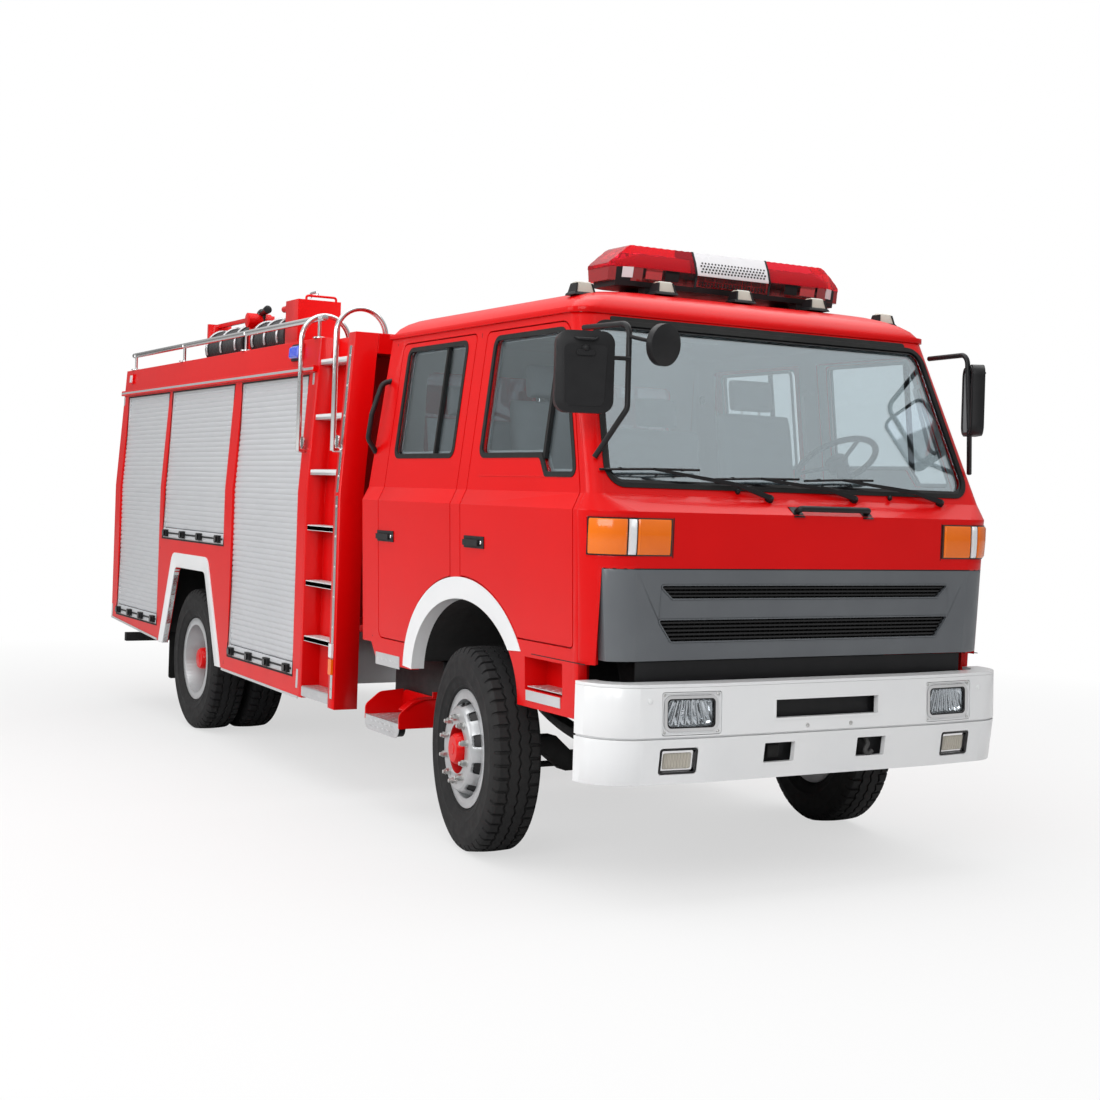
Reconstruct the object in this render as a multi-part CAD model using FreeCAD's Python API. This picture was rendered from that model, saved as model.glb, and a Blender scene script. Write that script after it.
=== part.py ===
"""Fire truck: a two-axle crew-cab water tender, built as separate pieces.

Millimetres. +X points forward, +Y to the truck's left, +Z up. The origin is on the ground,
midway along the truck and on its centre plane. The front wheels stand turned a little to the right.
"""
import FreeCAD, Part
import math
import os
from FreeCAD import Vector

# ---- overall layout ----
WHEELBASE = 4500.0
FRONT_OVERHANG = 1356.0          # front axle to the bumper's front face
REAR_OVERHANG = 2020.0           # rear axle to the body's rear face
TRUCK_LENGTH = FRONT_OVERHANG + WHEELBASE + REAR_OVERHANG
FRONT_AXLE = TRUCK_LENGTH / 2 - FRONT_OVERHANG
REAR_AXLE = FRONT_AXLE - WHEELBASE

# ---- clearances and gaps ----
GAP = 8.0                        # around a door, and under it
FIT = 1.0                        # between neighbouring pieces that are bolted up close
FLOOR_FIT = 5.0                  # from the cab's floor and wells out to its walls
SEAM = 2.0                       # glass in its frame

# ---- wheels and tyres ----
TYRE_RADIUS = 509.0
TYRE_WIDTH = 258.0
TREAD_WIDTH = 196.0
BEAD_RADIUS = 256.0
RIM_FLANGE_RADIUS = 294.0
RIM_WIDTH = 204.0
RIM_WALL = 10.0
KINGPIN_Y = 960.0
KINGPIN_OFFSET = 118.0           # kingpin to the middle of the front tyre
STEER_AT_REST = -7.5             # degrees, turned to the right as it stands
DUAL_SPACING = 292.0
DUAL_MID_Y = 901.0               # middle between the two tyres of one side
HUB_RADIUS = 112.0
HUB_CAP_RADIUS = 74.0
SPINDLE_RADIUS = 40.0
SPINDLE_CLEARANCE = 1.5
HAND_HOLES = 10
HAND_HOLE_CIRCLE = 222.0         # radius of the circle that the hand holes stand on
HAND_HOLE_RADIUS = 15.0
HAND_HOLE_HALF_ANGLE = 0.075     # radians from a hand hole's middle to each of its rounded ends
DISC_PLATE = 12.0
DISC_FACE_RADIUS = 198.0         # edge of the disc's flat bolting face
DISC_SLOPE_RADIUS = 240.0        # where the disc turns into the rim
DRUM_RADIUS = 208.0
DRUM_WALL = 14.0
SHOE_PLATE_RADIUS = 186.0

# ---- chassis ----
RAIL_Y = 430.0                   # outer face of a frame rail
RAIL_TOP = 950.0
RAIL_HEIGHT = 250.0
RAIL_FLANGE = 70.0
RAIL_PLATE = 10.0
RAIL_FRONT = 1000.0              # ahead of the front axle
AXLE_BEAM_TOP = 470.0
AXLE_BEAM_SECTION = 92.0
KINGPIN_RADIUS = 25.0
KINGPIN_BOSS_RADIUS = 48.0
SPRING_WIDTH = 76.0
SPRING_HALF_LENGTH = 640.0
AXLE_TUBE_RADIUS = 72.0
STEERING_ARM = 150.0
TIE_ROD_RADIUS = 16.0
TIE_ROD_DROP = 10.0              # from the top of the bar to the steering arm
STUD_RADIUS = 10.0
ENGINE_REAR = -820.0             # from the front axle
ENGINE_HALF_WIDTH = 290.0
ENGINE_LOW = 640.0
TIE_ROD_Z = 385.0           # middle of the bar
TOW_EYE_RADIUS = 18.0
TOW_EYE_LENGTH = 60.0
TOW_EYE_Y = 268.0
REAR_JAW_RADIUS = 22.0
REAR_JAW_LENGTH = 90.0
REAR_JAW_Z = 555.0
REAR_JAW_SETBACK = 30.0          # its pin, ahead of the rails' rear ends

TANK_REAR = -1390.0              # from the front axle
TANK_FRONT = -760.0
TANK_INNER_Y = 560.0
TANK_OUTER_Y = 955.0
TANK_LOW = 520.0
TANK_HIGH = 880.0
STRAP_WIDTH = 50.0
STEP_LENGTH = 470.0              # access steps behind the front wheels
STEP_FRONT = -800.0
STEP_LOW = 440.0
STEP_HIGH = 660.0
STEP_PLATE = 20.0

# ---- cab envelope: (height, half width, front and rear distance ahead of the front axle, corner radius) ----
CAB_WALL = 44.0
CAB_BOTTOM = 790.0
BELT_Z = 1725.0
SHOULDER_Z = 1800.0
CAB_EAVE_Z = 2640.0
CAB_HALF_WIDTH = 1195.0
CAB_FRONT = 1215.0
CAB_REAR = -1420.0
CAB_TUCK = 35.0                  # how far the sides draw in at the bottom
TUMBLEHOME = 135.0               # how far the sides lean in between belt and eave
SHOULDER_STEP = 35.0             # of that, taken at once above the belt
WINDSCREEN_FOOT = 1110.0         # ahead of the front axle, at the shoulder
WINDSCREEN_HEAD = 765.0          # at the eave
WINDSCREEN_EDGE = 44.0           # above its foot and below the roof
WINDSCREEN_FOOT_POST = 84.0      # width of the front posts
WINDSCREEN_HEAD_POST = 74.0
SIDE_SEAM_INSET = 185.0          # from the widest side in to the seam with the rear wall
CAB_CORNER = 60.0                # above the belt
BELT_CORNER = 205.0              # the front corners, from the belt down
ROOF_RISE = 140.0
ROOF_SHOULDER = 330.0            # width over which the roof curves up from its edge
CAB_FLOOR_TOP = 1120.0
CAB_PLATE = 20.0                 # thickness of floor, tunnel, liners and step wells
TUNNEL_HALF_WIDTH = 360.0
TUNNEL_TOP = 1480.0
LINER_INNER_Y = 600.0
LINER_BOTTOM = 870.0
STEP_WELL_Z = 965.0              # inside the rear doors
STEP_WELL_INNER_Y = 700.0
CUSHION_TOP = 1680.0
FRONT_SEAT_Y = 650.0
FRONT_SEAT_WIDTH = 520.0
FRONT_SEAT_BACK = -130.0
BENCH_WIDTH = 1960.0
BENCH_BACK = -1090.0
TUNNEL_REAR = -850.0
TUNNEL_FRONT = 620.0
STEP_WELL_FRONT = -800.0
DASHBOARD_INSET = 155.0          # from the widest side
STEERING_WHEEL_X = 560.0
STEERING_WHEEL_Z = 2000.0
STEERING_WHEEL_RADIUS = 215.0
STEERING_WHEEL_LEAN = 35.0       # degrees from level
COLUMN_RADIUS = 28.0
COLUMN_LENGTH = 400.0

# ---- cab openings, ahead of the front axle ----
FRONT_DOOR_FRONT = 1000.0
FRONT_DOOR_REAR = -143.0
REAR_DOOR_FRONT = -250.0
REAR_DOOR_REAR = -1170.0
DOOR_TOP = 2605.0
DOOR_BOTTOM = 1100.0
REAR_DOOR_BOTTOM = 960.0
DOOR_SKIN = 16.0                 # outer layer, full size
DOOR_REBATE = 22.0               # depth of the step in the frame that the skin lies in
DOOR_LIP = 26.0                  # how far the frame's inner edge stands inside the outline
WINDOW_SILL = 1975.0
WINDOW_LOW_SILL = 1885.0
WINDOW_TOP = 2560.0
GLASS = 6.0
ARCH_CENTRE = -130.0
ARCH_CENTRE_Z = 800.0
ARCH_HALF_LENGTH = 600.0
ARCH_HEIGHT = 450.0
ARCH_TRIM = 108.0                # width of the painted band round the arch

POCKET_REAR = 545.0              # step pocket in the wing
POCKET_FRONT = 900.0
POCKET_LOW = 872.0
POCKET_HIGH = 1025.0
POCKET_DEPTH = 150.0             # from the widest side
POCKET_PLATE = 12.0

# ---- bumper, grille and lamps ----
BUMPER_TOP = 972.0
BUMPER_BOTTOM = 530.0
BUMPER_HALF_WIDTH = 1198.0
BUMPER_REAR = 1072.0
BUMPER_WALL = 22.0
BUMPER_CORNER = 225.0
BUMPER_BOW = 45.0                # how far the ends stand back from the middle
BUMPER_TOP_PLATE = 14.0
BUMPER_TOP_DEPTH = 105.0
BUMPER_SEAM = 1.0                # gap between its two pressings, and under its top plate
BUMPER_RAKE = 28.0
BUMPER_FOLD_Z = 740.0            # widest height, where its groove runs
BUMPER_GROOVE = 9.0              # height and depth of the groove
BUMPER_SLOT_HALF = 306.0
BUMPER_SLOT = (798.0, 893.0)
TOW_HOLE_INNER_Y = 178.0
TOW_HOLE_OUTER_Y = 360.0
TOW_HOLE = (597.0, 697.0)
GRILLE_TOP = 1470.0
GRILLE_BOTTOM = 1060.0
GRILLE_HALF_WIDTH = CAB_HALF_WIDTH - 70.0
GRILLE_SLOTS = ((1140.0, 1248.0), (1333.0, 1402.0))      # lower and upper edge of each slot
GRILLE_SLOT_HALF = 868.0
GRILLE_SLOT_SLANT = 80.0         # how far a slot's ends draw in from top to bottom
LAMP_BOTTOM = 1530.0
LAMP_TOP = 1695.0
LAMP_INNER_Y = 800.0
HEADLAMP_Y = 753.0
HEADLAMP_Z = 842.0
HEADLAMP_WIDTH = 304.0
HEADLAMP_HEIGHT = 190.0
FOGLAMP_Y = 811.0
FOGLAMP_Z = 632.0
FOGLAMP_WIDTH = 190.0
FOGLAMP_HEIGHT = 116.0
LAMP_BACK = 1225.0               # ahead of the front axle: back of the bumper lamps

# ---- body, along X from the rear axle ----
BODY_HALF_WIDTH = 1235.0
BODY_FOLD_Z = 1750.0
BODY_TOP = 2700.0
BODY_LEAN = 65.0
BODY_WALL = 40.0
CAB_TO_BODY = 200.0
BODY_FRONT = WHEELBASE + CAB_REAR - CAB_TO_BODY     # front face of the front posts
BAY_LENGTH = 560.0
BAY_REAR = BODY_FRONT - BAY_LENGTH                  # the front bay and the boarding ladders end here
BAY_POST = 100.0
LADDER_DEPTH = 115.0
LADDER_BACK = 30.0
LADDER_CLOSING = 30.0            # plate between the side wall and the ladder
REAR_CORNER_Z = 651.0            # lower edge of the side, from rear to front
ARCH_REAR_FOOT_Z = 575.0
ARCH_FRONT_FOOT_Z = 533.0
FRONT_CORNER_Z = 500.0
REAR_ARCH_TOP = 1163.0
REAR_ARCH_REAR_TOP = -284.0      # from the rear axle
REAR_ARCH_FRONT_TOP = 416.0
REAR_ARCH_REAR_FOOT = -546.0
REAR_ARCH_FRONT_FOOT = 706.0
REAR_ARCH_BAND = 105.0
GUTTER_Z = BODY_TOP - 210.0
GUTTER_HEIGHT = 40.0
GUTTER_PROUD = 28.0
ROOF_DECK_TOP = BODY_TOP - 60.0
LOCKER_TOP = BODY_TOP - 230.0
REAR_LOCKER = (-1870.0, -730.0, 700.0)      # from the rear axle: rear edge, front edge, sill height
ARCH_LOCKER = (-640.0, 800.0, 1370.0)
FRONT_LOCKER = (960.0, BAY_REAR - 130.0, 630.0)
SHUTTER = 18.0
SHUTTER_RECESS = 16.0
BODY_DECK_PLATE = 40.0
BODY_DECK_Z = RAIL_TOP + FIT + BODY_DECK_PLATE
BODY_SKIRT_Y = 560.0
FLOOR_PLATE = 25.0
ROOF_PLATE = 30.0
HOUSING_RISE = 60.0              # wheel housing's roof above the arch
REAR_SHUTTER_HALF_WIDTH = 720.0
REAR_SHUTTER_SILL = 980.0

# ---- ladders, rails and roof load ----
TREADS = 6
TREAD_TOP_Z = BODY_TOP - 140.0
TREAD_PITCH = 335.0
TREAD_THICKNESS = 30.0
STEP_BOX_Z = 520.0
TUBE_RADIUS = 16.0
RAIL_Z = BODY_TOP + 122.0
HOOP_RADIUS = 155.0
HOOP_CENTRE_Z = BODY_TOP - 15.0
HOOP_FOOT_Z = BODY_TOP - 690.0
RACK_Y = 850.0
RACK_REAR = -630.0               # from the rear axle
RACK_FRONT = 1240.0
ROLL_RADIUS = 135.0
ROLL_CLEARANCE = 4.0

# ---- lamps and mirrors ----
LIGHT_BAR_X = 345.0              # ahead of the front axle
LIGHT_BAR_HALF_LENGTH = 718.0
LIGHT_BAR_DEPTH = 300.0
LIGHT_BAR_BOTTOM = 2820.0
LIGHT_BAR_TOP = 3035.0
MIRROR_LOOP_X = 1150.0
MIRROR_LOOP_Y = CAB_HALF_WIDTH - 195.0
MIRROR_WIDTH = 260.0
MIRROR_HEIGHT = 360.0
MIRROR_DEPTH = 60.0

BIG = 6000.0


# ---------- drawing helpers ----------

def spot(plane, a, b, c=0.0):
    """A point given in a plane's own two directions, and c along its normal."""
    if plane == "XZ":
        return Vector(a, c, b)
    if plane == "YZ":
        return Vector(c, a, b)
    return Vector(a, b, c)


def normal(plane, length):
    return spot(plane, 0, 0, length)


def outline(plane, points, radius=0.0, level=0.0):
    """A closed wire through the points, each corner rounded. A point may carry its own radius."""
    corners = [(Vector(p[0], p[1], 0), p[2] if len(p) > 2 else radius) for p in points]
    count = len(corners)
    starts = []
    for i, (here, r) in enumerate(corners):
        before = corners[i - 1][0] - here
        after = corners[(i + 1) % count][0] - here
        turn = before.getAngle(after)
        if r <= 0 or turn > math.pi - 1e-6:
            starts.append((here, None, here))
            continue
        before.normalize()
        after.normalize()
        back = r / math.tan(turn / 2)
        bisector = (before + after).normalize()
        middle = here + bisector * (r / math.sin(turn / 2) - r)
        starts.append((here + before * back, middle, here + after * back))
    edges = []
    for i, (enter, middle, leave) in enumerate(starts):
        if middle is not None:
            arc = [spot(plane, p.x, p.y, level) for p in (enter, middle, leave)]
            edges.append(Part.Arc(*arc).toShape())
        following = starts[(i + 1) % count][0]
        if leave.distanceToPoint(following) > 1e-6:
            a = spot(plane, leave.x, leave.y, level)
            b = spot(plane, following.x, following.y, level)
            edges.append(Part.makeLine(a, b))
    return Part.Wire(edges)


def prism(plane, points, low, high, radius=0.0):
    """The outline pushed along the plane's normal from low to high."""
    face = Part.Face(outline(plane, points, radius, low))
    return face.extrude(normal(plane, high - low))


def block(x0, x1, y0, y1, z0, z1):
    low = Vector(min(x0, x1), min(y0, y1), min(z0, z1))
    return Part.makeBox(abs(x1 - x0), abs(y1 - y0), abs(z1 - z0), low)


def rod(start, end, radius):
    start = Vector(*start)
    path = Vector(*end) - start
    return Part.makeCylinder(radius, path.Length, start, path)


def tube_path(points, bend, radius):
    """A round bar along straight runs with bent corners."""
    nodes = [Vector(*p) for p in points]
    edges = []
    at = nodes[0]
    for i in range(1, len(nodes) - 1):
        here = nodes[i]
        before = (nodes[i - 1] - here).normalize()
        after = (nodes[i + 1] - here).normalize()
        turn = before.getAngle(after)
        back = bend / math.tan(turn / 2)
        enter = here + before * back
        leave = here + after * back
        middle = here + (before + after).normalize() * (bend / math.sin(turn / 2) - bend)
        if enter.distanceToPoint(at) > 1e-6:
            edges.append(Part.makeLine(at, enter))
        edges.append(Part.Arc(enter, middle, leave).toShape())
        at = leave
    edges.append(Part.makeLine(at, nodes[-1]))
    path = Part.Wire(edges)
    ring = Part.Wire(Part.makeCircle(radius, nodes[0], nodes[1] - nodes[0]))
    return path.makePipeShell([ring], True, False)


def mirrored(shape):
    return shape.mirror(Vector(0, 0, 0), Vector(0, 1, 0))


def both_sides(shape):
    return [shape, mirrored(shape)]


def fuse(shapes):
    whole = shapes[0].multiFuse(shapes[1:]) if len(shapes) > 1 else shapes[0]
    return whole.removeSplitter()


def cut(shape, tools):
    for tool in tools:
        shape = shape.cut(tool)
    return shape


def pivoted(shape, pivot, degrees):
    """The shape turned about an upright line through pivot (x, y)."""
    turned = shape.copy()
    turned.rotate(Vector(pivot[0], pivot[1], 0), Vector(0, 0, 1), degrees)
    return turned


def revolved(profile, centre):
    """A closed profile of (distance along Y, radius) points, turned about the Y line through centre."""
    wire = Part.makePolygon([Vector(centre.x, centre.y + w, centre.z + r) for w, r in profile + profile[:1]])
    return Part.Face(wire).revolve(centre, Vector(0, 1, 0), 360)


# ---------- wheels ----------

def tyre(centre):
    """A tyre with rounded shoulders and full sidewalls, as a plain ring."""
    half = TYRE_WIDTH / 2
    seat = RIM_WIDTH / 2 - RIM_WALL - FIT
    wide = TYRE_RADIUS - 108
    ring = []
    for side in (-1, 1):
        bulge = [Vector(centre.x, centre.y + side * w, centre.z + r) for w, r in (
            (RIM_WIDTH / 2, RIM_FLANGE_RADIUS + 3 * FIT), (half, wide), (TREAD_WIDTH / 2 + 18, TYRE_RADIUS - 30))]
        edge = Vector(centre.x, centre.y + side * TREAD_WIDTH / 2, centre.z + TYRE_RADIUS - 6)
        inner = Vector(centre.x, centre.y + side * seat, centre.z + BEAD_RADIUS)
        step = Vector(centre.x, centre.y + side * seat, centre.z + RIM_FLANGE_RADIUS + 3 * FIT)
        run = [Part.makeLine(inner, step), Part.makeLine(step, bulge[0]), Part.Arc(*bulge).toShape(),
               Part.makeLine(bulge[2], edge)]
        ring.append((run, inner, edge))
    crown = Vector(centre.x, centre.y, centre.z + TYRE_RADIUS)
    tread = Part.Arc(ring[0][2], crown, ring[1][2]).toShape()
    bead = Part.makeLine(ring[0][1], ring[1][1])
    edges = Part.sortEdges(ring[0][0] + [tread] + ring[1][0] + [bead])[0]
    return Part.Face(Part.Wire(edges)).revolve(centre, Vector(0, 1, 0), 360)


def rim(centre):
    """The rolled rim that the tyre sits on."""
    half = RIM_WIDTH / 2
    seat = BEAD_RADIUS - FIT
    profile = [(-half, RIM_FLANGE_RADIUS), (-half + RIM_WALL, RIM_FLANGE_RADIUS), (-half + RIM_WALL, seat),
               (half - RIM_WALL, seat), (half - RIM_WALL, RIM_FLANGE_RADIUS), (half, RIM_FLANGE_RADIUS),
               (half, seat - RIM_WALL), (-half, seat - RIM_WALL)]
    return revolved(profile, centre)


def disc(centre, out, rim_w, face_w, opening):
    """The pressed disc between rim and hub. out is +1 or -1 along Y, and face_w is its bolting face."""
    well = BEAD_RADIUS - FIT - RIM_WALL / 2
    near_rim = rim_w + 0.3 * (face_w - rim_w)
    near_face = face_w - DISC_PLATE if face_w > rim_w else face_w + DISC_PLATE
    shape = [(rim_w, well), (near_rim, DISC_SLOPE_RADIUS), (near_face, DISC_FACE_RADIUS + 14), (face_w, DISC_FACE_RADIUS),
             (face_w, opening)]
    profile = [(out * w, r) for w, r in shape] + [(out * (w - DISC_PLATE), r) for w, r in reversed(shape)]
    body = revolved(profile, centre)
    for i in range(HAND_HOLES):
        angle = 2 * math.pi * (i + 0.5) / HAND_HOLES
        ends = []
        for swing in (-HAND_HOLE_HALF_ANGLE, 0.0, HAND_HOLE_HALF_ANGLE):
            across = Vector(math.cos(angle + swing), 0, math.sin(angle + swing)) * HAND_HOLE_CIRCLE
            ends.append(Part.makeCylinder(HAND_HOLE_RADIUS, 400, centre + across - Vector(0, 200, 0), Vector(0, 1, 0)))
        body = cut(body, ends)
    return body


def hub(centre, out, back, face, cap):
    """The red hub: a cup round the spindle, closed by its cap."""
    bore = SPINDLE_RADIUS + SPINDLE_CLEARANCE
    profile = [(back, bore), (back, HUB_RADIUS), (face, HUB_RADIUS), (face, HUB_CAP_RADIUS + 8), (cap - 12, HUB_CAP_RADIUS),
               (cap, HUB_CAP_RADIUS - 12), (cap, 0.0), (face + 6, 0.0), (face + 6, bore)]
    return revolved([(out * w, r) for w, r in profile], centre)


def drum(centre, out, mouth, back):
    """The brake drum, open towards the middle of the truck."""
    lining = DRUM_RADIUS - DRUM_WALL
    profile = [(mouth, DRUM_RADIUS), (back, DRUM_RADIUS), (back, HUB_RADIUS - 4), (back - 12, HUB_RADIUS - 4),
               (back - 12, lining), (mouth, lining)]
    return revolved([(out * w, r) for w, r in profile], centre)


FRONT_DISC_FACE = 145.0          # the front disc bulges out past the rim
FRONT_DISC_OPENING = 122.0       # radius of the hole in its middle
FRONT_HUB_BACK = -12.0
FRONT_HUB_BELL = 130.0           # outer radius where the hub widens towards its flange
FRONT_FLANGE_RADIUS = 184.0      # the flange that the disc bolts to
FRONT_FLANGE = 20.0
FRONT_HUB_RECESS = 52.0          # depth of the ring sunk round the cap
FRONT_HUB_CAP = 167.0
SPINDLE_END = 70.0


def front_hub(centre, out):
    """The front hub: a bell behind the disc, with a flange for the disc and a sunk ring round its cap."""
    bore = SPINDLE_RADIUS + SPINDLE_CLEARANCE
    face = FRONT_DISC_FACE - DISC_PLATE + 1
    flange = face - FRONT_FLANGE
    floor = face - FRONT_HUB_RECESS
    profile = [(FRONT_HUB_BACK, bore), (FRONT_HUB_BACK, HUB_RADIUS), (SPINDLE_END - 30, HUB_RADIUS),
               (SPINDLE_END - 10, FRONT_HUB_BELL), (flange, FRONT_HUB_BELL), (flange, FRONT_FLANGE_RADIUS),
               (face, FRONT_FLANGE_RADIUS), (face, FRONT_DISC_OPENING), (floor, FRONT_DISC_OPENING - 4),
               (floor, HUB_CAP_RADIUS + 8), (FRONT_HUB_CAP - 12, HUB_CAP_RADIUS), (FRONT_HUB_CAP, HUB_CAP_RADIUS - 12),
               (FRONT_HUB_CAP, 0.0), (SPINDLE_END + 10, 0.0), (SPINDLE_END + 10, bore)]
    return revolved([(out * w, r) for w, r in profile], centre)


def front_wheel(side):
    """Tyre and wheel of one front corner, standing straight ahead."""
    centre = Vector(FRONT_AXLE, side * (KINGPIN_Y + KINGPIN_OFFSET), TYRE_RADIUS)
    metal = fuse([rim(centre), disc(centre, side, 10.0, FRONT_DISC_FACE, FRONT_DISC_OPENING), front_hub(centre, side),
                  drum(centre, side, -58.0, 0.0)])
    return tyre(centre), metal


def rear_wheels(side):
    """The twin wheels of one rear corner, bolted back to back on one hub."""
    middle = Vector(REAR_AXLE, side * DUAL_MID_Y, TYRE_RADIUS)
    half = DUAL_SPACING / 2
    outer = middle + Vector(0, side * half, 0)
    inner = middle - Vector(0, side * half, 0)
    opening = HUB_RADIUS - 8
    metal = fuse([rim(outer), rim(inner), disc(outer, side, -30.0, 12 - half, opening),
                  disc(inner, -side, -30.0, 12 - half, opening),
                  hub(middle, side, -150.0, 96.0, 150.0), drum(middle, side, -190.0, -60.0)])
    tyres = Part.makeCompound([tyre(outer), tyre(inner)])
    return tyres, metal


def knuckle(side):
    """Steering knuckle: kingpin with its two ears, backing plate, spindle and steering arm."""
    x = FRONT_AXLE
    y = side * KINGPIN_Y
    low, boss_low, boss_high, high = 404.0, 440.0, 578.0, 614.0
    ear = KINGPIN_BOSS_RADIUS
    plate_in, plate_out = KINGPIN_BOSS_RADIUS + 6, KINGPIN_BOSS_RADIUS + 34
    pieces = [Part.makeCylinder(KINGPIN_RADIUS, high - low, Vector(x, y, low))]
    for bottom, top in ((low, boss_low - 6), (boss_high + 6, high)):
        pieces.append(Part.makeCylinder(ear, top - bottom, Vector(x, y, bottom)))
        pieces.append(block(x - ear, x + ear, y, y + side * (plate_in + 4), bottom, top))
    pieces.append(block(x - 80, x + 80, y + side * plate_in, y + side * plate_out, low, high))
    pieces.append(rod((x, y + side * (KINGPIN_OFFSET - 60), TYRE_RADIUS),
                      (x, y + side * (KINGPIN_OFFSET - 48), TYRE_RADIUS), SHOE_PLATE_RADIUS))
    pieces.append(rod((x, y + side * plate_in, TYRE_RADIUS),
                      (x, y + side * (KINGPIN_OFFSET + SPINDLE_END), TYRE_RADIUS), SPINDLE_RADIUS))
    arm_low = TIE_ROD_Z + TIE_ROD_RADIUS + TIE_ROD_DROP
    pieces.append(block(x - STEERING_ARM - 28, x, y - 24, y + 24, arm_low, arm_low + 24))
    body = fuse(pieces)
    eye = Part.makeCylinder(STUD_RADIUS + FIT, 200, Vector(x - STEERING_ARM, y, 300))
    return body.cut(eye)


def tie_rod():
    """Joins the two steering arms, with a ball stud at each end."""
    x = FRONT_AXLE - STEERING_ARM
    pieces = [rod((x, -KINGPIN_Y, TIE_ROD_Z), (x, KINGPIN_Y, TIE_ROD_Z), TIE_ROD_RADIUS)]
    head = TIE_ROD_RADIUS + 3
    for side in (-1, 1):
        pieces.append(Part.makeCylinder(25, 2 * head, Vector(x, side * KINGPIN_Y, TIE_ROD_Z - head)))
        pieces.append(Part.makeCylinder(STUD_RADIUS, 40 + TIE_ROD_DROP, Vector(x, side * KINGPIN_Y, TIE_ROD_Z)))
    return fuse(pieces)


# ---------- chassis ----------

def frame_rails():
    """Two channel rails with cross members, bumper arms, front tow eyes and the rear tow jaw."""
    rear = REAR_AXLE - REAR_OVERHANG + BODY_WALL + 60
    front = FRONT_AXLE + RAIL_FRONT
    low = RAIL_TOP - RAIL_HEIGHT
    inner = RAIL_Y - RAIL_FLANGE
    channel = [(RAIL_Y, low), (RAIL_Y, RAIL_TOP), (inner, RAIL_TOP), (inner, RAIL_TOP - RAIL_PLATE),
               (RAIL_Y - RAIL_PLATE, RAIL_TOP - RAIL_PLATE), (RAIL_Y - RAIL_PLATE, low + RAIL_PLATE),
               (inner, low + RAIL_PLATE), (inner, low)]
    rail = prism("YZ", channel, rear, front)
    pieces = both_sides(rail)
    for x in (rear + 5, REAR_AXLE - 760, REAR_AXLE + 760, REAR_AXLE + 1900, FRONT_AXLE + RAIL_FRONT - 65):
        pieces.append(block(x, x + 60, -RAIL_Y + 5, RAIL_Y - 5, low + 30, RAIL_TOP - 30))
    arm = block(front - 40, FRONT_AXLE + 1300, RAIL_Y - 70, RAIL_Y - 10, 720, 900)
    eye_front = FRONT_AXLE + 1296
    eye_z = 645.0
    eye = block(front - 60, eye_front, TOW_EYE_Y - 32, TOW_EYE_Y + 32, eye_z - TOW_EYE_LENGTH / 2,
                eye_z + TOW_EYE_LENGTH / 2)
    drop = block(front - 60, front - 5, TOW_EYE_Y - 32, RAIL_Y - 20, eye_z - TOW_EYE_LENGTH / 2, 740)
    bore = Part.makeCylinder(TOW_EYE_RADIUS, 400, Vector(eye_front - 40, TOW_EYE_Y, eye_z - 200))
    for piece in (arm, eye.cut(bore), drop):
        pieces += both_sides(piece)
    jaw_x = rear + REAR_JAW_SETBACK
    jaw = block(rear - 50, rear + 120, -55, 55, REAR_JAW_Z, REAR_JAW_Z + REAR_JAW_LENGTH)
    jaw = jaw.cut(Part.makeCylinder(REAR_JAW_RADIUS, 400, Vector(jaw_x, 0, 400)))
    pieces += [jaw, block(jaw_x + REAR_JAW_RADIUS + 6, rear + 130, -120, 120, REAR_JAW_Z + 30, low + 60)]
    for x in (FRONT_AXLE - 1300, FRONT_AXLE + 880):
        post = block(x, x + 60, RAIL_Y - 70, RAIL_Y, RAIL_TOP - 5, CAB_FLOOR_TOP - CAB_PLATE - FIT)
        pieces += both_sides(post)
    return fuse(pieces)


def front_axle():
    """Forged beam, dropped between the springs, with a bored boss for each kingpin."""
    half = AXLE_BEAM_SECTION / 2
    outer = KINGPIN_Y - 20
    profile = [(-outer, 470), (-760, 470), (-640, AXLE_BEAM_TOP - AXLE_BEAM_SECTION), (640, 378), (760, 470),
               (outer, 470), (outer, 560), (700, 560), (600, AXLE_BEAM_TOP), (-600, AXLE_BEAM_TOP), (-700, 560),
               (-outer, 560)]
    beam = prism("YZ", profile, FRONT_AXLE - half, FRONT_AXLE + half)
    pieces = [beam]
    for side in (-1, 1):
        pieces.append(Part.makeCylinder(KINGPIN_BOSS_RADIUS, 138, Vector(FRONT_AXLE, side * KINGPIN_Y, 440)))
    body = fuse(pieces)
    for side in (-1, 1):
        body = body.cut(Part.makeCylinder(KINGPIN_RADIUS + 0.5, 300, Vector(FRONT_AXLE, side * KINGPIN_Y, 350)))
    return body


def leaf_pack(x, mid_low, mid_high, end_z):
    """One bowed leaf spring with its hangers, under a frame rail."""
    top = RAIL_TOP - RAIL_HEIGHT
    thick = mid_high - mid_low
    reach = SPRING_HALF_LENGTH
    low_arc = [Vector(x - reach, 0, end_z), Vector(x, 0, mid_low), Vector(x + reach, 0, end_z)]
    high_arc = [Vector(x + reach, 0, end_z + thick / 2), Vector(x, 0, mid_high), Vector(x - reach, 0, end_z + thick / 2)]
    edges = [Part.Arc(*low_arc).toShape(), Part.makeLine(low_arc[2], high_arc[0]), Part.Arc(*high_arc).toShape(),
             Part.makeLine(high_arc[2], low_arc[0])]
    leaf = Part.Face(Part.Wire(edges)).extrude(Vector(0, SPRING_WIDTH, 0))
    pieces = [leaf]
    for end in (-1, 1):
        at = x + end * (reach - 35)
        pieces.append(block(at - 30, at + 30, 0, SPRING_WIDTH, end_z + thick / 4, top))
    pack = fuse(pieces)
    pack.translate(Vector(0, RAIL_Y - SPRING_WIDTH - 4, 0))
    return pack


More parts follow.
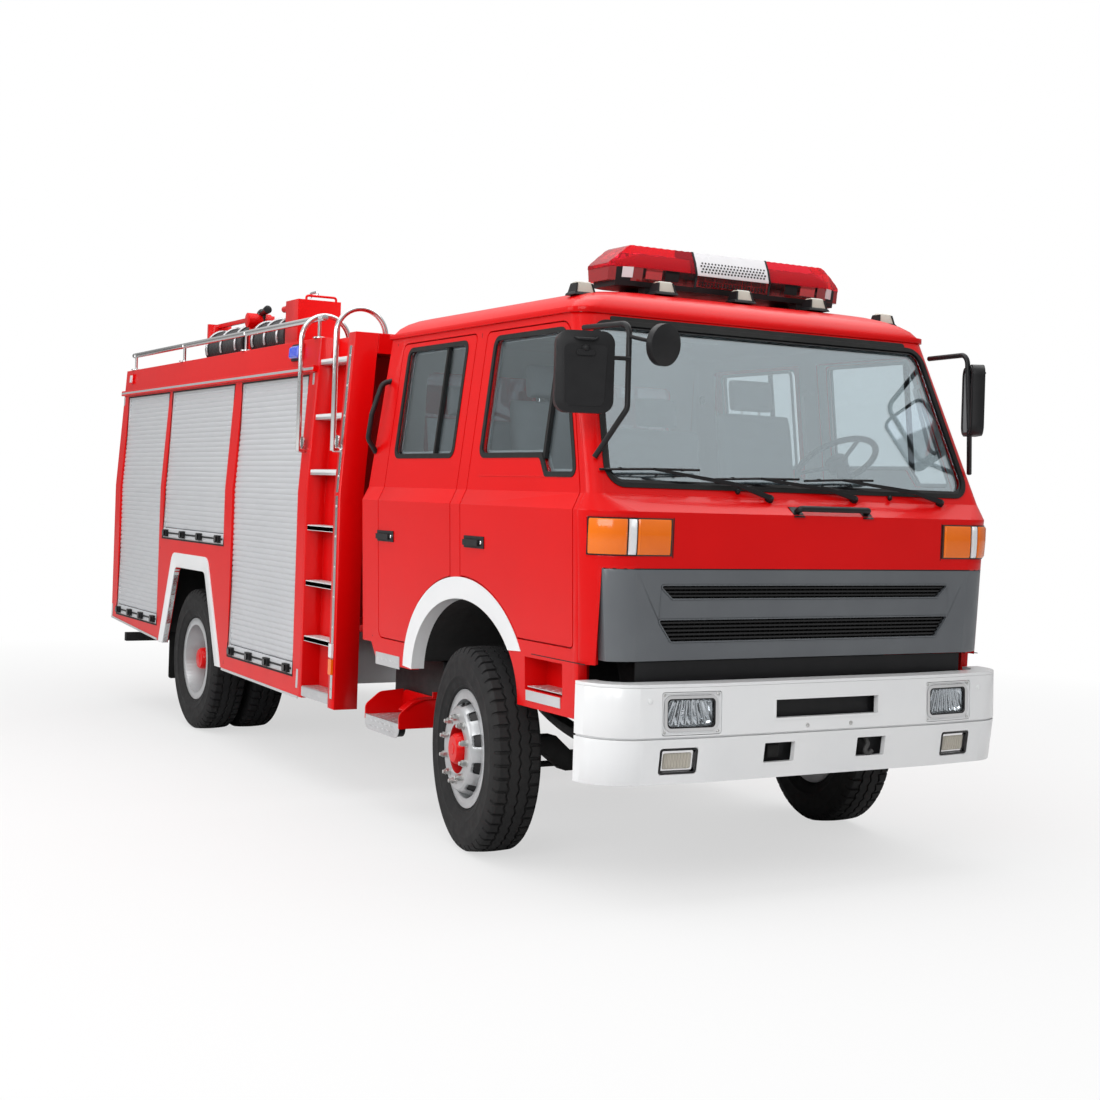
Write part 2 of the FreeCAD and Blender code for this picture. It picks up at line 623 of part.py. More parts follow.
def leaf_springs():
    front = leaf_pack(FRONT_AXLE, AXLE_BEAM_TOP, AXLE_BEAM_TOP + 60, 590.0)
    tube_top = TYRE_RADIUS + AXLE_TUBE_RADIUS
    rear = leaf_pack(REAR_AXLE, tube_top + FIT, tube_top + 76, 610.0)
    return Part.makeCompound(both_sides(front) + both_sides(rear))


def rear_axle():
    """Driven axle: round differential housing, tubes, and the spindle ends that the twin wheels turn on."""
    centre = Vector(REAR_AXLE, 0, TYRE_RADIUS)
    pieces = [Part.makeSphere(190, centre), rod((REAR_AXLE, 0, TYRE_RADIUS), (REAR_AXLE + 330, 0, TYRE_RADIUS + 20), 80)]
    tube_end = DUAL_MID_Y - 165
    for side in (-1, 1):
        pieces.append(rod((REAR_AXLE, 0, TYRE_RADIUS), (REAR_AXLE, side * tube_end, TYRE_RADIUS), AXLE_TUBE_RADIUS))
        pieces.append(rod((REAR_AXLE, side * (tube_end - 40), TYRE_RADIUS),
                          (REAR_AXLE, side * (tube_end - 26), TYRE_RADIUS), SHOE_PLATE_RADIUS))
        pieces.append(rod((REAR_AXLE, side * tube_end, TYRE_RADIUS),
                          (REAR_AXLE, side * (DUAL_MID_Y + 96), TYRE_RADIUS), SPINDLE_RADIUS))
    return fuse(pieces)


def propeller_shaft():
    """Shaft with its two joints, from the gearbox back to the rear axle."""
    front = Vector(FRONT_AXLE + ENGINE_REAR - FIT, 0, 800)
    rear = Vector(REAR_AXLE + 340 + FIT, 0, TYRE_RADIUS + 20)
    path = (front - rear).normalize()
    pieces = [rod(rear + path * 60, front - path * 60, 45)]
    for end, out in ((front, path), (rear, path * -1)):
        pieces.append(rod(end - out * 30, end - out * 10, 75))
        pieces.append(rod(end - out * 90, end - out * 30, 34))
    return fuse(pieces)


def engine_block():
    """Engine and gearbox as one plain block under the cab's tunnel."""
    return block(FRONT_AXLE + ENGINE_REAR, FRONT_AXLE + TUNNEL_FRONT - 60, -ENGINE_HALF_WIDTH, ENGINE_HALF_WIDTH,
                 ENGINE_LOW, TUNNEL_TOP - 60)


def fuel_tank():
    """Fuel tank with rounded edges, on two straps from the left rail."""
    points = [(TANK_INNER_Y, TANK_LOW), (TANK_OUTER_Y, TANK_LOW), (TANK_OUTER_Y, TANK_HIGH), (TANK_INNER_Y, TANK_HIGH)]
    tank = prism("YZ", points, FRONT_AXLE + TANK_REAR, FRONT_AXLE + TANK_FRONT, 60.0)
    return fuse([tank] + tank_straps())


def tank_straps():
    """The two brackets that hold a tank or box to the left rail."""
    strap = block(0, STRAP_WIDTH, RAIL_Y + FIT, TANK_INNER_Y + 15, 760, 800)
    third = (TANK_FRONT - TANK_REAR) / 4
    return [strap.translated(Vector(FRONT_AXLE + TANK_REAR + i * third, 0, 0)) for i in (1, 3)]


def battery_box():
    """Battery box with a flat lid, on two brackets from the right rail."""
    box = block(FRONT_AXLE + TANK_REAR, FRONT_AXLE + TANK_FRONT, TANK_INNER_Y, TANK_OUTER_Y, TANK_LOW, TANK_HIGH - 20)
    return mirrored(fuse([box] + tank_straps()))


def access_step(side):
    """Red bracket with a chequered tread, low behind the front wheel."""
    x0, x1 = FRONT_AXLE + STEP_FRONT - STEP_LENGTH, FRONT_AXLE + STEP_FRONT
    y0, y1 = TANK_OUTER_Y + 2 * FIT, CAB_HALF_WIDTH
    low, high = STEP_LOW, STEP_HIGH
    top = low + 3 * STEP_PLATE
    tread = block(x0, x1, y0, y1, top - STEP_PLATE, top)
    lip = block(x0, x1, y1 - STEP_PLATE, y1, low, top)
    back = block(x0, x1, y0, y0 + STEP_PLATE, low, high)
    cheek = prism("XZ", [(x1 - 6, low), (x1, low), (x1, high), (x1 - 6, high)], y0, y1 - 30)
    rear_cheek = cheek.translated(Vector(x0 - x1 + 6, 0, 0))
    step = fuse([tread, lip, back, cheek, rear_cheek])
    return step if side > 0 else mirrored(step)


# ---------- cab ----------

def cab_levels(inset):
    """The cab's outline at its five levels: height, half width, front, rear and corner radius."""
    lean = CAB_HALF_WIDTH - TUMBLEHOME
    levels = [(CAB_BOTTOM, CAB_HALF_WIDTH - CAB_TUCK, CAB_FRONT - 20, CAB_REAR, BELT_CORNER),
              (BELT_Z, CAB_HALF_WIDTH, CAB_FRONT, CAB_REAR, BELT_CORNER),
              (SHOULDER_Z, CAB_HALF_WIDTH - SHOULDER_STEP, WINDSCREEN_FOOT, CAB_REAR + 6, CAB_CORNER),
              (CAB_EAVE_Z, lean, WINDSCREEN_HEAD, CAB_REAR + 55, CAB_CORNER + 30)]
    return [(z, half - inset, FRONT_AXLE + front - inset, FRONT_AXLE + rear + inset, max(corner - inset, 8.0))
            for z, half, front, rear, corner in levels]


def plan(z, half, front, rear, corner):
    rear_corner = max(min(corner, CAB_CORNER) * 0.6, 8.0)
    points = [(front, -half, corner), (front, half, corner), (rear, half, rear_corner), (rear, -half, rear_corner)]
    return outline("XY", points, 0.0, z)


def beyond(level, neighbour, step):
    """The level carried on past the end of the loft, away from its neighbour, by a height step."""
    share = step / abs(level[0] - neighbour[0])
    return tuple(a + (a - b) * share for a, b in zip(level, neighbour))


def cab_body(inset, overrun=0.0):
    """The closed cab form below the roof, drawn in by inset all round and run on past both ends."""
    levels = cab_levels(inset)
    if overrun > 0:
        levels = [beyond(levels[0], levels[1], overrun)] + levels[1:-1] + [beyond(levels[-1], levels[-2], overrun)]
    return Part.makeLoft([plan(*level) for level in levels], True, True)


def cab_skin(outer, inner):
    """The layer of the cab wall between two insets."""
    return cab_body(outer).cut(cab_body(inner, 60.0))


def roof_form(inset):
    """The crowned roof on top of the eave outline."""
    z, half, front, rear, corner = cab_levels(inset)[-1]
    steps = 7
    wires = []
    for i in range(steps + 1):
        angle = math.pi / 2 * i / steps
        pull = ROOF_SHOULDER * (1 - math.cos(angle))
        rise = (ROOF_RISE - inset) * math.sin(angle)
        wires.append(plan(z + rise, half - pull, front - pull * 0.75, rear + pull * 0.6, corner + pull * 0.4))
    return Part.makeLoft(wires, True, True)


def cab_roof():
    """Roof panel with the drip moulding round its edge."""
    shell = roof_form(0).cut(roof_form(CAB_WALL))
    z, half, front, rear, corner = cab_levels(0)[-1]
    drip = Part.Face(plan(z, half + 16, front + 8, rear - 10, corner + 10)).extrude(Vector(0, 0, 26))
    drip = drip.cut(Part.Face(plan(z, half - 20, front - 20, rear + 20, corner)).extrude(Vector(0, 0, 26)))
    inside = roof_form(CAB_WALL)
    return fuse([shell, drip.cut(inside)])


def front_pillar_line(shift=0.0):
    """The XZ line of the front door's front edge, from bottom to top, moved forward by shift."""
    x = FRONT_AXLE + FRONT_DOOR_FRONT + shift
    return [(x, DOOR_BOTTOM), (x, SHOULDER_Z + 10), (x - 300, DOOR_TOP)]


def front_panel_zone():
    """The space ahead of the front doors, which the front panel and windscreen fill."""
    line = front_pillar_line(36.0)
    points = [(line[0][0], 700)] + line[1:] + [(line[2][0] - 14, CAB_EAVE_Z + 50), (FRONT_AXLE + 2000, CAB_EAVE_Z + 50),
                                              (FRONT_AXLE + 2000, 700)]
    return prism("XZ", points, -BIG, BIG)


def windscreen_outline(shrink):
    foot_z, head_z = SHOULDER_Z + WINDSCREEN_EDGE + shrink, CAB_EAVE_Z - WINDSCREEN_EDGE - shrink
    foot_y = CAB_HALF_WIDTH - SHOULDER_STEP - WINDSCREEN_FOOT_POST - shrink
    head_y = CAB_HALF_WIDTH - TUMBLEHOME - WINDSCREEN_HEAD_POST - shrink
    return [(-foot_y, foot_z), (foot_y, foot_z), (head_y, head_z), (-head_y, head_z)]


def windscreen_hole(shrink, radius=80.0):
    return prism("YZ", windscreen_outline(shrink), FRONT_AXLE + 500, FRONT_AXLE + 1500, radius - shrink)


def cab_front_panel(wall):
    """Front panel with the windscreen's frame and both front pillars; the grille fills its lower middle."""
    panel = wall.common(front_panel_zone())
    panel = panel.cut(windscreen_hole(0))
    x0, x1 = FRONT_AXLE + 1090, FRONT_AXLE + 1300
    grille = block(x0, x1, -GRILLE_HALF_WIDTH - FIT, GRILLE_HALF_WIDTH + FIT, CAB_BOTTOM - 50, GRILLE_TOP + FIT)
    panel = panel.cut(grille)
    lamp = block(x0, x1, LAMP_INNER_Y - FIT, BIG, LAMP_BOTTOM - FIT, LAMP_TOP + FIT)
    for tool in both_sides(lamp):
        panel = panel.cut(tool)
    corner = block(FRONT_AXLE + FRONT_DOOR_FRONT, FRONT_AXLE + 2000, -BIG, BIG, CAB_BOTTOM - 50, 1040)
    return panel.cut(corner)


def grille_panel(wall):
    """Grey grille panel with two long slots."""
    x0, x1 = FRONT_AXLE + 1090, FRONT_AXLE + 1300
    zone = prism("YZ", [(-GRILLE_HALF_WIDTH + 30, GRILLE_BOTTOM), (GRILLE_HALF_WIDTH - 30, GRILLE_BOTTOM),
                        (GRILLE_HALF_WIDTH, GRILLE_TOP), (-GRILLE_HALF_WIDTH, GRILLE_TOP)], x0, x1)
    panel = wall.common(zone)
    for low, high in GRILLE_SLOTS:
        slot = [(-GRILLE_SLOT_HALF + GRILLE_SLOT_SLANT, low), (GRILLE_SLOT_HALF - GRILLE_SLOT_SLANT, low),
                (GRILLE_SLOT_HALF, high), (-GRILLE_SLOT_HALF, high)]
        panel = panel.cut(prism("YZ", slot, x0, x1, 12.0))
    return panel


def corner_lamp(wall):
    """Direction and side lamp set into the front corner."""
    x0, x1 = FRONT_AXLE + 1090, FRONT_AXLE + 1300
    zone = block(x0, x1, LAMP_INNER_Y, BIG, LAMP_BOTTOM, LAMP_TOP)
    return wall.common(zone)


def arch_prism(band, grow=0.0):
    """The wheel arch opening through the cab, half an ellipse on straight legs."""
    a = ARCH_HALF_LENGTH + band + grow
    b = ARCH_HEIGHT + band + grow
    x, z = FRONT_AXLE + ARCH_CENTRE, ARCH_CENTRE_Z
    shape = Part.Ellipse(Vector(0, 0, 0), max(a, b), min(a, b)).toShape()
    face = Part.Face(Part.Wire(shape))
    face.rotate(Vector(0, 0, 0), Vector(1, 0, 0), 90)
    face.translate(Vector(x, -BIG, z))
    upper = face.extrude(Vector(0, 2 * BIG, 0))
    legs = block(x - a, x + a, -BIG, BIG, 500, z)
    return upper.fuse(legs)


def door_outline(which):
    x = FRONT_AXLE
    if which == "front":
        line = front_pillar_line()
        points = [line[0] + (30.0,), line[1] + (60.0,), line[2] + (110.0,), (x + FRONT_DOOR_REAR, DOOR_TOP, 40.0),
                  (x + FRONT_DOOR_REAR, DOOR_BOTTOM, 20.0)]
    else:
        points = [(x + REAR_DOOR_FRONT, REAR_DOOR_BOTTOM, 20.0), (x + REAR_DOOR_FRONT, DOOR_TOP, 40.0),
                  (x + REAR_DOOR_REAR, DOOR_TOP, 50.0), (x + REAR_DOOR_REAR, REAR_DOOR_BOTTOM, 50.0)]
    return outline("XZ", points, 0.0, -BIG)


def door_prism(which, inset):
    """The door's outline drawn in by inset, clear of the wheel arch band."""
    wire = door_outline(which)
    if inset > 0:
        wire = wire.makeOffset2D(-inset)
    body = Part.Face(wire).extrude(Vector(0, 2 * BIG, 0))
    return body.cut(arch_prism(ARCH_TRIM, inset))


def window_prism(which, grow):
    x = FRONT_AXLE
    if which == "front":
        points = [(x + 925, WINDOW_LOW_SILL, 30.0), (x + 905, WINDOW_LOW_SILL + 60, 40.0), (x + 655, WINDOW_TOP, 90.0),
                  (x - 35, WINDOW_TOP, 25.0), (x - 35, WINDOW_SILL, 20.0), (x + 590, WINDOW_SILL, 25.0),
                  (x + 660, WINDOW_LOW_SILL, 25.0)]
    else:
        points = [(x - 355, WINDOW_SILL, 20.0), (x - 355, WINDOW_TOP, 25.0), (x - 1075, WINDOW_TOP, 25.0),
                  (x - 1075, WINDOW_SILL, 20.0)]
    wire = outline("XZ", points, 0.0, -BIG)
    if grow:
        wire = wire.makeOffset2D(grow)
    return Part.Face(wire).extrude(Vector(0, 2 * BIG, 0))


def half_space(side):
    return block(-BIG, BIG, 0, side * BIG, -100, BIG)


def cab_door(which, side, layers):
    """A door: an outer skin of full size and an inner frame that stands inside the opening."""
    skin, core = layers
    near = half_space(side)
    outer = skin.common(door_prism(which, GAP)).common(near)
    inner = core.common(door_prism(which, DOOR_LIP + GAP + 4)).common(near)
    door = fuse([outer, inner])
    return door.cut(window_prism(which, 0))


def door_glass(which, side, pane_layer):
    return pane_layer.common(window_prism(which, -SEAM)).common(half_space(side))


def cab_side(side, wall, rebate):
    """Side frame: sill, door posts and the wheel arch with its front wing."""
    y = side * (CAB_HALF_WIDTH - SIDE_SEAM_INSET)
    zone = block(FRONT_AXLE - 3000, FRONT_AXLE + 2000, y, side * BIG, 0, BIG)
    frame = wall.common(zone).cut(front_panel_zone())
    for which in ("front", "rear"):
        frame = frame.cut(rebate.common(door_prism(which, 0)))
        frame = frame.cut(door_prism(which, DOOR_LIP))
    x = FRONT_AXLE
    frame = frame.cut(arch_prism(0))
    inner, pocket = wing_pocket(side)
    frame = fuse([frame.cut(inner), pocket])
    hem = [(x - 2000, 500), (x - 2000, 930), (x - 1270, 930), (x - 1190, 826), (x - 600, 826), (x - 600, 500)]
    frame = frame.cut(prism("XZ", hem, -BIG, BIG))
    return frame


def wing_pocket(side):
    """The step pocket in the wing ahead of the front wheel: its hollow, and the box round it."""
    x0, x1 = FRONT_AXLE + POCKET_REAR, FRONT_AXLE + POCKET_FRONT
    y = side * (CAB_HALF_WIDTH - POCKET_DEPTH)
    plate = POCKET_PLATE
    inner = block(x0, x1, y, side * BIG, POCKET_LOW, POCKET_HIGH)
    outer = block(x0 - plate, x1 + plate, y - side * plate, side * BIG, POCKET_LOW - plate, POCKET_HIGH + plate)
    return inner, outer.common(cab_body(0)).cut(inner)


def cab_rear_wall(wall):
    half = CAB_HALF_WIDTH - SIDE_SEAM_INSET - FIT
    zone = block(FRONT_AXLE + CAB_REAR - 100, FRONT_AXLE + CAB_REAR + 400, -half, half, 1000, BIG)
    panel = wall.common(zone)
    for side in (-1, 1):
        panel = panel.cut(rear_window_prism(side, 0))
    return panel


def rear_window_prism(side, shrink):
    a, b = side * (120 + shrink), side * (840 - shrink)
    low, high = 1990 + shrink, 2470 - shrink
    return prism("YZ", [(a, low), (b, low), (b, high), (a, high)], FRONT_AXLE + CAB_REAR - 200,
                 FRONT_AXLE + CAB_REAR + 500, 50.0)


def cab_glass(pane_layer):
    """Windscreen and the two rear windows."""
    panes = [pane_layer.common(windscreen_hole(SEAM))]
    for side in (-1, 1):
        panes.append(pane_layer.common(rear_window_prism(side, SEAM)))
    return Part.makeCompound(panes)


def wheel_housing():
    """The left front wheel's housing: a round shell over the tyre, closed on its inner side."""
    x = FRONT_AXLE
    inside = cab_body(CAB_WALL + FLOOR_FIT)
    zone = block(x - 2000, x + 2000, LINER_INNER_Y, BIG, LINER_BOTTOM, BIG)
    shell = arch_prism(FIT + CAB_PLATE).common(zone).common(inside)
    return shell.cut(arch_prism(FIT).common(block(x - 2000, x + 2000, LINER_INNER_Y + CAB_PLATE, BIG, 0, BIG)))


def step_well(grow=0.0):
    """The left step well inside the rear door, as an open box, or as a solid grown by some clearance."""
    x = FRONT_AXLE
    inside = cab_body(CAB_WALL + FLOOR_FIT - grow)
    top = CAB_FLOOR_TOP + grow
    zone = block(x + CAB_REAR, x + STEP_WELL_FRONT + grow, STEP_WELL_INNER_Y - grow, BIG, STEP_WELL_Z - CAB_PLATE, top)
    well = zone.common(inside)
    if grow > 0:
        return well
    return well.cut(block(x + REAR_DOOR_REAR, x + STEP_WELL_FRONT - CAB_PLATE, STEP_WELL_INNER_Y + CAB_PLATE, BIG,
                          STEP_WELL_Z, top + 1))


def cab_floor():
    """Floor with the engine tunnel, cut out round the wheel housings and the step wells."""
    x = FRONT_AXLE
    low = CAB_FLOOR_TOP - CAB_PLATE
    wide = TUNNEL_HALF_WIDTH
    floor = block(x - 2000, x + 2000, -BIG, BIG, low, CAB_FLOOR_TOP).common(cab_body(CAB_WALL + FLOOR_FIT))
    tunnel = block(x + TUNNEL_REAR, x + TUNNEL_FRONT, -wide, wide, low, TUNNEL_TOP)
    hollow = block(x + TUNNEL_REAR + CAB_PLATE, x + TUNNEL_FRONT - CAB_PLATE, CAB_PLATE - wide, wide - CAB_PLATE, low - 10,
                   TUNNEL_TOP - CAB_PLATE)
    housing = arch_prism(2 * FIT + CAB_PLATE).common(block(x - 2000, x + 2000, LINER_INNER_Y - FIT, BIG, 0, BIG))
    whole = fuse([floor, tunnel]).cut(hollow)
    for tool in (housing, step_well(FIT)):
        whole = cut(whole, both_sides(tool))
    return whole


def column_axis():
    """The middle of the steering wheel, and the way its column points up to the driver."""
    lean = math.radians(STEERING_WHEEL_LEAN)
    centre = Vector(FRONT_AXLE + STEERING_WHEEL_X, FRONT_SEAT_Y, STEERING_WHEEL_Z)
    return centre, Vector(-math.sin(lean), 0, math.cos(lean))


def dashboard():
    x = FRONT_AXLE
    profile = [(x + 1060, 1560), (x + 1075, 1790), (x + 900, 1830), (x + 760, 1790), (x + 740, 1640), (x + 900, 1560)]
    half = CAB_HALF_WIDTH - DASHBOARD_INSET
    body = prism("XZ", profile, -half, half, 25.0)
    foot = block(x + 980, x + 1060, -half, half, CAB_FLOOR_TOP + FIT, 1570)
    panel = fuse([body, foot]).common(cab_body(CAB_WALL + 6))
    centre, axis = column_axis()
    return panel.cut(Part.makeCylinder(COLUMN_RADIUS + FIT, COLUMN_LENGTH, centre - axis * (COLUMN_LENGTH + FIT), axis))


def steering_wheel():
    """Rim, spokes and column of the steering wheel, leaning back to the driver."""
    centre, axis = column_axis()
    pieces = [Part.makeTorus(STEERING_WHEEL_RADIUS, 15, centre, axis), Part.makeCylinder(55, 40, centre - axis * 45, axis)]
    across = Vector(0, 1, 0)
    along = across.cross(axis)
    for angle in (90, 210, 330):
        a = math.radians(angle)
        tip = centre + (across * math.cos(a) + along * math.sin(a)) * STEERING_WHEEL_RADIUS
        start = centre - axis * 25
        pieces.append(Part.makeCylinder(11, (tip - start).Length, start, tip - start))
    pieces.append(Part.makeCylinder(COLUMN_RADIUS, COLUMN_LENGTH - 20, centre - axis * COLUMN_LENGTH, axis))
    return fuse(pieces)


def seat(back, y, width, top, heads):
    """Cushion, backrest and headrests of a seat, standing at the foot of its backrest."""
    cushion = prism("XZ", [(back - 40, CUSHION_TOP - 140), (back + 490, CUSHION_TOP - 120), (back + 490, CUSHION_TOP),
                           (back - 40, CUSHION_TOP - 20)], y - width / 2, y + width / 2, 40.0)
    rest = prism("XZ", [(back, CUSHION_TOP - 40), (back - 120, CUSHION_TOP - 40), (back - 200, top), (back - 110, top)],
                 y - width / 2, y + width / 2, 35.0)
    pieces = [cushion, rest]
    for offset in heads:
        pieces.append(prism("XZ", [(back - 195, top - 10), (back - 115, top - 10), (back - 135, top + 210),
                                   (back - 200, top + 210)], y + offset - 130, y + offset + 130, 25.0))
    return fuse(pieces)


def seats():
    """Driver's and front passenger's seats, and the rear bench for the crew."""
    x = FRONT_AXLE
    arch = arch_prism(2 * FIT + CAB_PLATE)
    low = CAB_FLOOR_TOP + FIT
    solids = []
    for y in (-FRONT_SEAT_Y, FRONT_SEAT_Y):
        box = block(x - 130, x + 260, y - 200, y + 200, low, CUSHION_TOP - 110).cut(arch)
        solids.append(fuse([seat(x + FRONT_SEAT_BACK, y, FRONT_SEAT_WIDTH, 2270, (0,)), box]))
    bench_box = block(x - 1290, x + TUNNEL_REAR - 20, -680, 680, low, CUSHION_TOP - 110)
    solids.append(fuse([seat(x + BENCH_BACK, 0, BENCH_WIDTH, 2200, (-640, 0, 640)), bench_box]))
    return Part.makeCompound(solids)


# ---------- cab outside ----------

def bumper_plan(inset, rake):
    x0 = FRONT_AXLE + BUMPER_REAR - 50
    x1 = FRONT_AXLE + FRONT_OVERHANG - inset - rake
    half = BUMPER_HALF_WIDTH - inset
    flat = half * 0.55
    return [(x0, -half, 0.0), (x1 - BUMPER_BOW, -half, BUMPER_CORNER - inset), (x1, -flat, 900.0),
            (x1, flat, 900.0), (x1 - BUMPER_BOW, half, BUMPER_CORNER - inset), (x0, half, 0.0)]


def bumper_form(inset):
    """The bumper's closed form, drawn in by inset; it is widest at its fold."""
    levels = ((BUMPER_BOTTOM, BUMPER_RAKE), (BUMPER_FOLD_Z, 0.0), (BUMPER_TOP, 6.0))
    return Part.makeLoft([outline("XY", bumper_plan(inset, rake), 0, z) for z, rake in levels], True, True)


def bumper_openings():
    """The lamp openings, the tow holes and the slot."""
    x0, x1 = FRONT_AXLE + 1200, FRONT_AXLE + 1500
    tow = prism("YZ", [(TOW_HOLE_INNER_Y, TOW_HOLE[0]), (TOW_HOLE_OUTER_Y, TOW_HOLE[0]),
                       (TOW_HOLE_OUTER_Y, TOW_HOLE[1]), (TOW_HOLE_INNER_Y, TOW_HOLE[1])], x0, x1, 8.0)
    half = BUMPER_SLOT_HALF
    slot = prism("YZ", [(-half, BUMPER_SLOT[0]), (half, BUMPER_SLOT[0]), (half, BUMPER_SLOT[1]),
                        (-half, BUMPER_SLOT[1])], x0, x1, 8.0)
    tools = [slot]
    for opening in (lamp_prism(HEADLAMP_Y, HEADLAMP_Z, HEADLAMP_WIDTH, HEADLAMP_HEIGHT, FIT),
                    lamp_prism(FOGLAMP_Y, FOGLAMP_Z, FOGLAMP_WIDTH, FOGLAMP_HEIGHT, FIT), tow):
        tools += both_sides(opening)
    return tools


def front_bumper():
    """Deep steel bumper with wrapped ends: a lower and an upper pressing that meet in the groove, and a top plate."""
    outer = bumper_form(0)
    shell = outer.cut(bumper_form(BUMPER_WALL))
    shell = cut(shell.cut(block(-BIG, FRONT_AXLE + BUMPER_REAR, -BIG, BIG, 0, BIG)), bumper_openings())
    lug = block(FRONT_AXLE + 1301, FRONT_AXLE + FRONT_OVERHANG - BUMPER_WALL / 2, RAIL_Y - 66, RAIL_Y - 14,
                BUMPER_FOLD_Z, 890)
    lugs = [piece.common(outer) for piece in both_sides(lug)]
    groove = block(-BIG, BIG, -BIG, BIG, BUMPER_FOLD_Z - BUMPER_GROOVE, BUMPER_FOLD_Z)
    joined = fuse([shell] + lugs).cut(groove.cut(bumper_form(BUMPER_GROOVE)))
    plate_z = BUMPER_TOP - BUMPER_TOP_PLATE
    seam_z = BUMPER_FOLD_Z - BUMPER_GROOVE
    lower = joined.common(block(-BIG, BIG, -BIG, BIG, 0, seam_z - BUMPER_SEAM / 2))
    upper = joined.common(block(-BIG, BIG, -BIG, BIG, seam_z + BUMPER_SEAM / 2, plate_z - BUMPER_SEAM))
    plate = outer.cut(bumper_form(BUMPER_TOP_DEPTH))
    plate = plate.common(block(FRONT_AXLE + BUMPER_REAR, BIG * 2, -BIG, BIG, plate_z, BUMPER_TOP))
    return Part.makeCompound([lower, upper, plate])


def lamp_prism(y, z, width, height, grow):
    a, b = y - width / 2 - grow, y + width / 2 + grow
    c, d = z - height / 2 - grow, z + height / 2 + grow
    return prism("YZ", [(a, c), (b, c), (b, d), (a, d)], FRONT_AXLE + 1225, FRONT_AXLE + 1500, 14.0)


def bumper_lamp(y, z, width, height, sunk):
    """A rectangular lamp: a deep housing whose face follows the bumper, sunk a little into it."""
    body = lamp_prism(y, z, width, height, 0.0).common(bumper_form(sunk))
    return body.common(block(FRONT_AXLE + LAMP_BACK, BIG * 2, -BIG, BIG, 0, BIG))


def front_lamps(wall):
    """Headlamps, fog lamps and the corner lamps, one set each side."""
    lamps = [bumper_lamp(HEADLAMP_Y, HEADLAMP_Z, HEADLAMP_WIDTH, HEADLAMP_HEIGHT, 5.0),
             bumper_lamp(FOGLAMP_Y, FOGLAMP_Z, FOGLAMP_WIDTH, FOGLAMP_HEIGHT, 5.0), corner_lamp(wall)]
    solids = []
    for lamp in lamps:
        solids += both_sides(lamp)
    return Part.makeCompound(solids)


def light_bar():
    """Warning light bar on two feet, its ends swept back."""
    x = FRONT_AXLE + LIGHT_BAR_X
    half, deep = LIGHT_BAR_HALF_LENGTH, LIGHT_BAR_DEPTH / 2
    low, high = LIGHT_BAR_BOTTOM, LIGHT_BAR_TOP
    middle = low + 95

    def level(z, pull, narrow):
        points = [(x - deep + narrow, -half + pull + 60), (x - deep + narrow + 60, -half + pull),
                  (x + deep - narrow - 60, -half + pull), (x + deep - narrow, -half + pull + 110),
                  (x + deep - narrow, half - pull - 110), (x + deep - narrow - 60, half - pull),
                  (x - deep + narrow + 60, half - pull), (x - deep + narrow, half - pull - 60)]
        return outline("XY", points, 0, z)

    body = Part.makeLoft([level(low, 60, 20), level(middle, 0, 0), level(high - 25, 95, 30), level(high, 130, 60)],
                         True, True)
    roof = roof_form(0)
    feet = []
    for y in (-470, 470):
        post = block(x - 80, x + 80, y - 70, y + 70, CAB_EAVE_Z + 60, low + 4)
        feet.append(post.cut(roof))
    return fuse([body] + feet)


def roof_marker(y):
    x = FRONT_AXLE + 560
    lamp = Part.makeLoft([outline("XY", [(x - 45, y - 55), (x + 45, y - 55), (x + 45, y + 55), (x - 45, y + 55)], 12,
                                  CAB_EAVE_Z + 60),
                          outline("XY", [(x - 45, y - 55), (x + 45, y - 55), (x + 45, y + 55), (x - 45, y + 55)], 12, 2790),
                          outline("XY", [(x - 38, y - 40), (x + 25, y - 40), (x + 25, y + 40), (x - 38, y + 40)], 12, 2832)],
                         True, True)
    return lamp.cut(roof_form(0))


def marker_lamps():
    """Roof markers, side strobes, side markers and the tail lamps."""
    solids = [roof_marker(y) for y in (-930, -470, 0, 470, 930)]
    rear = REAR_AXLE - REAR_OVERHANG
    high = BODY_TOP - 20
    top_y = body_half_width(BODY_TOP - 100)
    strobe = block(BAY_REAR_X - 440, BAY_REAR_X - 260, top_y - 8, top_y + 42, high - 105, high)
    marker = block(rear + 190, rear + 240, top_y - 8, top_y + 24, high - 90, high - 20)
    wall = side_slab(-BIG, BIG, 400, BODY_TOP + 100, 0, 300)
    for lamp in (strobe, marker):
        solids += both_sides(lamp.cut(wall))
    tail = block(rear - 24, rear, 880, 1150, 760, 880)
    solids += both_sides(tail)
    return Part.makeCompound(solids)


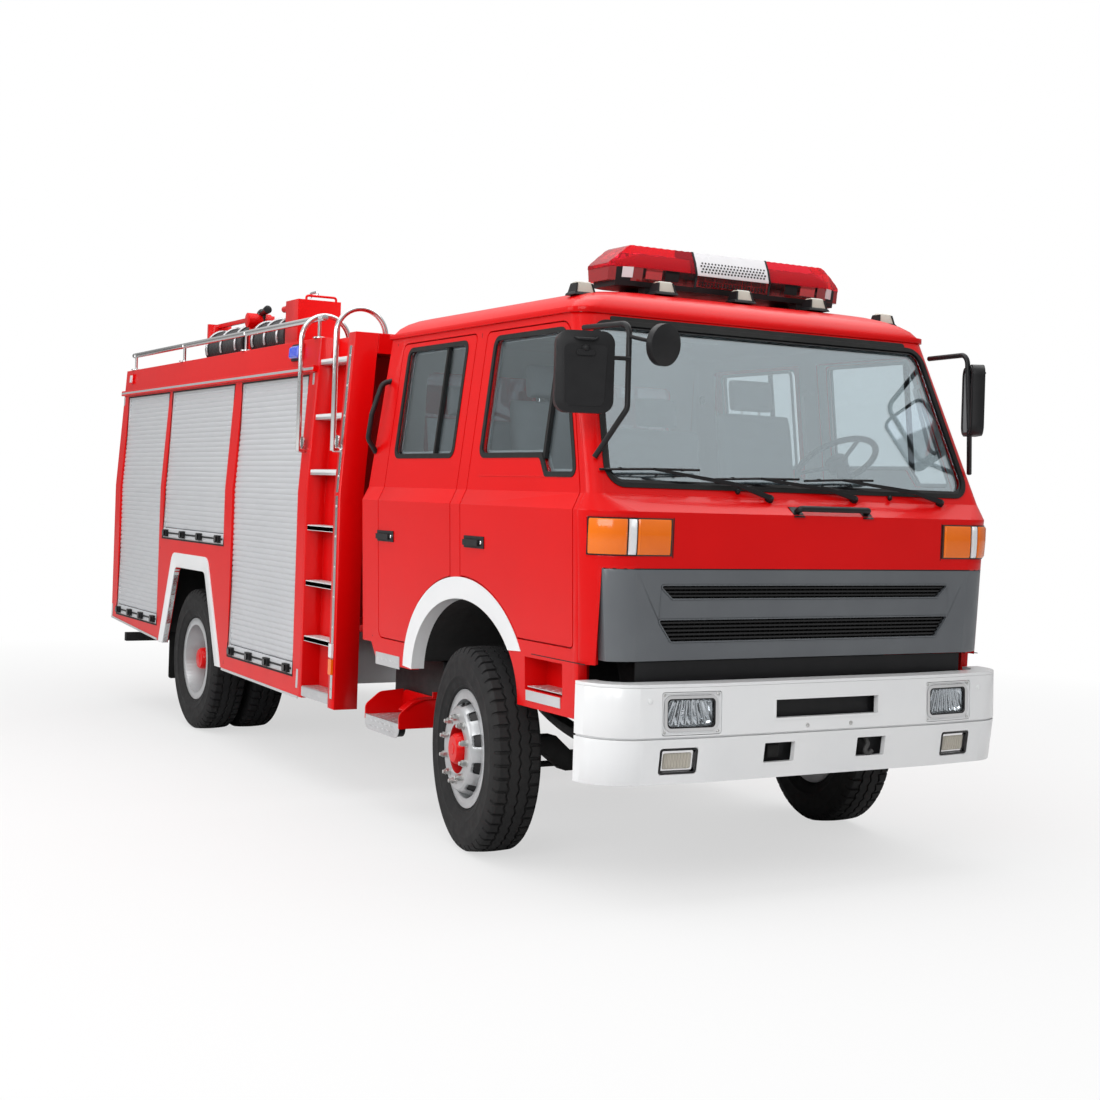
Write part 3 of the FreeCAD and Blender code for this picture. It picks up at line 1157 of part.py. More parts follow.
def mirror(side, angle, outboard, has_round_mirror):
    """Door mirror: a bent tube loop on the pillar, the mirror head and, on one side, a small round mirror."""
    x, y = FRONT_AXLE + MIRROR_LOOP_X, MIRROR_LOOP_Y
    pillar_top = (FRONT_AXLE + WINDSCREEN_HEAD + 35, CAB_HALF_WIDTH - TUMBLEHOME - 8, CAB_EAVE_Z - 80)
    pillar_low = (FRONT_AXLE + WINDSCREEN_FOOT - 60, CAB_HALF_WIDTH - SHOULDER_STEP - 38, SHOULDER_Z + 160)
    loop = tube_path([pillar_top, (x - 20, y + 10, 2560), (x, y + 20, 2180), pillar_low], 50.0, 13.0)
    head_z = 2330.0
    head_x, head_y = x - 40, y + 60 + outboard
    face = [(-MIRROR_WIDTH / 2, -MIRROR_HEIGHT / 2), (MIRROR_WIDTH / 2, -MIRROR_HEIGHT / 2),
            (MIRROR_WIDTH / 2, MIRROR_HEIGHT / 2), (-MIRROR_WIDTH / 2, MIRROR_HEIGHT / 2)]
    head = prism("YZ", face, -MIRROR_DEPTH / 2, MIRROR_DEPTH / 2, 55.0)
    head.rotate(Vector(0, 0, 0), Vector(0, 0, 1), angle)
    head.translate(Vector(head_x, head_y, head_z))
    bar = rod((x, y + 15, head_z + 70), (head_x + 10, head_y, head_z + 70), 10)
    small = Part.makeCylinder(95, 34, Vector(x + 40, y - 120, 2470), Vector(1, -0.25, -0.1))
    stalk = rod((x - 6, y + 14, 2500), (x + 46, y - 110, 2475), 9)
    whole = fuse([loop, head, bar] + ([small, stalk] if has_round_mirror else []))
    whole = whole.cut(cab_body(0))
    whole = max(whole.Solids, key=lambda solid: solid.Volume)
    return whole if side > 0 else mirrored(whole)


# ---------- body ----------

def body_half_width(z):
    """Half width of the body's side at a height: upright below the fold, leaning in above it."""
    above = max(0.0, z - BODY_FOLD_Z)
    return BODY_HALF_WIDTH - BODY_LEAN * above / (BODY_TOP - BODY_FOLD_Z)


def side_slab(x0, x1, low, high, inset, thickness):
    """A sheet that follows the left side's fold, inset from its face."""
    heights = [low] + [z for z in (BODY_FOLD_Z,) if low < z < high] + [high]
    outer = [(body_half_width(z) - inset, z) for z in heights]
    inner = [(y - thickness, z) for y, z in reversed(outer)]
    return prism("YZ", outer + inner, x0, x1)


BODY_REAR_X = REAR_AXLE - REAR_OVERHANG
BODY_FRONT_X = REAR_AXLE + BODY_FRONT
BAY_REAR_X = REAR_AXLE + BAY_REAR
HOUSING_REAR_X = REAR_AXLE + REAR_ARCH_REAR_FOOT - FLOOR_PLATE
HOUSING_FRONT_X = REAR_AXLE + REAR_ARCH_FRONT_FOOT + FLOOR_PLATE


def lower_edge():
    """Everything under the body side's lower edge, with the rear wheel arch, as a tool to cut with."""
    x = REAR_AXLE
    rear_foot = (x + REAR_ARCH_REAR_FOOT, ARCH_REAR_FOOT_Z)
    front_foot = (x + REAR_ARCH_FRONT_FOOT, ARCH_FRONT_FOOT_Z)
    points = [(BODY_REAR_X - 50, REAR_CORNER_Z + 3), rear_foot, (x + REAR_ARCH_REAR_TOP, REAR_ARCH_TOP, 70.0),
              (x + REAR_ARCH_FRONT_TOP, REAR_ARCH_TOP, 110.0), front_foot, (BODY_FRONT_X + 50, FRONT_CORNER_Z - 1),
              (BODY_FRONT_X + 50, 300), (BODY_REAR_X - 50, 300)]
    return prism("XZ", points, -BIG, BIG)


def locker_hole(locker, grow=0.0):
    rear, front, sill = locker
    return block(REAR_AXLE + rear - grow, REAR_AXLE + front + grow, 0, BIG, sill - grow, LOCKER_TOP + grow)


LOCKERS = (REAR_LOCKER, ARCH_LOCKER, FRONT_LOCKER)


def body_side():
    """Left side wall with its locker openings and gutter."""
    wall = side_slab(BODY_REAR_X, BAY_REAR_X, 450, BODY_TOP, 0, BODY_WALL)
    wall = cut(wall, [locker_hole(locker) for locker in LOCKERS])
    gutter = side_slab(BODY_REAR_X, BAY_REAR_X, GUTTER_Z, GUTTER_Z + GUTTER_HEIGHT, -GUTTER_PROUD, GUTTER_PROUD + 4)
    return fuse([wall, gutter]).cut(lower_edge())


def ladder_frame():
    """Left front post with the recessed panel behind the boarding ladder, ahead of the side wall."""
    start = BAY_REAR_X + FIT
    back = side_slab(start, BODY_FRONT_X, 450, BODY_TOP, LADDER_DEPTH, LADDER_BACK)
    closing = side_slab(start, start + LADDER_CLOSING, 450, BODY_TOP, 0, LADDER_DEPTH + LADDER_BACK)
    post = side_slab(BODY_FRONT_X - BAY_POST, BODY_FRONT_X, 450, BODY_TOP, 0, LADDER_DEPTH + LADDER_BACK)
    return fuse([back, closing, post]).cut(lower_edge())


def ladder_treads():
    """Treads of one boarding ladder, between the front post and the body."""
    x0, x1 = BAY_REAR_X + LADDER_CLOSING + 2 * FIT, BODY_FRONT_X - BAY_POST - FIT
    treads = []
    for i in range(TREADS):
        z = TREAD_TOP_Z - i * TREAD_PITCH
        treads.append(side_slab(x0, x1, z - TREAD_THICKNESS, z, 6, LADDER_DEPTH - 6 - FIT))
    treads.append(side_slab(x0, x1, STEP_BOX_Z, STEP_BOX_Z + 60, 2, LADDER_DEPTH - 2 - FIT))
    return treads


def shutters():
    """The rolled-down shutters of the lockers, three each side and one at the rear."""
    solids = []
    for rear, front, sill in LOCKERS:
        slab = side_slab(REAR_AXLE + rear + FIT, REAR_AXLE + front - FIT, sill + FIT, LOCKER_TOP - FIT, SHUTTER_RECESS,
                         SHUTTER)
        solids += both_sides(slab)
    half = REAR_SHUTTER_HALF_WIDTH - FIT
    x = BODY_REAR_X + SHUTTER_RECESS
    solids.append(block(x, x + SHUTTER, -half, half, REAR_SHUTTER_SILL + FIT, LOCKER_TOP - FIT))
    return Part.makeCompound(solids)


def body_section(inset):
    """The body's cross-section within its side walls, as a full-length prism."""
    half_low = BODY_HALF_WIDTH - inset
    half_top = BODY_HALF_WIDTH - BODY_LEAN - inset
    points = [(-half_low, 300), (half_low, 300), (half_low, BODY_FOLD_Z), (half_top, BODY_TOP), (-half_top, BODY_TOP),
              (-half_low, BODY_FOLD_Z)]
    return prism("YZ", points, -BIG, BIG)


def body_rear_wall():
    """Rear wall with the pump shutter's opening."""
    inside = body_section(BODY_WALL + FIT)
    wall = block(BODY_REAR_X, BODY_REAR_X + BODY_WALL, -BIG / 2, BIG / 2, REAR_CORNER_Z, BODY_TOP).common(inside)
    hole = block(BODY_REAR_X - 10, BODY_REAR_X + 100, -REAR_SHUTTER_HALF_WIDTH, REAR_SHUTTER_HALF_WIDTH,
                 REAR_SHUTTER_SILL, LOCKER_TOP)
    return wall.cut(hole)


def body_bulkhead():
    """Front wall of the body, at the back of the bay."""
    low, high = BODY_DECK_Z + FIT, ROOF_DECK_TOP - ROOF_PLATE - FIT
    wall = block(BAY_REAR_X - BODY_WALL, BAY_REAR_X, -BIG / 2, BIG / 2, low, high)
    return wall.common(body_section(BODY_WALL + FIT))


def body_roof():
    """Roof deck, set below the tops of the side walls, with a header over the front bay."""
    low = ROOF_DECK_TOP - ROOF_PLATE
    bay_start = BAY_REAR_X
    deck = block(BODY_REAR_X + BODY_WALL + FIT, bay_start, -BIG / 2, BIG / 2, low, ROOF_DECK_TOP)
    bay = block(bay_start, BODY_FRONT_X, -BIG / 2, BIG / 2, low, ROOF_DECK_TOP)
    header = block(BODY_FRONT_X - 30, BODY_FRONT_X, -BIG / 2, BIG / 2, low - 30, BODY_TOP)
    narrow = body_section(LADDER_DEPTH + LADDER_BACK + FIT)
    return fuse([deck.common(body_section(BODY_WALL + FIT)), bay.common(narrow), header.common(narrow)])


def body_floor():
    """Deck over the frame, from the rear wall to the front of the bay."""
    low = BODY_DECK_Z - BODY_DECK_PLATE
    x0, x1 = BODY_REAR_X + BODY_WALL + FIT, BAY_REAR_X
    bay_y = BODY_HALF_WIDTH - LADDER_DEPTH - LADDER_BACK - FIT
    deck = block(x0, x1, -BODY_SKIRT_Y, BODY_SKIRT_Y, low, BODY_DECK_Z)
    return fuse([deck, block(x1, BODY_FRONT_X - FIT, -bay_y, bay_y, low, BODY_DECK_Z)])


def locker_floor(start, end, sill):
    """Floor of one left locker below the deck, with its inner wall and the wall at its end."""
    inner_y = BODY_SKIRT_Y + FIT
    outer_y = BODY_HALF_WIDTH - BODY_WALL - FIT
    plate = FLOOR_PLATE
    return fuse([block(start, end, inner_y, outer_y, sill, sill + plate),
                 block(start, end, inner_y, inner_y + plate, sill, BODY_DECK_Z),
                 block(end - plate, end, inner_y, outer_y, sill, BODY_DECK_Z)])


def locker_floors():
    front_end = BAY_REAR_X - FIT
    rear = locker_floor(BODY_REAR_X + BODY_WALL + FIT, HOUSING_REAR_X - FIT, REAR_CORNER_Z + 6)
    front = locker_floor(HOUSING_FRONT_X + FIT, front_end, ARCH_FRONT_FOOT_Z + 45)
    return Part.makeCompound(both_sides(rear) + both_sides(front))


def rear_wheel_housing():
    """The left rear wheels' housing: two walls, a roof and an inner skirt."""
    inner_y = BODY_SKIRT_Y + FIT
    outer_y = BODY_HALF_WIDTH - BODY_WALL - FIT
    plate = FLOOR_PLATE
    rear, front = HOUSING_REAR_X, HOUSING_FRONT_X
    top = REAR_ARCH_TOP + HOUSING_RISE
    return fuse([block(rear, rear + plate, inner_y, outer_y, REAR_CORNER_Z + 6, top),
                 block(front - plate, front, inner_y, outer_y, ARCH_FRONT_FOOT_Z + 45, top),
                 block(rear, front, inner_y, outer_y, top, top + plate),
                 block(rear, front, inner_y, inner_y + plate, BODY_DECK_Z - BODY_DECK_PLATE, top)])


def rear_bumper():
    """Low bar behind the rear wheels, on two arms from the frame."""
    x = BODY_REAR_X
    bar = block(x + 30, x + 90, -1130, 1130, 460, 530)
    arm = block(x + 88, x + 250, RAIL_Y - 60, RAIL_Y - 10, 470, RAIL_TOP - RAIL_HEIGHT)
    return fuse([bar] + both_sides(arm))


def handrails():
    """Roof rails on stanchions, and the tubular hoops over the boarding ladders."""
    solids = []
    y = body_half_width(BODY_TOP) - BODY_WALL / 2
    x0, x1 = REAR_AXLE - 1880, BAY_REAR_X + 20
    parts = [rod((x0, y, RAIL_Z), (x1, y, RAIL_Z), TUBE_RADIUS + 4)]
    for x in (x0 + 60, REAR_AXLE - 500, REAR_AXLE + 900, x1 - 90):
        parts.append(rod((x, y, BODY_TOP), (x, y, RAIL_Z), 11))
    solids += both_sides(fuse(parts))
    outer = BODY_HALF_WIDTH + TUBE_RADIUS + 16
    for x in (BAY_REAR_X - 60, BODY_FRONT_X - 60):
        centre_y = outer - HOOP_RADIUS
        foot = rod((x, BODY_HALF_WIDTH - 20, HOOP_FOOT_Z), (x, outer, HOOP_FOOT_Z), TUBE_RADIUS)
        upright = rod((x, outer, HOOP_FOOT_Z - 8), (x, outer, HOOP_CENTRE_Z), TUBE_RADIUS)
        arc = Part.Arc(Vector(x, outer, HOOP_CENTRE_Z), Vector(x, centre_y, HOOP_CENTRE_Z + HOOP_RADIUS),
                       Vector(x, outer - 2 * HOOP_RADIUS, HOOP_CENTRE_Z)).toShape()
        ring = Part.Wire(Part.makeCircle(TUBE_RADIUS, Vector(x, outer, HOOP_CENTRE_Z), Vector(0, 0, 1)))
        bow = Part.Wire([arc]).makePipeShell([ring], True, False)
        leg = rod((x, outer - 2 * HOOP_RADIUS, ROOF_DECK_TOP), (x, outer - 2 * HOOP_RADIUS, HOOP_CENTRE_Z), TUBE_RADIUS)
        hoop = fuse([foot, upright, bow, leg])
        hoop = hoop.cut(side_slab(-BIG, BIG, 400, BODY_TOP, 0, LADDER_DEPTH))
        gutter = side_slab(BODY_REAR_X, BAY_REAR_X, GUTTER_Z, GUTTER_Z + GUTTER_HEIGHT, -GUTTER_PROUD, GUTTER_PROUD + 4)
        solids += both_sides(hoop.cut(gutter))
    return Part.makeCompound(solids)


def hose_rack():
    """Red rack on the right of the roof: end plates, posts, top bars and the tall box at its front."""
    x0, x1 = REAR_AXLE + RACK_REAR, REAR_AXLE + RACK_FRONT
    y0, y1 = -RACK_Y - 150, -RACK_Y + 150
    z = ROOF_DECK_TOP
    base = block(x0, x1 + 240, y0, y1, z, z + 30)
    pieces = [base]
    for x in (x0, x0 + 960):
        pieces.append(block(x, x + 30, y0 + 60, y1 - 60, z, z + 370))
    pieces.append(block(x0, x0 + 960, -RACK_Y - 12, -RACK_Y + 12, z + 345, z + 375))
    pieces.append(rod((x0 + 975, -RACK_Y - 110, z + 330), (x0 + 975, -RACK_Y + 60, z + 330), 52))
    pieces.append(block(x1, x1 + 230, y0, y1, z, z + 385))
    handle = tube_path([(x1 + 190, y0 + 70, z + 380), (x1 + 190, y0 + 70, z + 415), (x1 + 190, y1 - 20, z + 415),
                        (x1 + 190, y1 - 20, z + 380)], 16.0, 8.0)
    pieces.append(handle)
    pieces.append(rod((x1 + 10, -RACK_Y - 90, z + 340), (x1 - 60, -RACK_Y - 90, z + 340), 46))
    pieces.append(rod((x1 - 50, -RACK_Y - 90, z + 350), (x1 - 190, -RACK_Y - 90, z + 350), 22))
    return fuse(pieces)


def hose_rolls():
    """Two covered rolls of hose lying in the rack."""
    x0 = REAR_AXLE + RACK_REAR
    z = ROOF_DECK_TOP + 30 + ROLL_RADIUS + ROLL_CLEARANCE
    rolls = []
    for start, end in ((x0 + 60, x0 + 905), (x0 + 1080, x0 + 1080 + 700)):
        roll = Part.makeCylinder(ROLL_RADIUS, end - start, Vector(start, -RACK_Y, z), Vector(1, 0, 0))
        rolls.append(roll)
    return Part.makeCompound(rolls)


# ---------- writing ----------

def write(name, shape):
    if shape.ShapeType == "Compound":
        solids = shape.Solids
        shape = solids[0] if len(solids) == 1 else Part.makeCompound(solids)
    for solid in shape.Solids:
        if not solid.isValid():
            print("INVALID", name)
    print(f"{name:24s} solids {len(shape.Solids):2d}  volume {shape.Volume / 1e6:10.2f} dm3  "
          f"faces {len(shape.Faces)}")
    shape.exportStep(f"parts/{name}.step")


def write_wheels():
    for side, name in ((-1, "right"), (1, "left")):
        pivot = (FRONT_AXLE, side * KINGPIN_Y)
        rubber, metal = front_wheel(side)
        write(f"tyre_front_{name}", pivoted(rubber, pivot, STEER_AT_REST))
        write(f"wheel_front_{name}", pivoted(metal, pivot, STEER_AT_REST))
        write(f"knuckle_{name}", pivoted(knuckle(side), pivot, STEER_AT_REST))
        rubber, metal = rear_wheels(side)
        write(f"tyres_rear_{name}", rubber)
        write(f"wheels_rear_{name}", metal)
    steer = math.radians(STEER_AT_REST)
    rod_shape = tie_rod()
    rod_shape.translate(Vector(STEERING_ARM * (1 - math.cos(steer)), -STEERING_ARM * math.sin(steer), 0))
    write("tie_rod", rod_shape)


def write_chassis():
    write("frame_rails", frame_rails())
    write("front_axle", front_axle())
    write("rear_axle", rear_axle())
    write("leaf_springs", leaf_springs())
    write("propeller_shaft", propeller_shaft())
    write("engine_block", engine_block())
    write("fuel_tank", fuel_tank())
    write("battery_box", battery_box())
    write("access_steps", Part.makeCompound([access_step(-1), access_step(1)]))
    write("front_bumper", front_bumper())
    write("rear_bumper", rear_bumper())


def write_cab():
    wall = cab_skin(0, CAB_WALL)
    rebate = cab_skin(0, DOOR_REBATE)
    skin = cab_skin(0, DOOR_SKIN)
    core = cab_skin(DOOR_SKIN, CAB_WALL - 2)
    pane = cab_skin(18, 18 + GLASS)
    write("cab_roof", cab_roof())
    write("cab_front_panel", cab_front_panel(wall))
    write("grille_panel", grille_panel(wall))
    write("cab_rear_wall", cab_rear_wall(wall))
    write("cab_glass", cab_glass(pane))
    write("front_lamps", front_lamps(wall))
    write("cab_sides", Part.makeCompound([cab_side(side, wall, rebate) for side in (-1, 1)]))
    for side, name in ((-1, "right"), (1, "left")):
        for which in ("front", "rear"):
            write(f"{which}_door_{name}", cab_door(which, side, (skin, core)))
            write(f"{which}_door_glass_{name}", door_glass(which, side, pane))
    write("cab_floor", cab_floor())
    write("front_wheel_housings", Part.makeCompound(both_sides(wheel_housing())))
    write("step_wells", Part.makeCompound(both_sides(step_well())))
    write("dashboard", dashboard())
    write("steering_wheel", steering_wheel())
    write("seats", seats())
    write("light_bar", light_bar())
    write("marker_lamps", marker_lamps())
    write("mirrors", Part.makeCompound([mirror(-1, 20.0, 165.0, True), mirror(1, 58.0, 20.0, False)]))


def write_body():
    write("body_sides", Part.makeCompound(both_sides(body_side())))
    write("ladder_frames", Part.makeCompound(both_sides(ladder_frame())))
    treads = ladder_treads()
    write("ladder_treads", Part.makeCompound(treads + [mirrored(tread) for tread in treads]))
    write("shutters", shutters())
    write("body_rear_wall", body_rear_wall())
    write("body_bulkhead", body_bulkhead())
    write("body_roof", body_roof())
    write("body_floor", body_floor())
    write("locker_floors", locker_floors())
    write("rear_wheel_housings", Part.makeCompound(both_sides(rear_wheel_housing())))
    write("handrails", handrails())
    write("hose_rack", hose_rack())
    write("hose_rolls", hose_rolls())


os.makedirs("parts", exist_ok=True)
write_wheels()
write_chassis()
write_cab()
write_body()
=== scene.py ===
"""Fire truck: finish, fittings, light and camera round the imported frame. Metres, in the frame's own axes."""
import math
import bmesh
import bpy
from mathutils import Matrix, Vector

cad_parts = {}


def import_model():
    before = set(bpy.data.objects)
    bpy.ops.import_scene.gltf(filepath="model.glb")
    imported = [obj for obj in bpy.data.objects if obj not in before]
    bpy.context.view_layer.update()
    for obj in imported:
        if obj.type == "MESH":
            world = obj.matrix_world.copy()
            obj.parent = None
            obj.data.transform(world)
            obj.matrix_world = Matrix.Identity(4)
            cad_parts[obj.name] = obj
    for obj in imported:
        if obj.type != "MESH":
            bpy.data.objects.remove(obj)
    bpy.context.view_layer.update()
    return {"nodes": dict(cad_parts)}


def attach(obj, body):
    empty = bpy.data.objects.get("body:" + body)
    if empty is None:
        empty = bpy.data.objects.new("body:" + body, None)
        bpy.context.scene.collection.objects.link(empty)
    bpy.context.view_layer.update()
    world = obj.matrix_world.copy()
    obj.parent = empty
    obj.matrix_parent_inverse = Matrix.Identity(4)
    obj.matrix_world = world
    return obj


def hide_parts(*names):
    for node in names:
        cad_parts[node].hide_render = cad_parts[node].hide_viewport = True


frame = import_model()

# ---- places that the model's pieces share ----
FRONT_AXLE = 2.582
REAR_AXLE = -1.918
TYRE_RADIUS = 0.509
KINGPIN_Y = 0.960
KINGPIN_OFFSET = 0.118
STEER = math.radians(-7.5)
DUAL_MID_Y = 0.901
DUAL_HALF = 0.146
BODY_REAR = -3.938
BODY_FRONT = 0.962
BAY_REAR = 0.402
BODY_TOP = 2.700
TRUCK_FRONT = 3.938
BELT_CORNER = 0.205              # radius of the cab's front corners, up to the belt
BUMPER_HALF = 1.198
BUMPER_FLAT = 0.659              # half width of the bumper's straight middle
BUMPER_BOW = 0.045
BAR_X = FRONT_AXLE + 0.345
BAR_HALF = 0.718
SIDES = ((-1, "right"), (1, "left"))
EDGE_ANGLE = 35.0                # degrees: edges sharper than this are rounded off

# ---- outer surfaces, as (height, distance) lines ----
CAB_SIDE_LINE = ((0.790, 1.160), (1.725, 1.195), (1.800, 1.160), (2.640, 1.060))
CAB_FRONT_LINE = ((0.790, 1.195), (1.725, 1.215), (1.800, 1.110), (2.640, 0.765))
CAB_REAR_LINE = ((0.790, -1.420), (1.725, -1.420), (1.800, -1.414), (2.640, -1.365))
BODY_SIDE_LINE = ((0.400, 1.235), (1.750, 1.235), (2.700, 1.170))


def along(line, z):
    """The distance on a (height, distance) line at a height, carried on past its ends."""
    for (z0, d0), (z1, d1) in zip(line, line[1:]):
        if z <= z1 or (z1, d1) == line[-1]:
            return d0 + (d1 - d0) * (z - z0) / (z1 - z0)


# ---------- places to draw on: each turns (a, b, out) into a point ----------

def plane(origin, a, b, out):
    origin, a, b, out = (Vector(v) for v in (origin, a, b, out))
    return lambda u, v, w=0.0: origin + a * u + b * v + out * w


def level(z, side=1, x=0.0):
    """A level place: u runs ahead from x, v outward on the side, w up."""
    return plane((x, 0, z), (1, 0, 0), (0, side, 0), (0, 0, 1))


def upright(y, side):
    """A place that faces outward at y: u runs ahead, v up."""
    return plane((0, side * y, 0), (1, 0, 0), (0, 0, 1), (0, side, 0))


def crosswise(x, way=1, side=1, y=0.0):
    """A place that faces ahead (way 1) or back (-1) at x: u runs outward on the side from y, v up."""
    return plane((x, side * y, 0), (0, side, 0), (0, 0, 1), (way, 0, 0))


def overhead(z, x=0.0, way=1):
    """A level place that faces up (way 1) or down (-1): u runs to the left, v ahead from x."""
    return plane((x, 0, z), (0, 1, 0), (1, 0, 0), (0, 0, way))


def raised(to, lift):
    """A place moved out by lift."""
    return lambda u, v, w=0.0: to(u, v, w + lift)


def shifted(to, start):
    """A place whose u is measured from start."""
    return lambda u, v, w=0.0: to(u + start, v, w)


def cab_side(side):
    """u is the distance ahead of the front axle, v the height."""
    return lambda u, v, w=0.0: Vector((FRONT_AXLE + u, side * (along(CAB_SIDE_LINE, v) + w), v))


def cab_front():
    """u runs to the left, v is the height."""
    return lambda u, v, w=0.0: Vector((FRONT_AXLE + along(CAB_FRONT_LINE, v) + w, u, v))


def cab_wrap(side):
    """u runs from the middle of the cab's front on round its corner, v is the height, up to the belt."""
    def to(u, v, w=0.0):
        front, half = along(CAB_FRONT_LINE, v), along(CAB_SIDE_LINE, v)
        flat = half - BELT_CORNER
        turn = min(max(0.0, u - flat) / BELT_CORNER, math.pi / 2)
        over = max(0.0, u - flat - BELT_CORNER * math.pi / 2)
        reach = BELT_CORNER + w
        return Vector((FRONT_AXLE + front - BELT_CORNER + reach * math.cos(turn) - over,
                       side * (min(u, flat) + reach * math.sin(turn)), v))
    return to


def body_side(side):
    """u is the distance ahead of the rear axle, v the height."""
    return lambda u, v, w=0.0: Vector((REAR_AXLE + u, side * (along(BODY_SIDE_LINE, v) + w), v))


def body_rear():
    return lambda u, v, w=0.0: Vector((BODY_REAR - w, u, v))


def bumper_front():
    """u runs to the left, v is the height; the ends stand back from the middle."""
    def to(u, v, w=0.0):
        rake = 0.028 * (0.740 - v) / 0.210 if v < 0.740 else 0.006 * (v - 0.740) / 0.232
        bow = BUMPER_BOW * max(0.0, abs(u) - BUMPER_FLAT) / (BUMPER_HALF - BUMPER_FLAT)
        return Vector((TRUCK_FRONT - rake - bow + w, u, v))
    return to


# ---------- outlines ----------

def rounded(points, steps=5):
    """A closed outline in which each point (u, v, radius) becomes a rounded corner."""
    result = []
    count = len(points)
    for i, (u, v, r) in enumerate(points):
        here = Vector((u, v))
        if r <= 0:
            result.append(here)
            continue
        before = (Vector(points[i - 1][:2]) - here).normalized()
        after = (Vector(points[(i + 1) % count][:2]) - here).normalized()
        turn = before.angle(after)
        back = r / math.tan(turn / 2)
        centre = here + (before + after).normalized() * (r / math.sin(turn / 2))
        start, end = here + before * back - centre, here + after * back - centre
        sweep = math.atan2(start.cross(end), start.dot(end))
        for k in range(steps + 1):
            result.append(centre + Matrix.Rotation(sweep * k / steps, 2) @ start)
    return result


def inset(points, depth):
    """Corner points moved in by depth, each with its radius drawn in too."""
    area = sum(Vector(points[i - 1][:2]).cross(Vector(p[:2])) for i, p in enumerate(points))
    turn = 1 if area > 0 else -1
    result = []
    for i, (u, v, r) in enumerate(points):
        here = Vector((u, v))
        into = (here - Vector(points[i - 1][:2])).normalized()
        away = (Vector(points[(i + 1) % len(points)][:2]) - here).normalized()
        middle = Vector((-into.y - away.y, into.x + away.x)) * turn
        moved = here + middle * (depth / max(1e-6, 0.5 * middle.length_squared))
        result.append((moved.x, moved.y, max(r - depth, 0.002) if r > 0 else 0.0))
    return result


def rectangle(u0, u1, v0, v1, radius=0.0):
    return [(u0, v0, radius), (u1, v0, radius), (u1, v1, radius), (u0, v1, radius)]


def oblong(u, v, half_u, half_v, radius=0.0):
    """A rectangle given by its middle and half sizes."""
    return rectangle(u - half_u, u + half_u, v - half_v, v + half_v, radius)


# ---------- shapes: each gives (points, faces) ----------

def loft(rings, closed=False, caps=True):
    """Skins a row of equal rings. closed joins the last ring to the first."""
    size = len(rings[0])
    points = [point for ring in rings for point in ring]
    faces = []
    spans = len(rings) if closed else len(rings) - 1
    for k in range(spans):
        a, b = k * size, ((k + 1) % len(rings)) * size
        for i in range(size):
            j = (i + 1) % size
            faces.append((a + i, a + j, b + j, b + i))
    if caps and not closed:
        faces.append(tuple(range(size)))
        faces.append(tuple((len(rings) - 1) * size + i for i in range(size)))
    return points, faces


def prism(outline, low, high, to):
    """An outline pushed out from low to high on a place."""
    return loft([[to(p[0], p[1], w) for p in outline] for w in (low, high)])


def slab(u0, u1, v0, v1, low, high, to, radius=0.0, steps=5):
    """A rectangle pushed out from low to high on a place."""
    return prism(rounded(rectangle(u0, u1, v0, v1, radius), steps), low, high, to)


def pad(u, v, half_u, half_v, low, high, to, radius=0.0, steps=5):
    """A slab given by its middle and half sizes."""
    return prism(rounded(oblong(u, v, half_u, half_v, radius), steps), low, high, to)


def swept(profile, us, to):
    """A profile of (v, w) points swept along u on a place."""
    return loft([[to(u, v, w) for v, w in profile] for u in us])


def band(outer, inner, low, high, to):
    """A frame between two outlines with as many points."""
    corners = ((outer, low), (outer, high), (inner, high), (inner, low))
    return loft([[to(p[0], p[1], w) for p in line] for line, w in corners], closed=True)


def gasket(points, width, low, high, to, steps=5):
    """A frame of even width inside the given corners."""
    return band(rounded(points, steps), rounded(inset(points, width), steps), low, high, to)


def block(x0, x1, y0, y1, z0, z1):
    return slab(x0, x1, y0, y1, z0, z1, level(0.0))


def across(direction):
    """Two directions square to a direction."""
    along_it = Vector(direction).normalized()
    first = along_it.cross(Vector((0, 0, 1)) if abs(along_it.z) < 0.9 else Vector((1, 0, 0))).normalized()
    return first, along_it.cross(first)


def turned(profile, centre, axis, steps=32, closed=False, phase=0.0):
    """A profile of (distance along the axis, radius), turned about it."""
    axis = Vector(axis).normalized()
    a, b = across(axis)
    rings = []
    for w, r in profile:
        rings.append([Vector(centre) + axis * w + (a * math.cos(t) + b * math.sin(t)) * r
                      for t in (phase + 2 * math.pi * i / steps for i in range(steps))])
    return loft(rings, closed)


def disc(centre, axis, radius, low, high, steps=24):
    return turned([(low, radius), (high, radius)], centre, axis, steps)


def bent(points, bend, steps=5):
    """A path with each corner rounded."""
    points = [Vector(p) for p in points]
    path = [points[0]]
    for before, here, after in zip(points, points[1:], points[2:]):
        a, b = (before - here).normalized(), (after - here).normalized()
        turn = a.angle(b)
        back = min(bend / math.tan(turn / 2), (before - here).length * 0.49, (after - here).length * 0.49)
        for t in spread(0.0, 1.0, steps + 1):
            start, end = here + a * back, here + b * back
            path.append(start * (1 - t) ** 2 + here * 2 * t * (1 - t) + end * t ** 2)
    return path + [points[-1]]


def tube(points, radius, bend=0.0, sides=10):
    """A round bar along a path."""
    path = bent(points, bend) if bend > 0 else [Vector(p) for p in points]
    rings = []
    side = across(path[1] - path[0])[0]
    for i, here in enumerate(path):
        forward = (path[min(i + 1, len(path) - 1)] - path[max(i - 1, 0)]).normalized()
        side = (side - forward * side.dot(forward)).normalized()
        up = forward.cross(side)
        rings.append([here + (side * math.cos(t) + up * math.sin(t)) * radius
                      for t in (2 * math.pi * k / sides for k in range(sides))])
    return loft(rings)


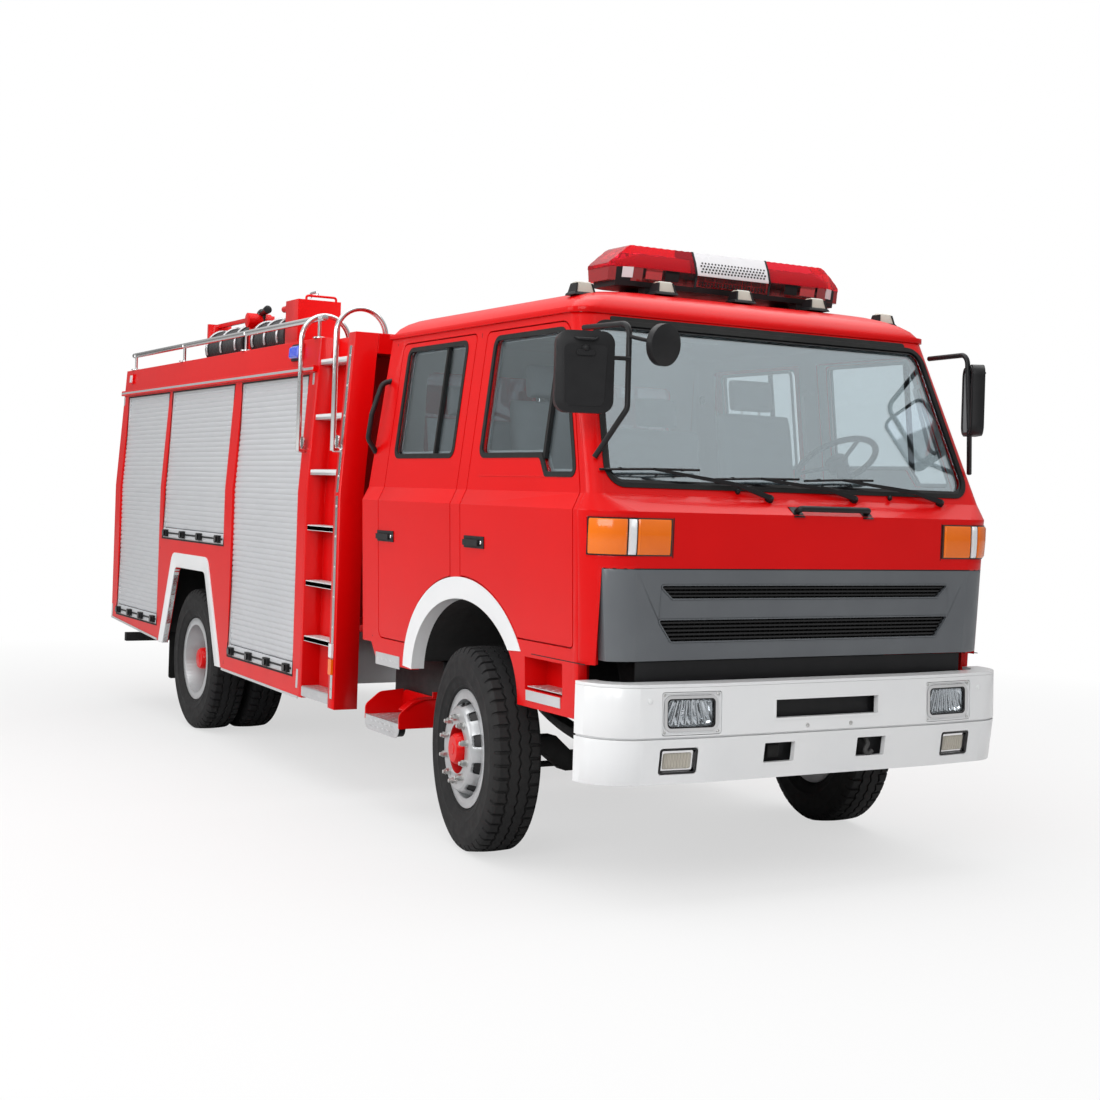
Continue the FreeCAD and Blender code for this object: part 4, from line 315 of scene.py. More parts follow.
def strip(points, width, low, high, to):
    """A flat band of even width along a path drawn on a place."""
    rings = []
    for i, p in enumerate(points):
        way = (Vector(points[min(i + 1, len(points) - 1)]) - Vector(points[max(i - 1, 0)])).normalized()
        out = Vector((-way.y, way.x)) * width / 2
        left, right = Vector(p) + out, Vector(p) - out
        rings.append([to(left.x, left.y, low), to(left.x, left.y, high),
                      to(right.x, right.y, high), to(right.x, right.y, low)])
    return loft(rings)


def spread(first, last, count):
    return [first + (last - first) * i / (count - 1) for i in range(count)]


def into_scene(name, data):
    obj = bpy.data.objects.new(name, data)
    bpy.context.scene.collection.objects.link(obj)
    return obj


class Piece:
    """One named piece, gathered from shapes with their finishes."""

    def __init__(self, name):
        self.name = name
        self.points = []
        self.faces = []
        self.finishes = []
        self.marks = []

    def add(self, shape, finish):
        start = len(self.points)
        if finish not in self.finishes:
            self.finishes.append(finish)
        mark = self.finishes.index(finish)
        self.points += [tuple(p) for p in shape[0]]
        for face in shape[1]:
            self.faces.append(tuple(start + i for i in face))
            self.marks.append(mark)
        return self

    def place(self, body="chassis", replaces=(), bevel=0.0, angle=EDGE_ANGLE, segments=2):
        """Makes the object and sets it riding its body in place of the nodes it replaces."""
        mesh = bpy.data.meshes.new(self.name)
        mesh.from_pydata(self.points, [], self.faces)
        for finish in self.finishes:
            mesh.materials.append(finish)
        mesh.polygons.foreach_set("material_index", self.marks)
        work = bmesh.new()
        work.from_mesh(mesh)
        bmesh.ops.recalc_face_normals(work, faces=work.faces)
        work.to_mesh(mesh)
        work.free()
        mesh.polygons.foreach_set("use_smooth", [True] * len(mesh.polygons))
        mesh.set_sharp_from_angle(angle=math.radians(angle))
        obj = into_scene(self.name, mesh)
        if bevel > 0:
            edge = obj.modifiers.new("bevel", "BEVEL")
            edge.width = bevel
            edge.segments = segments
            edge.limit_method = "ANGLE"
            edge.angle_limit = math.radians(angle)
            edge.harden_normals = True
        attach(obj, body)
        if replaces:
            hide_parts(*replaces)
        return obj


# ---------- finishes ----------

PATCH = 2.0                      # scale of the slow drift of colour over a surface

def material(name):
    """A new material with an empty Principled shader: returns material, node tree and shader."""
    mat = bpy.data.materials.new(name)
    mat.use_nodes = True
    tree = mat.node_tree
    return mat, tree, tree.nodes["Principled BSDF"]


def node(tree, kind, inputs, operation=None):
    """A new node. Each input takes a value, or a link where another node's output is given."""
    made = tree.nodes.new(kind)
    if operation:
        made.operation = operation
    for name, value in inputs.items():
        if isinstance(value, bpy.types.NodeSocket):
            tree.links.new(value, made.inputs[name])
        else:
            made.inputs[name].default_value = value
    return made


def coordinates(tree):
    return tree.nodes.new("ShaderNodeTexCoord").outputs["Object"]


def noise(tree, vector, scale, detail=4.0, roughness=0.55):
    inputs = {"Scale": scale, "Detail": detail, "Roughness": roughness, "Vector": vector}
    return node(tree, "ShaderNodeTexNoise", inputs).outputs["Fac"]


def ramp(tree, source, low, high, at=(0.3, 0.7)):
    """A colour ramp between two colours, or two greys given as numbers."""
    made = node(tree, "ShaderNodeValToRGB", {"Fac": source})
    for stop, value, place in zip(made.color_ramp.elements, (low, high), at):
        stop.position = place
        stop.color = (value,) * 3 + (1,) if isinstance(value, (int, float)) else tuple(value) + (1,)
    return made.outputs["Color"]


def bump(tree, shader, height, strength, distance):
    made = node(tree, "ShaderNodeBump", {"Strength": strength, "Distance": distance, "Height": height})
    tree.links.new(made.outputs["Normal"], shader.inputs["Normal"])


def surface(name, dark, light, rough, metallic=0.0, coat=0.0, grain=0.0, grain_scale=400.0, shine=0.5):
    """A finish whose colour and roughness drift a little over the surface, with a fine grain."""
    mat, tree, shader = material(name)
    vector = coordinates(tree)
    wide = noise(tree, vector, PATCH)
    tree.links.new(ramp(tree, wide, dark, light), shader.inputs["Base Color"])
    fine = noise(tree, vector, PATCH * 9, 6.0)
    tree.links.new(ramp(tree, fine, rough[0], rough[1]), shader.inputs["Roughness"])
    shader.inputs["Metallic"].default_value = metallic
    shader.inputs["Coat Weight"].default_value = coat
    shader.inputs["Coat Roughness"].default_value = 0.04
    shader.inputs["Specular IOR Level"].default_value = shine
    if grain:
        bump(tree, shader, noise(tree, vector, grain_scale, 3.0), grain, 0.001)
    return mat


def clear(name, colour, rough, share=1.0, ior=1.45):
    """A see-through finish, tinted by its colour."""
    mat, tree, shader = material(name)
    vector = coordinates(tree)
    shader.inputs["Base Color"].default_value = tuple(colour) + (1,)
    tree.links.new(ramp(tree, noise(tree, vector, 3.0), rough, rough + 0.03), shader.inputs["Roughness"])
    shader.inputs["Transmission Weight"].default_value = share
    shader.inputs["IOR"].default_value = ior
    return mat


def window_glass(name, tint, sheen):
    """A thin pane: mostly clear, with a pale sheen that grows at a slant."""
    mat, tree, shader = material(name)
    tree.nodes.remove(shader)
    vector = coordinates(tree)
    colour = ramp(tree, noise(tree, vector, 0.6), tint, tuple(c + 0.02 for c in tint))
    through = node(tree, "ShaderNodeBsdfTransparent", {"Color": colour})
    smear = ramp(tree, noise(tree, vector, 5.0), 0.015, 0.03)
    gloss = node(tree, "ShaderNodeBsdfGlossy", {"Color": (0.80, 0.88, 0.92, 1), "Roughness": smear})
    slant = node(tree, "ShaderNodeLayerWeight", {"Blend": 0.5})
    power = node(tree, "ShaderNodeMath", {0: slant.outputs["Facing"], 1: 4.0}, "POWER")
    share = node(tree, "ShaderNodeMapRange", {"To Min": sheen, "To Max": 1.0, "Value": power.outputs[0]})
    mix = node(tree, "ShaderNodeMixShader",
               {"Fac": share.outputs[0], 1: through.outputs[0], 2: gloss.outputs[0]})
    tree.links.new(mix.outputs[0], tree.nodes["Material Output"].inputs["Surface"])
    return mat


RED = surface("red_paint", (0.60, 0.0010, 0.0015), (0.64, 0.0015, 0.002), (0.29, 0.31), coat=0.12, shine=0.14)
# Darker copy of the red paint: painted shade for the hub recesses, the body's floor and bulkhead and the
# inside of the light bar's domes.
SHADED_RED = surface("red_paint_painted_shade", (0.40, 0.004, 0.006), (0.48, 0.006, 0.008), (0.35, 0.5), coat=0.2)
WHITE = surface("white_paint", (0.72, 0.73, 0.74), (0.76, 0.765, 0.77), (0.28, 0.31), coat=0.4)
GREY = surface("grille_grey", (0.090, 0.098, 0.108), (0.112, 0.122, 0.132), (0.36, 0.46), coat=0.15)
BLACK = surface("black_plastic", (0.005, 0.005, 0.006), (0.010, 0.010, 0.011), (0.38, 0.52), grain=0.15,
                shine=0.3)
GLOSS_BLACK = surface("black_paint", (0.004, 0.004, 0.005), (0.008, 0.008, 0.009), (0.15, 0.25), coat=0.25,
                      shine=0.3)
RUBBER = surface("rubber_seal", (0.006, 0.006, 0.006), (0.011, 0.011, 0.011), (0.5, 0.65), grain=0.1,
                 shine=0.25)
TYRE = surface("tyre_rubber", (0.009, 0.009, 0.010), (0.017, 0.0165, 0.0165), (0.62, 0.8), grain=0.2,
               grain_scale=260, shine=0.25)
CHASSIS = surface("chassis_paint", (0.008, 0.008, 0.009), (0.016, 0.0155, 0.015), (0.5, 0.7), grain=0.15,
                  grain_scale=90, shine=0.25)
CAST = surface("cast_iron", (0.05, 0.05, 0.052), (0.09, 0.088, 0.085), (0.6, 0.8), metallic=0.5, grain=0.5,
               grain_scale=120)
SILVER = surface("wheel_silver", (0.42, 0.43, 0.44), (0.52, 0.53, 0.54), (0.28, 0.40), metallic=0.6,
                 grain=0.06)
ZINC = surface("zinc_plate", (0.48, 0.48, 0.47), (0.62, 0.62, 0.61), (0.25, 0.4), metallic=0.9, grain=0.1)
ALU = surface("shutter_aluminium", (0.54, 0.55, 0.57), (0.56, 0.57, 0.59), (0.38, 0.41), metallic=0.30)
TRIM = surface("silver_trim", (0.58, 0.59, 0.60), (0.61, 0.62, 0.63), (0.30, 0.34), metallic=0.6)
PLATE = surface("tread_plate", (0.55, 0.56, 0.57), (0.70, 0.71, 0.72), (0.28, 0.42), metallic=0.8, grain=0.12)
STEEL = surface("stainless_tube", (0.60, 0.60, 0.60), (0.70, 0.70, 0.70), (0.14, 0.22), metallic=1.0,
                grain=0.03)
CHROME = surface("chrome", (0.78, 0.78, 0.79), (0.86, 0.86, 0.87), (0.04, 0.08), metallic=1.0)
INTERIOR = surface("interior_grey", (0.36, 0.37, 0.38), (0.42, 0.43, 0.44), (0.6, 0.75), grain=0.35,
                   grain_scale=500)
LINING = surface("cab_lining", (0.60, 0.60, 0.59), (0.66, 0.66, 0.65), (0.7, 0.85), grain=0.4,
                 grain_scale=600)
FABRIC = surface("seat_fabric", (0.22, 0.225, 0.235), (0.30, 0.305, 0.315), (0.85, 0.95), grain=0.5,
                 grain_scale=900)
HOSE = surface("hose_rubber", (0.014, 0.014, 0.016), (0.03, 0.03, 0.032), (0.45, 0.6), grain=0.3,
               grain_scale=300)
AMBER = surface("amber_lens", (0.74, 0.135, 0.003), (0.82, 0.175, 0.006), (0.10, 0.16), coat=0.35, shine=0.3)
BROWN = surface("brown_rim", (0.030, 0.012, 0.006), (0.045, 0.018, 0.009), (0.3, 0.4), coat=0.3)
RED_LENS = surface("tail_lens", (0.45, 0.004, 0.008), (0.60, 0.008, 0.012), (0.10, 0.16), coat=1.0)
PALE_LENS = surface("frosted_lens", (0.42, 0.39, 0.33), (0.52, 0.49, 0.42), (0.14, 0.22), coat=0.9)
WHITE_LENS = surface("white_lens", (0.66, 0.67, 0.68), (0.74, 0.75, 0.76), (0.12, 0.2), coat=0.9)
BLUE_LENS = surface("blue_lens", (0.01, 0.05, 0.55), (0.02, 0.08, 0.70), (0.10, 0.16), coat=1.0)
BAR_RED = clear("bar_dome_red", (0.86, 0.012, 0.035), 0.04, 0.75, 1.3)
BAR_WHITE = surface("bar_dome_white", (0.74, 0.74, 0.76), (0.80, 0.80, 0.82), (0.2, 0.3), coat=0.7)
GLASS = window_glass("window_glass", (0.86, 0.90, 0.91), 0.12)
SCREEN_GLASS = window_glass("windscreen_glass", (0.84, 0.89, 0.91), 0.30)
CLEAR_LENS = window_glass("clear_lens", (0.95, 0.96, 0.97), 0.05)
REFLECTOR = surface("lamp_reflector", (0.68, 0.69, 0.70), (0.80, 0.81, 0.82), (0.08, 0.12), metallic=1.0)
BAR_LOW = surface("bar_lower_red", (0.24, 0.003, 0.006), (0.32, 0.005, 0.008), (0.10, 0.16), coat=0.8)
MIRROR_FACE = surface("mirror_face", (0.34, 0.35, 0.37), (0.38, 0.39, 0.41), (0.01, 0.02), metallic=1.0)

NODE_FINISH = {name: finish for finish, names in (
    (TYRE, "tyre"), (SILVER, "wheel"), (CAST, "engine_block"), (BLACK, "battery_box mirrors steering_wheel"),
    (CHASSIS, "knuckle tie_rod frame_rails front_axle rear_axle leaf_springs propeller_shaft fuel_tank"
              " rear_bumper front_wheel_housings step_wells rear_wheel_housings"),
    (WHITE, "front_bumper"), (GREY, "grille_panel"), (WHITE_LENS, "front_lamps"), (PALE_LENS, "marker_lamps"),
    (BAR_RED, "light_bar"), (INTERIOR, "cab_floor dashboard"), (TRIM, "locker_floors"), (FABRIC, "seats"),
    # the body's floor and bulkhead take the darker red of painted shade
    (ALU, "shutters"), (STEEL, "handrails"), (SHADED_RED, "body_floor body_bulkhead"), (PLATE, "ladder_treads"),
    (HOSE, "hose_rolls")) for name in names.split()}


def finish_of(name):
    if "glass" in name:
        return SCREEN_GLASS if name == "cab_glass" else GLASS
    matches = [key for key in NODE_FINISH if name.startswith(key)]
    return NODE_FINISH[max(matches, key=len)] if matches else RED


FOLDED = ("cab_", "front_door", "rear_door", "body_", "front_bumper", "grille_panel", "front_wheel_housings")
FOLD_ANGLE = 16.5                # degrees: folds of the sheet metal are sharper than this
FLAT_PLATES = ("front_bumper",)
FLAT_ENOUGH = 0.985              # a face whose normal keeps this close to an axis is shaded flat
PLANE_AREA = 0.12                # so are the faces of a plane larger than this, in square metres


def soften(obj, angle, width=0.003):
    """Joins the split corners, rounds the edges and evens the shading."""
    weld = obj.modifiers.new("weld", "WELD")
    weld.merge_threshold = 0.00005
    bevel = obj.modifiers.new("bevel", "BEVEL")
    bevel.width = width
    bevel.segments = 2
    bevel.limit_method = "ANGLE"
    bevel.angle_limit = math.radians(angle)
    bevel.use_clamp_overlap = True
    bevel.harden_normals = True
    for polygon in obj.data.polygons:
        polygon.use_smooth = True


def flatten_planes(obj):
    """Shades the faces of each large plane flat, so that the curves round it don't tint it."""
    planes = {}
    for polygon in obj.data.polygons:
        away = polygon.normal.dot(polygon.center)
        planes.setdefault(tuple(round(part, 2) for part in (*polygon.normal, away)), []).append(polygon)
    for faces in planes.values():
        if sum(face.area for face in faces) > PLANE_AREA:
            for face in faces:
                face.use_smooth = False


def dress_nodes():
    """Gives each of the model's own pieces its finish and shading."""
    for name, obj in frame["nodes"].items():
        obj.data.materials.clear()
        obj.data.materials.append(finish_of(name))
        if "glass" not in name:
            soften(obj, FOLD_ANGLE if name.startswith(FOLDED) else EDGE_ANGLE)
        if name in FLAT_PLATES:
            for polygon in obj.data.polygons:
                polygon.use_smooth = max(abs(part) for part in polygon.normal) < FLAT_ENOUGH
        elif name.startswith(FOLDED):
            flatten_planes(obj)
        if name.startswith(LINED):
            line_inside(obj)
        if name == "cab_floor":
            obj.data.materials.append(CHASSIS)
            for polygon in obj.data.polygons:
                polygon.material_index = 0 if polygon.normal.z > 0.5 else 1


LINED = ("cab_roof", "cab_sides", "cab_rear_wall", "cab_front_panel", "front_door_left", "front_door_right",
         "rear_door_left", "rear_door_right")
SKIN_DEPTH = 0.030               # faces deeper than this below the cab's outside are lined
LINED_ABOVE = 1.270
CAB_MIDDLE = Vector((FRONT_AXLE - 0.100, 0.0, 0.0))


def line_inside(obj):
    """Gives the faces that look into the cab the lining's finish."""
    obj.data.materials.append(LINING)
    for polygon in obj.data.polygons:
        place = obj.matrix_world @ polygon.center
        ahead = place.x - FRONT_AXLE
        depth = min(along(CAB_SIDE_LINE, place.z) - abs(place.y), along(CAB_FRONT_LINE, place.z) - ahead,
                    ahead - along(CAB_REAR_LINE, place.z))
        looks_in = (CAB_MIDDLE - place).to_2d().dot(polygon.normal.to_2d()) > 0.2 or polygon.normal.z < -0.5
        if depth > SKIN_DEPTH and place.z > LINED_ABOVE and looks_in:
            polygon.material_index = 1


def paint_hub(obj, centre, axle, radius):
    """Gives a wheel's hub, the faces within a radius of its axle, the darker red paint that stands for the
    shade in its recess.
    """
    # darker red: painted shade in the hub's recess
    obj.data.materials.append(SHADED_RED)
    for polygon in obj.data.polygons:
        away = obj.matrix_world @ polygon.center - centre
        if (away - axle * away.dot(axle)).length < radius:
            polygon.material_index = 1


# ---------- wheels ----------

PITCHES = 50                     # tread blocks round a tyre
GROOVE = 0.012
RIB_EDGE = 0.047                 # outer edge of the middle ribs
LUG_EDGE = 0.058                 # inner edge of the shoulder lugs
ZIGZAG = 0.0055
# (share of a pitch, outer slots open, inner slots open) along one pitch
TREAD_ROWS = ((0.00, 0, 0), (0.04, 1, 0), (0.24, 1, 0), (0.28, 0, 0), (0.50, 0, 0), (0.54, 0, 1),
              (0.74, 0, 1), (0.78, 0, 0))
SIDEWALL = ((0.091, 0.257), (0.091, 0.292), (0.100, 0.301), (0.1085, 0.307), (0.110, 0.315), (0.1125, 0.318),
            (0.117, 0.333), (0.1235, 0.352), (0.1275, 0.356), (0.129, 0.362), (0.1275, 0.368),
            (0.1275, 0.385), (0.1285, 0.405), (0.1275, 0.432), (0.1285, 0.436), (0.1275, 0.441),
            (0.1245, 0.456), (0.1195, 0.472))


def tread_columns():
    """(distance from the middle, radius, shift by the zigzag, depth, where it is deep) across a tyre."""
    half = [(w, r, 0.0, 0.0, None) for w, r in SIDEWALL]
    half += [(0.1145, 0.484, 0.0, GROOVE * 0.8, "slot"), (0.108, 0.496, 0.0, GROOVE, "slot"),
             (0.098, 0.5035, 0.0, GROOVE, "slot"), (LUG_EDGE, 0.507, ZIGZAG, GROOVE, "slot"),
             (LUG_EDGE - 0.0015, 0.507, ZIGZAG, GROOVE, "groove"),
             (RIB_EDGE + 0.0015, 0.507, ZIGZAG, GROOVE, "groove"), (RIB_EDGE, 0.5075, ZIGZAG, 0.0, None),
             (0.026, 0.5085, 0.0, 0.0, None), (0.0050, 0.509, ZIGZAG, 0.0, None),
             (0.0035, 0.509, ZIGZAG, GROOVE, "groove")]
    far = [(-w, r, shift, depth, kind) for w, r, shift, depth, kind in half]
    return half + far[::-1]


def tyre_shape(centre, axle):
    """A tyre with zigzag grooves, slotted shoulder lugs and ringed sidewalls. axle points outward."""
    up = Vector((0, 0, 1))
    forward = axle.cross(up)
    rings = []
    for pitch in range(PITCHES):
        for share, outer_slot, inner_slot in TREAD_ROWS:
            angle = 2 * math.pi * (pitch + share) / PITCHES
            sway = 1 - 4 * abs(share - 0.5)
            ray = forward * math.cos(angle) + up * math.sin(angle)
            ring = []
            for w, r, shift, depth, kind in tread_columns():
                open_slot = outer_slot if w > 0 else inner_slot
                sunk = depth if kind == "groove" or (kind == "slot" and open_slot) else 0.0
                ring.append(centre + axle * (w + shift * sway) + ray * (r - sunk))
            rings.append(ring)
    return loft(rings, closed=True)


def hexagon(centre, axis, size, low, high, phase=0.0):
    return turned([(low, size), (high, size)], centre, axis, 6, phase=phase)


def on_circle(centre, axle, out, radius, count, start=0.0):
    """Points spaced evenly on an upright circle round a level axle."""
    up = Vector((0, 0, 1))
    forward = axle.cross(up)
    for i in range(count):
        t = 2 * math.pi * (i + start) / count
        yield centre + axle * out + (forward * math.cos(t) + up * math.sin(t)) * radius


def wheel_nuts(piece, centre, axle, face, circle=0.150, count=10):
    """Washers, nuts and stud ends on a bolt circle."""
    stud = [(0.024, 0.013), (0.029, 0.013), (0.030, 0.010), (0.038, 0.010), (0.040, 0.008)]
    for i, at in enumerate(on_circle(centre, axle, face, circle, count, 0.5)):
        piece.add(disc(at, axle, 0.019, 0.0, 0.004, 16), ZINC)
        piece.add(hexagon(at, axle, 0.0165, 0.004, 0.024, 0.3 * i), ZINC)
        piece.add(turned(stud, at, axle, 12), ZINC)


FRONT_FACE = 0.145               # bolting face of the front disc, out from the wheel's middle
FRONT_RECESS = 0.082
FRONT_CAP = 0.167
REAR_HUB_BASE = 0.013            # the rear hub, out from the middle of the pair of wheels
REAR_HUB_FACE = 0.0965
REAR_CAP = 0.222


def front_cap(piece, centre, axle):
    """Bright cap in the sunk ring of the front hub, with the ring's bolts in the darker red of painted shade.
    """
    crown = [(FRONT_RECESS, 0.084), (FRONT_RECESS + 0.016, 0.0835), (FRONT_CAP - 0.013, 0.0755),
             (FRONT_CAP + 0.001, 0.064), (FRONT_CAP + 0.002, 0.030), (FRONT_CAP + 0.005, 0.026),
             (FRONT_CAP + 0.005, 0.001)]
    piece.add(turned(crown, centre, axle, 48), RED)
    for at in on_circle(centre, axle, FRONT_RECESS, 0.102, 8):
        # bolts in the sunk ring: darker red for painted shade
        piece.add(hexagon(at, axle, 0.009, 0.0, 0.010), SHADED_RED)


def rear_cap(piece, centre, axle):
    """Painted hub over the bare one: a flange and ring of bolts in the darker red of painted shade, and a
    bright raised cap.
    """
    flange = [(REAR_HUB_BASE, 0.113), (REAR_HUB_BASE, 0.1135), (REAR_HUB_FACE, 0.1135),
              (REAR_HUB_FACE + 0.003, 0.110), (REAR_HUB_FACE + 0.003, 0.080), (REAR_HUB_FACE, 0.079)]
    # flange in darker red: painted shade in the hub's recess
    piece.add(turned(flange, centre, axle, 48), SHADED_RED)
    crown = [(REAR_HUB_FACE, 0.084), (REAR_HUB_FACE + 0.008, 0.0835), (REAR_CAP - 0.012, 0.0760),
             (REAR_CAP + 0.001, 0.066), (REAR_CAP + 0.0015, 0.030), (REAR_CAP + 0.004, 0.026),
             (REAR_CAP + 0.004, 0.001)]
    piece.add(turned(crown, centre, axle, 48), RED)
    for at in on_circle(centre, axle, REAR_HUB_FACE + 0.003, 0.098, 8):
        piece.add(hexagon(at, axle, 0.008, 0.0, 0.007), SHADED_RED)


# black ring behind the front disc's hand holes: painted shade seen through them
HAND_HOLE_SHADE = ((0.030, 0.243), (0.036, 0.2385), (0.119, 0.210), (0.128, 0.200), (0.124, 0.197), (0.114, 0.206),
          (0.032, 0.2345), (0.026, 0.242))


def valve(piece, centre, axle, out):
    start = centre + axle * out + Vector((0, 0, 0.205))
    tip = start + axle * 0.045 + Vector((0, 0, 0.020))
    piece.add(tube([start, tip], 0.0045, sides=8), ZINC)
    piece.add(tube([tip - (tip - start) * 0.25, tip], 0.0060, sides=8), BLACK)


def wheels():
    """Treads, nuts, hub caps and valves, each riding its own wheel."""
    for side, name in SIDES:
        axle = Matrix.Rotation(STEER, 3, "Z") @ Vector((0, side, 0))
        centre = Vector((FRONT_AXLE, side * KINGPIN_Y, TYRE_RADIUS)) + axle * KINGPIN_OFFSET
        body = f"front_wheel_{name}"
        tread = Piece(f"front_tread_{name}").add(tyre_shape(centre, axle), TYRE)
        tread.place(body, [f"tyre_front_{name}"], angle=28)
        trim = Piece(f"front_hub_trim_{name}")
        paint_hub(frame["nodes"][f"wheel_front_{name}"], centre, axle, 0.131)
        wheel_nuts(trim, centre, axle, FRONT_FACE, 0.157)
        front_cap(trim, centre, axle)
        # black ring behind the hand holes: painted shade
        trim.add(turned(HAND_HOLE_SHADE, centre, axle, 48, closed=True), BLACK)
        valve(trim, centre, axle, 0.078)
        trim.place(body)
        middle = Vector((REAR_AXLE, side * DUAL_MID_Y, TYRE_RADIUS))
        axle = Vector((0, side, 0))
        body = f"rear_wheels_{name}"
        pair = Piece(f"rear_treads_{name}")
        for way in (-1, 1):
            pair.add(tyre_shape(middle + axle * way * DUAL_HALF, axle), TYRE)
        pair.place(body, [f"tyres_rear_{name}"], angle=28)
        trim = Piece(f"rear_hub_trim_{name}")
        paint_hub(frame["nodes"][f"wheels_rear_{name}"], middle, axle, 0.1125)
        wheel_nuts(trim, middle, axle, 0.012)
        rear_cap(trim, middle, axle)
        valve(trim, middle, axle, 0.060)
        trim.place(body)


# ---------- front of the cab ----------

WINDSCREEN = ((-1.076, 1.844, 0.08), (1.076, 1.844, 0.08), (0.986, 2.596, 0.08), (-0.986, 2.596, 0.08))
WIPERS = ((-0.210, 1.790, -0.840, 1.917, 0.270), (0.310, 1.800, -0.245, 1.892, 0.245),
          (0.860, 1.796, 0.245, 1.900, 0.215))
SCREEN_HEADER = ((-0.905, 2.606, 0.01), (0.905, 2.606, 0.01), (0.890, 2.630, 0.01), (-0.890, 2.630, 0.01))
GRILLE_SLOTS = ((1.140, 1.248, 5), (1.333, 1.402, 3))
GRILLE_HALF = 0.868
GRILLE_SLANT = 0.080
GRAB_HANDLE_ENDS = (-0.094, 0.321)
CORNER_LAMP_LOW = 1.534
CORNER_LAMP_HIGH = 1.691
HEADLAMP_Y = 0.753
HEADLAMP_Z = 0.842
HEADLAMP_BOWL = ((1.0, -0.026), (0.97, -0.034), (0.84, -0.052), (0.55, -0.066), (0.22, -0.071),
                 (0.10, -0.071))
FOG_LAMP_Y = 0.811
FOG_LAMP_Z = 0.632
TOW_HOLE_Y = 0.269


def windscreen_seal():
    to = cab_front()
    seal = Piece("windscreen_seal")
    seal.add(gasket(inset(WINDSCREEN, -0.014), 0.024, -0.006, 0.007, to, 8), RUBBER)
    seal.add(prism(rounded(SCREEN_HEADER), -0.004, 0.006, to), RUBBER)
    seal.place(bevel=0.002)
    shade = Piece("windscreen_border")
    shade.add(gasket(inset(WINDSCREEN, 0.008), 0.014, -0.0072, -0.0066, raised(to, 0.004), 8), GLOSS_BLACK)
    shade.place()


def wiper(piece, pivot_y, pivot_z, blade_y, blade_z, half):
    """A sprung arm on its cap, and a blade on two yokes."""
    to = cab_front()
    foot = to(pivot_y, pivot_z)
    cap = [(0.0, 0.020), (0.020, 0.019), (0.030, 0.014), (0.032, 0.006)]
    piece.add(turned(cap, foot, (0.8, 0, 0.6), 16), BLACK)
    knee = to(pivot_y + (blade_y - pivot_y) * 0.30, pivot_z + (blade_z - pivot_z) * 0.55, 0.045)
    tip = to(blade_y, blade_z, 0.040)
    arm = []
    stations = ((foot + Vector((0.022, 0, 0.012)), 0.013, 0.007), (knee, 0.010, 0.006), (tip, 0.006, 0.004))
    for at, tall, deep in stations:
        corners = ((deep, tall), (-deep, tall), (-deep, -tall), (deep, -tall))
        arm.append([at + Vector((x, 0, z)) for x, z in corners])
    piece.add(loft(arm), BLACK)
    left, right = blade_y - half, blade_y + half
    blade = [to(left, blade_z - 0.010, 0.012), to(blade_y, blade_z, 0.012), to(right, blade_z + 0.004, 0.012)]
    piece.add(tube(blade, 0.006, 0.4), RUBBER)
    spine = [to(left + 0.02, blade_z - 0.009, 0.022), to(blade_y, blade_z, 0.034),
             to(right - 0.02, blade_z + 0.004, 0.022)]
    piece.add(tube(spine, 0.0045, 0.2), BLACK)
    for share in (-0.62, -0.25, 0.25, 0.62):
        y = blade_y + half * share
        piece.add(tube([to(y, blade_z - 0.002, 0.010), to(y, blade_z - 0.001, 0.032)], 0.005, sides=6), BLACK)


def wipers():
    piece = Piece("wipers")
    for sizes in WIPERS:
        wiper(piece, *sizes)
    to = cab_front()
    for y, z in ((-0.374, 1.824), (0.546, 1.818)):
        piece.add(turned([(0, 0.012), (0.012, 0.011), (0.018, 0.006)], to(y, z), (0.9, 0, 0.4), 14), BLACK)
    piece.place(bevel=0.001)


def front_grab_handle():
    to = cab_front()
    piece = Piece("front_grab_handle")
    first, last = GRAB_HANDLE_ENDS
    path = [to(first, 1.741), to(first, 1.757, 0.052), to(last, 1.757, 0.052), to(last, 1.741)]
    piece.add(tube(path, 0.0145, 0.03, 12), BLACK)
    for y in GRAB_HANDLE_ENDS:
        piece.add(slab(y - 0.030, y + 0.030, 1.716, 1.764, 0.0, 0.010, to), BLACK)
    piece.place(bevel=0.0015)


def grille_insert():
    """Dark mesh behind each slot, with thin slats and upright ribs, and a lip round the slot."""
    to = cab_front()
    mesh = Piece("grille_mesh")
    slats = Piece("grille_slats")
    top, bottom = GRILLE_HALF, GRILLE_HALF - GRILLE_SLANT
    for low, high, count in GRILLE_SLOTS:
        slot = ((-bottom, low, 0.012), (bottom, low, 0.012), (top, high, 0.012), (-top, high, 0.012))
        square = [(u, v, 0.0) for u, v, _ in slot]
        mesh.add(prism(inset(square, -0.012), -0.052, -0.048, to), BLACK)
        for y in spread(-top + 0.03, top - 0.03, 60):
            if abs(y) < bottom:
                mesh.add(slab(y - 0.002, y + 0.002, low - 0.006, high + 0.006, -0.050, -0.036, to), BLACK)
        slats.add(gasket(slot, 0.006, -0.030, 0.003, to, 3), GREY)
        for z in spread(low, high, count + 2)[1:-1]:
            half = bottom + (top - bottom) * (z - low) / (high - low) - 0.006
            slats.add(pad(0.0, z, half, 0.0045, -0.040, -0.012, to, 0.002, 2), GLOSS_BLACK)
    mesh.place()
    slats.place(bevel=0.001)


def panel_seams():
    """Dark gaps where the front panels meet, and a dark line of painted shade along the fold above the grille.
    """
    to = cab_front()
    piece = Piece("front_seams_and_fold_shade")
    for side in (-1, 1):
        # dark strip along the fold: painted shade in the crease
        fold = [(u, 1.471) for u in spread(0.0, 1.135, 24)]
        piece.add(strip(fold, 0.005, -0.010, 0.0006, cab_wrap(side)), RUBBER)
        y = side * 0.795
        piece.add(slab(y - 0.0025, y + 0.0025, 1.520, 1.700, -0.006, 0.0006, to), RUBBER)
    piece.place()


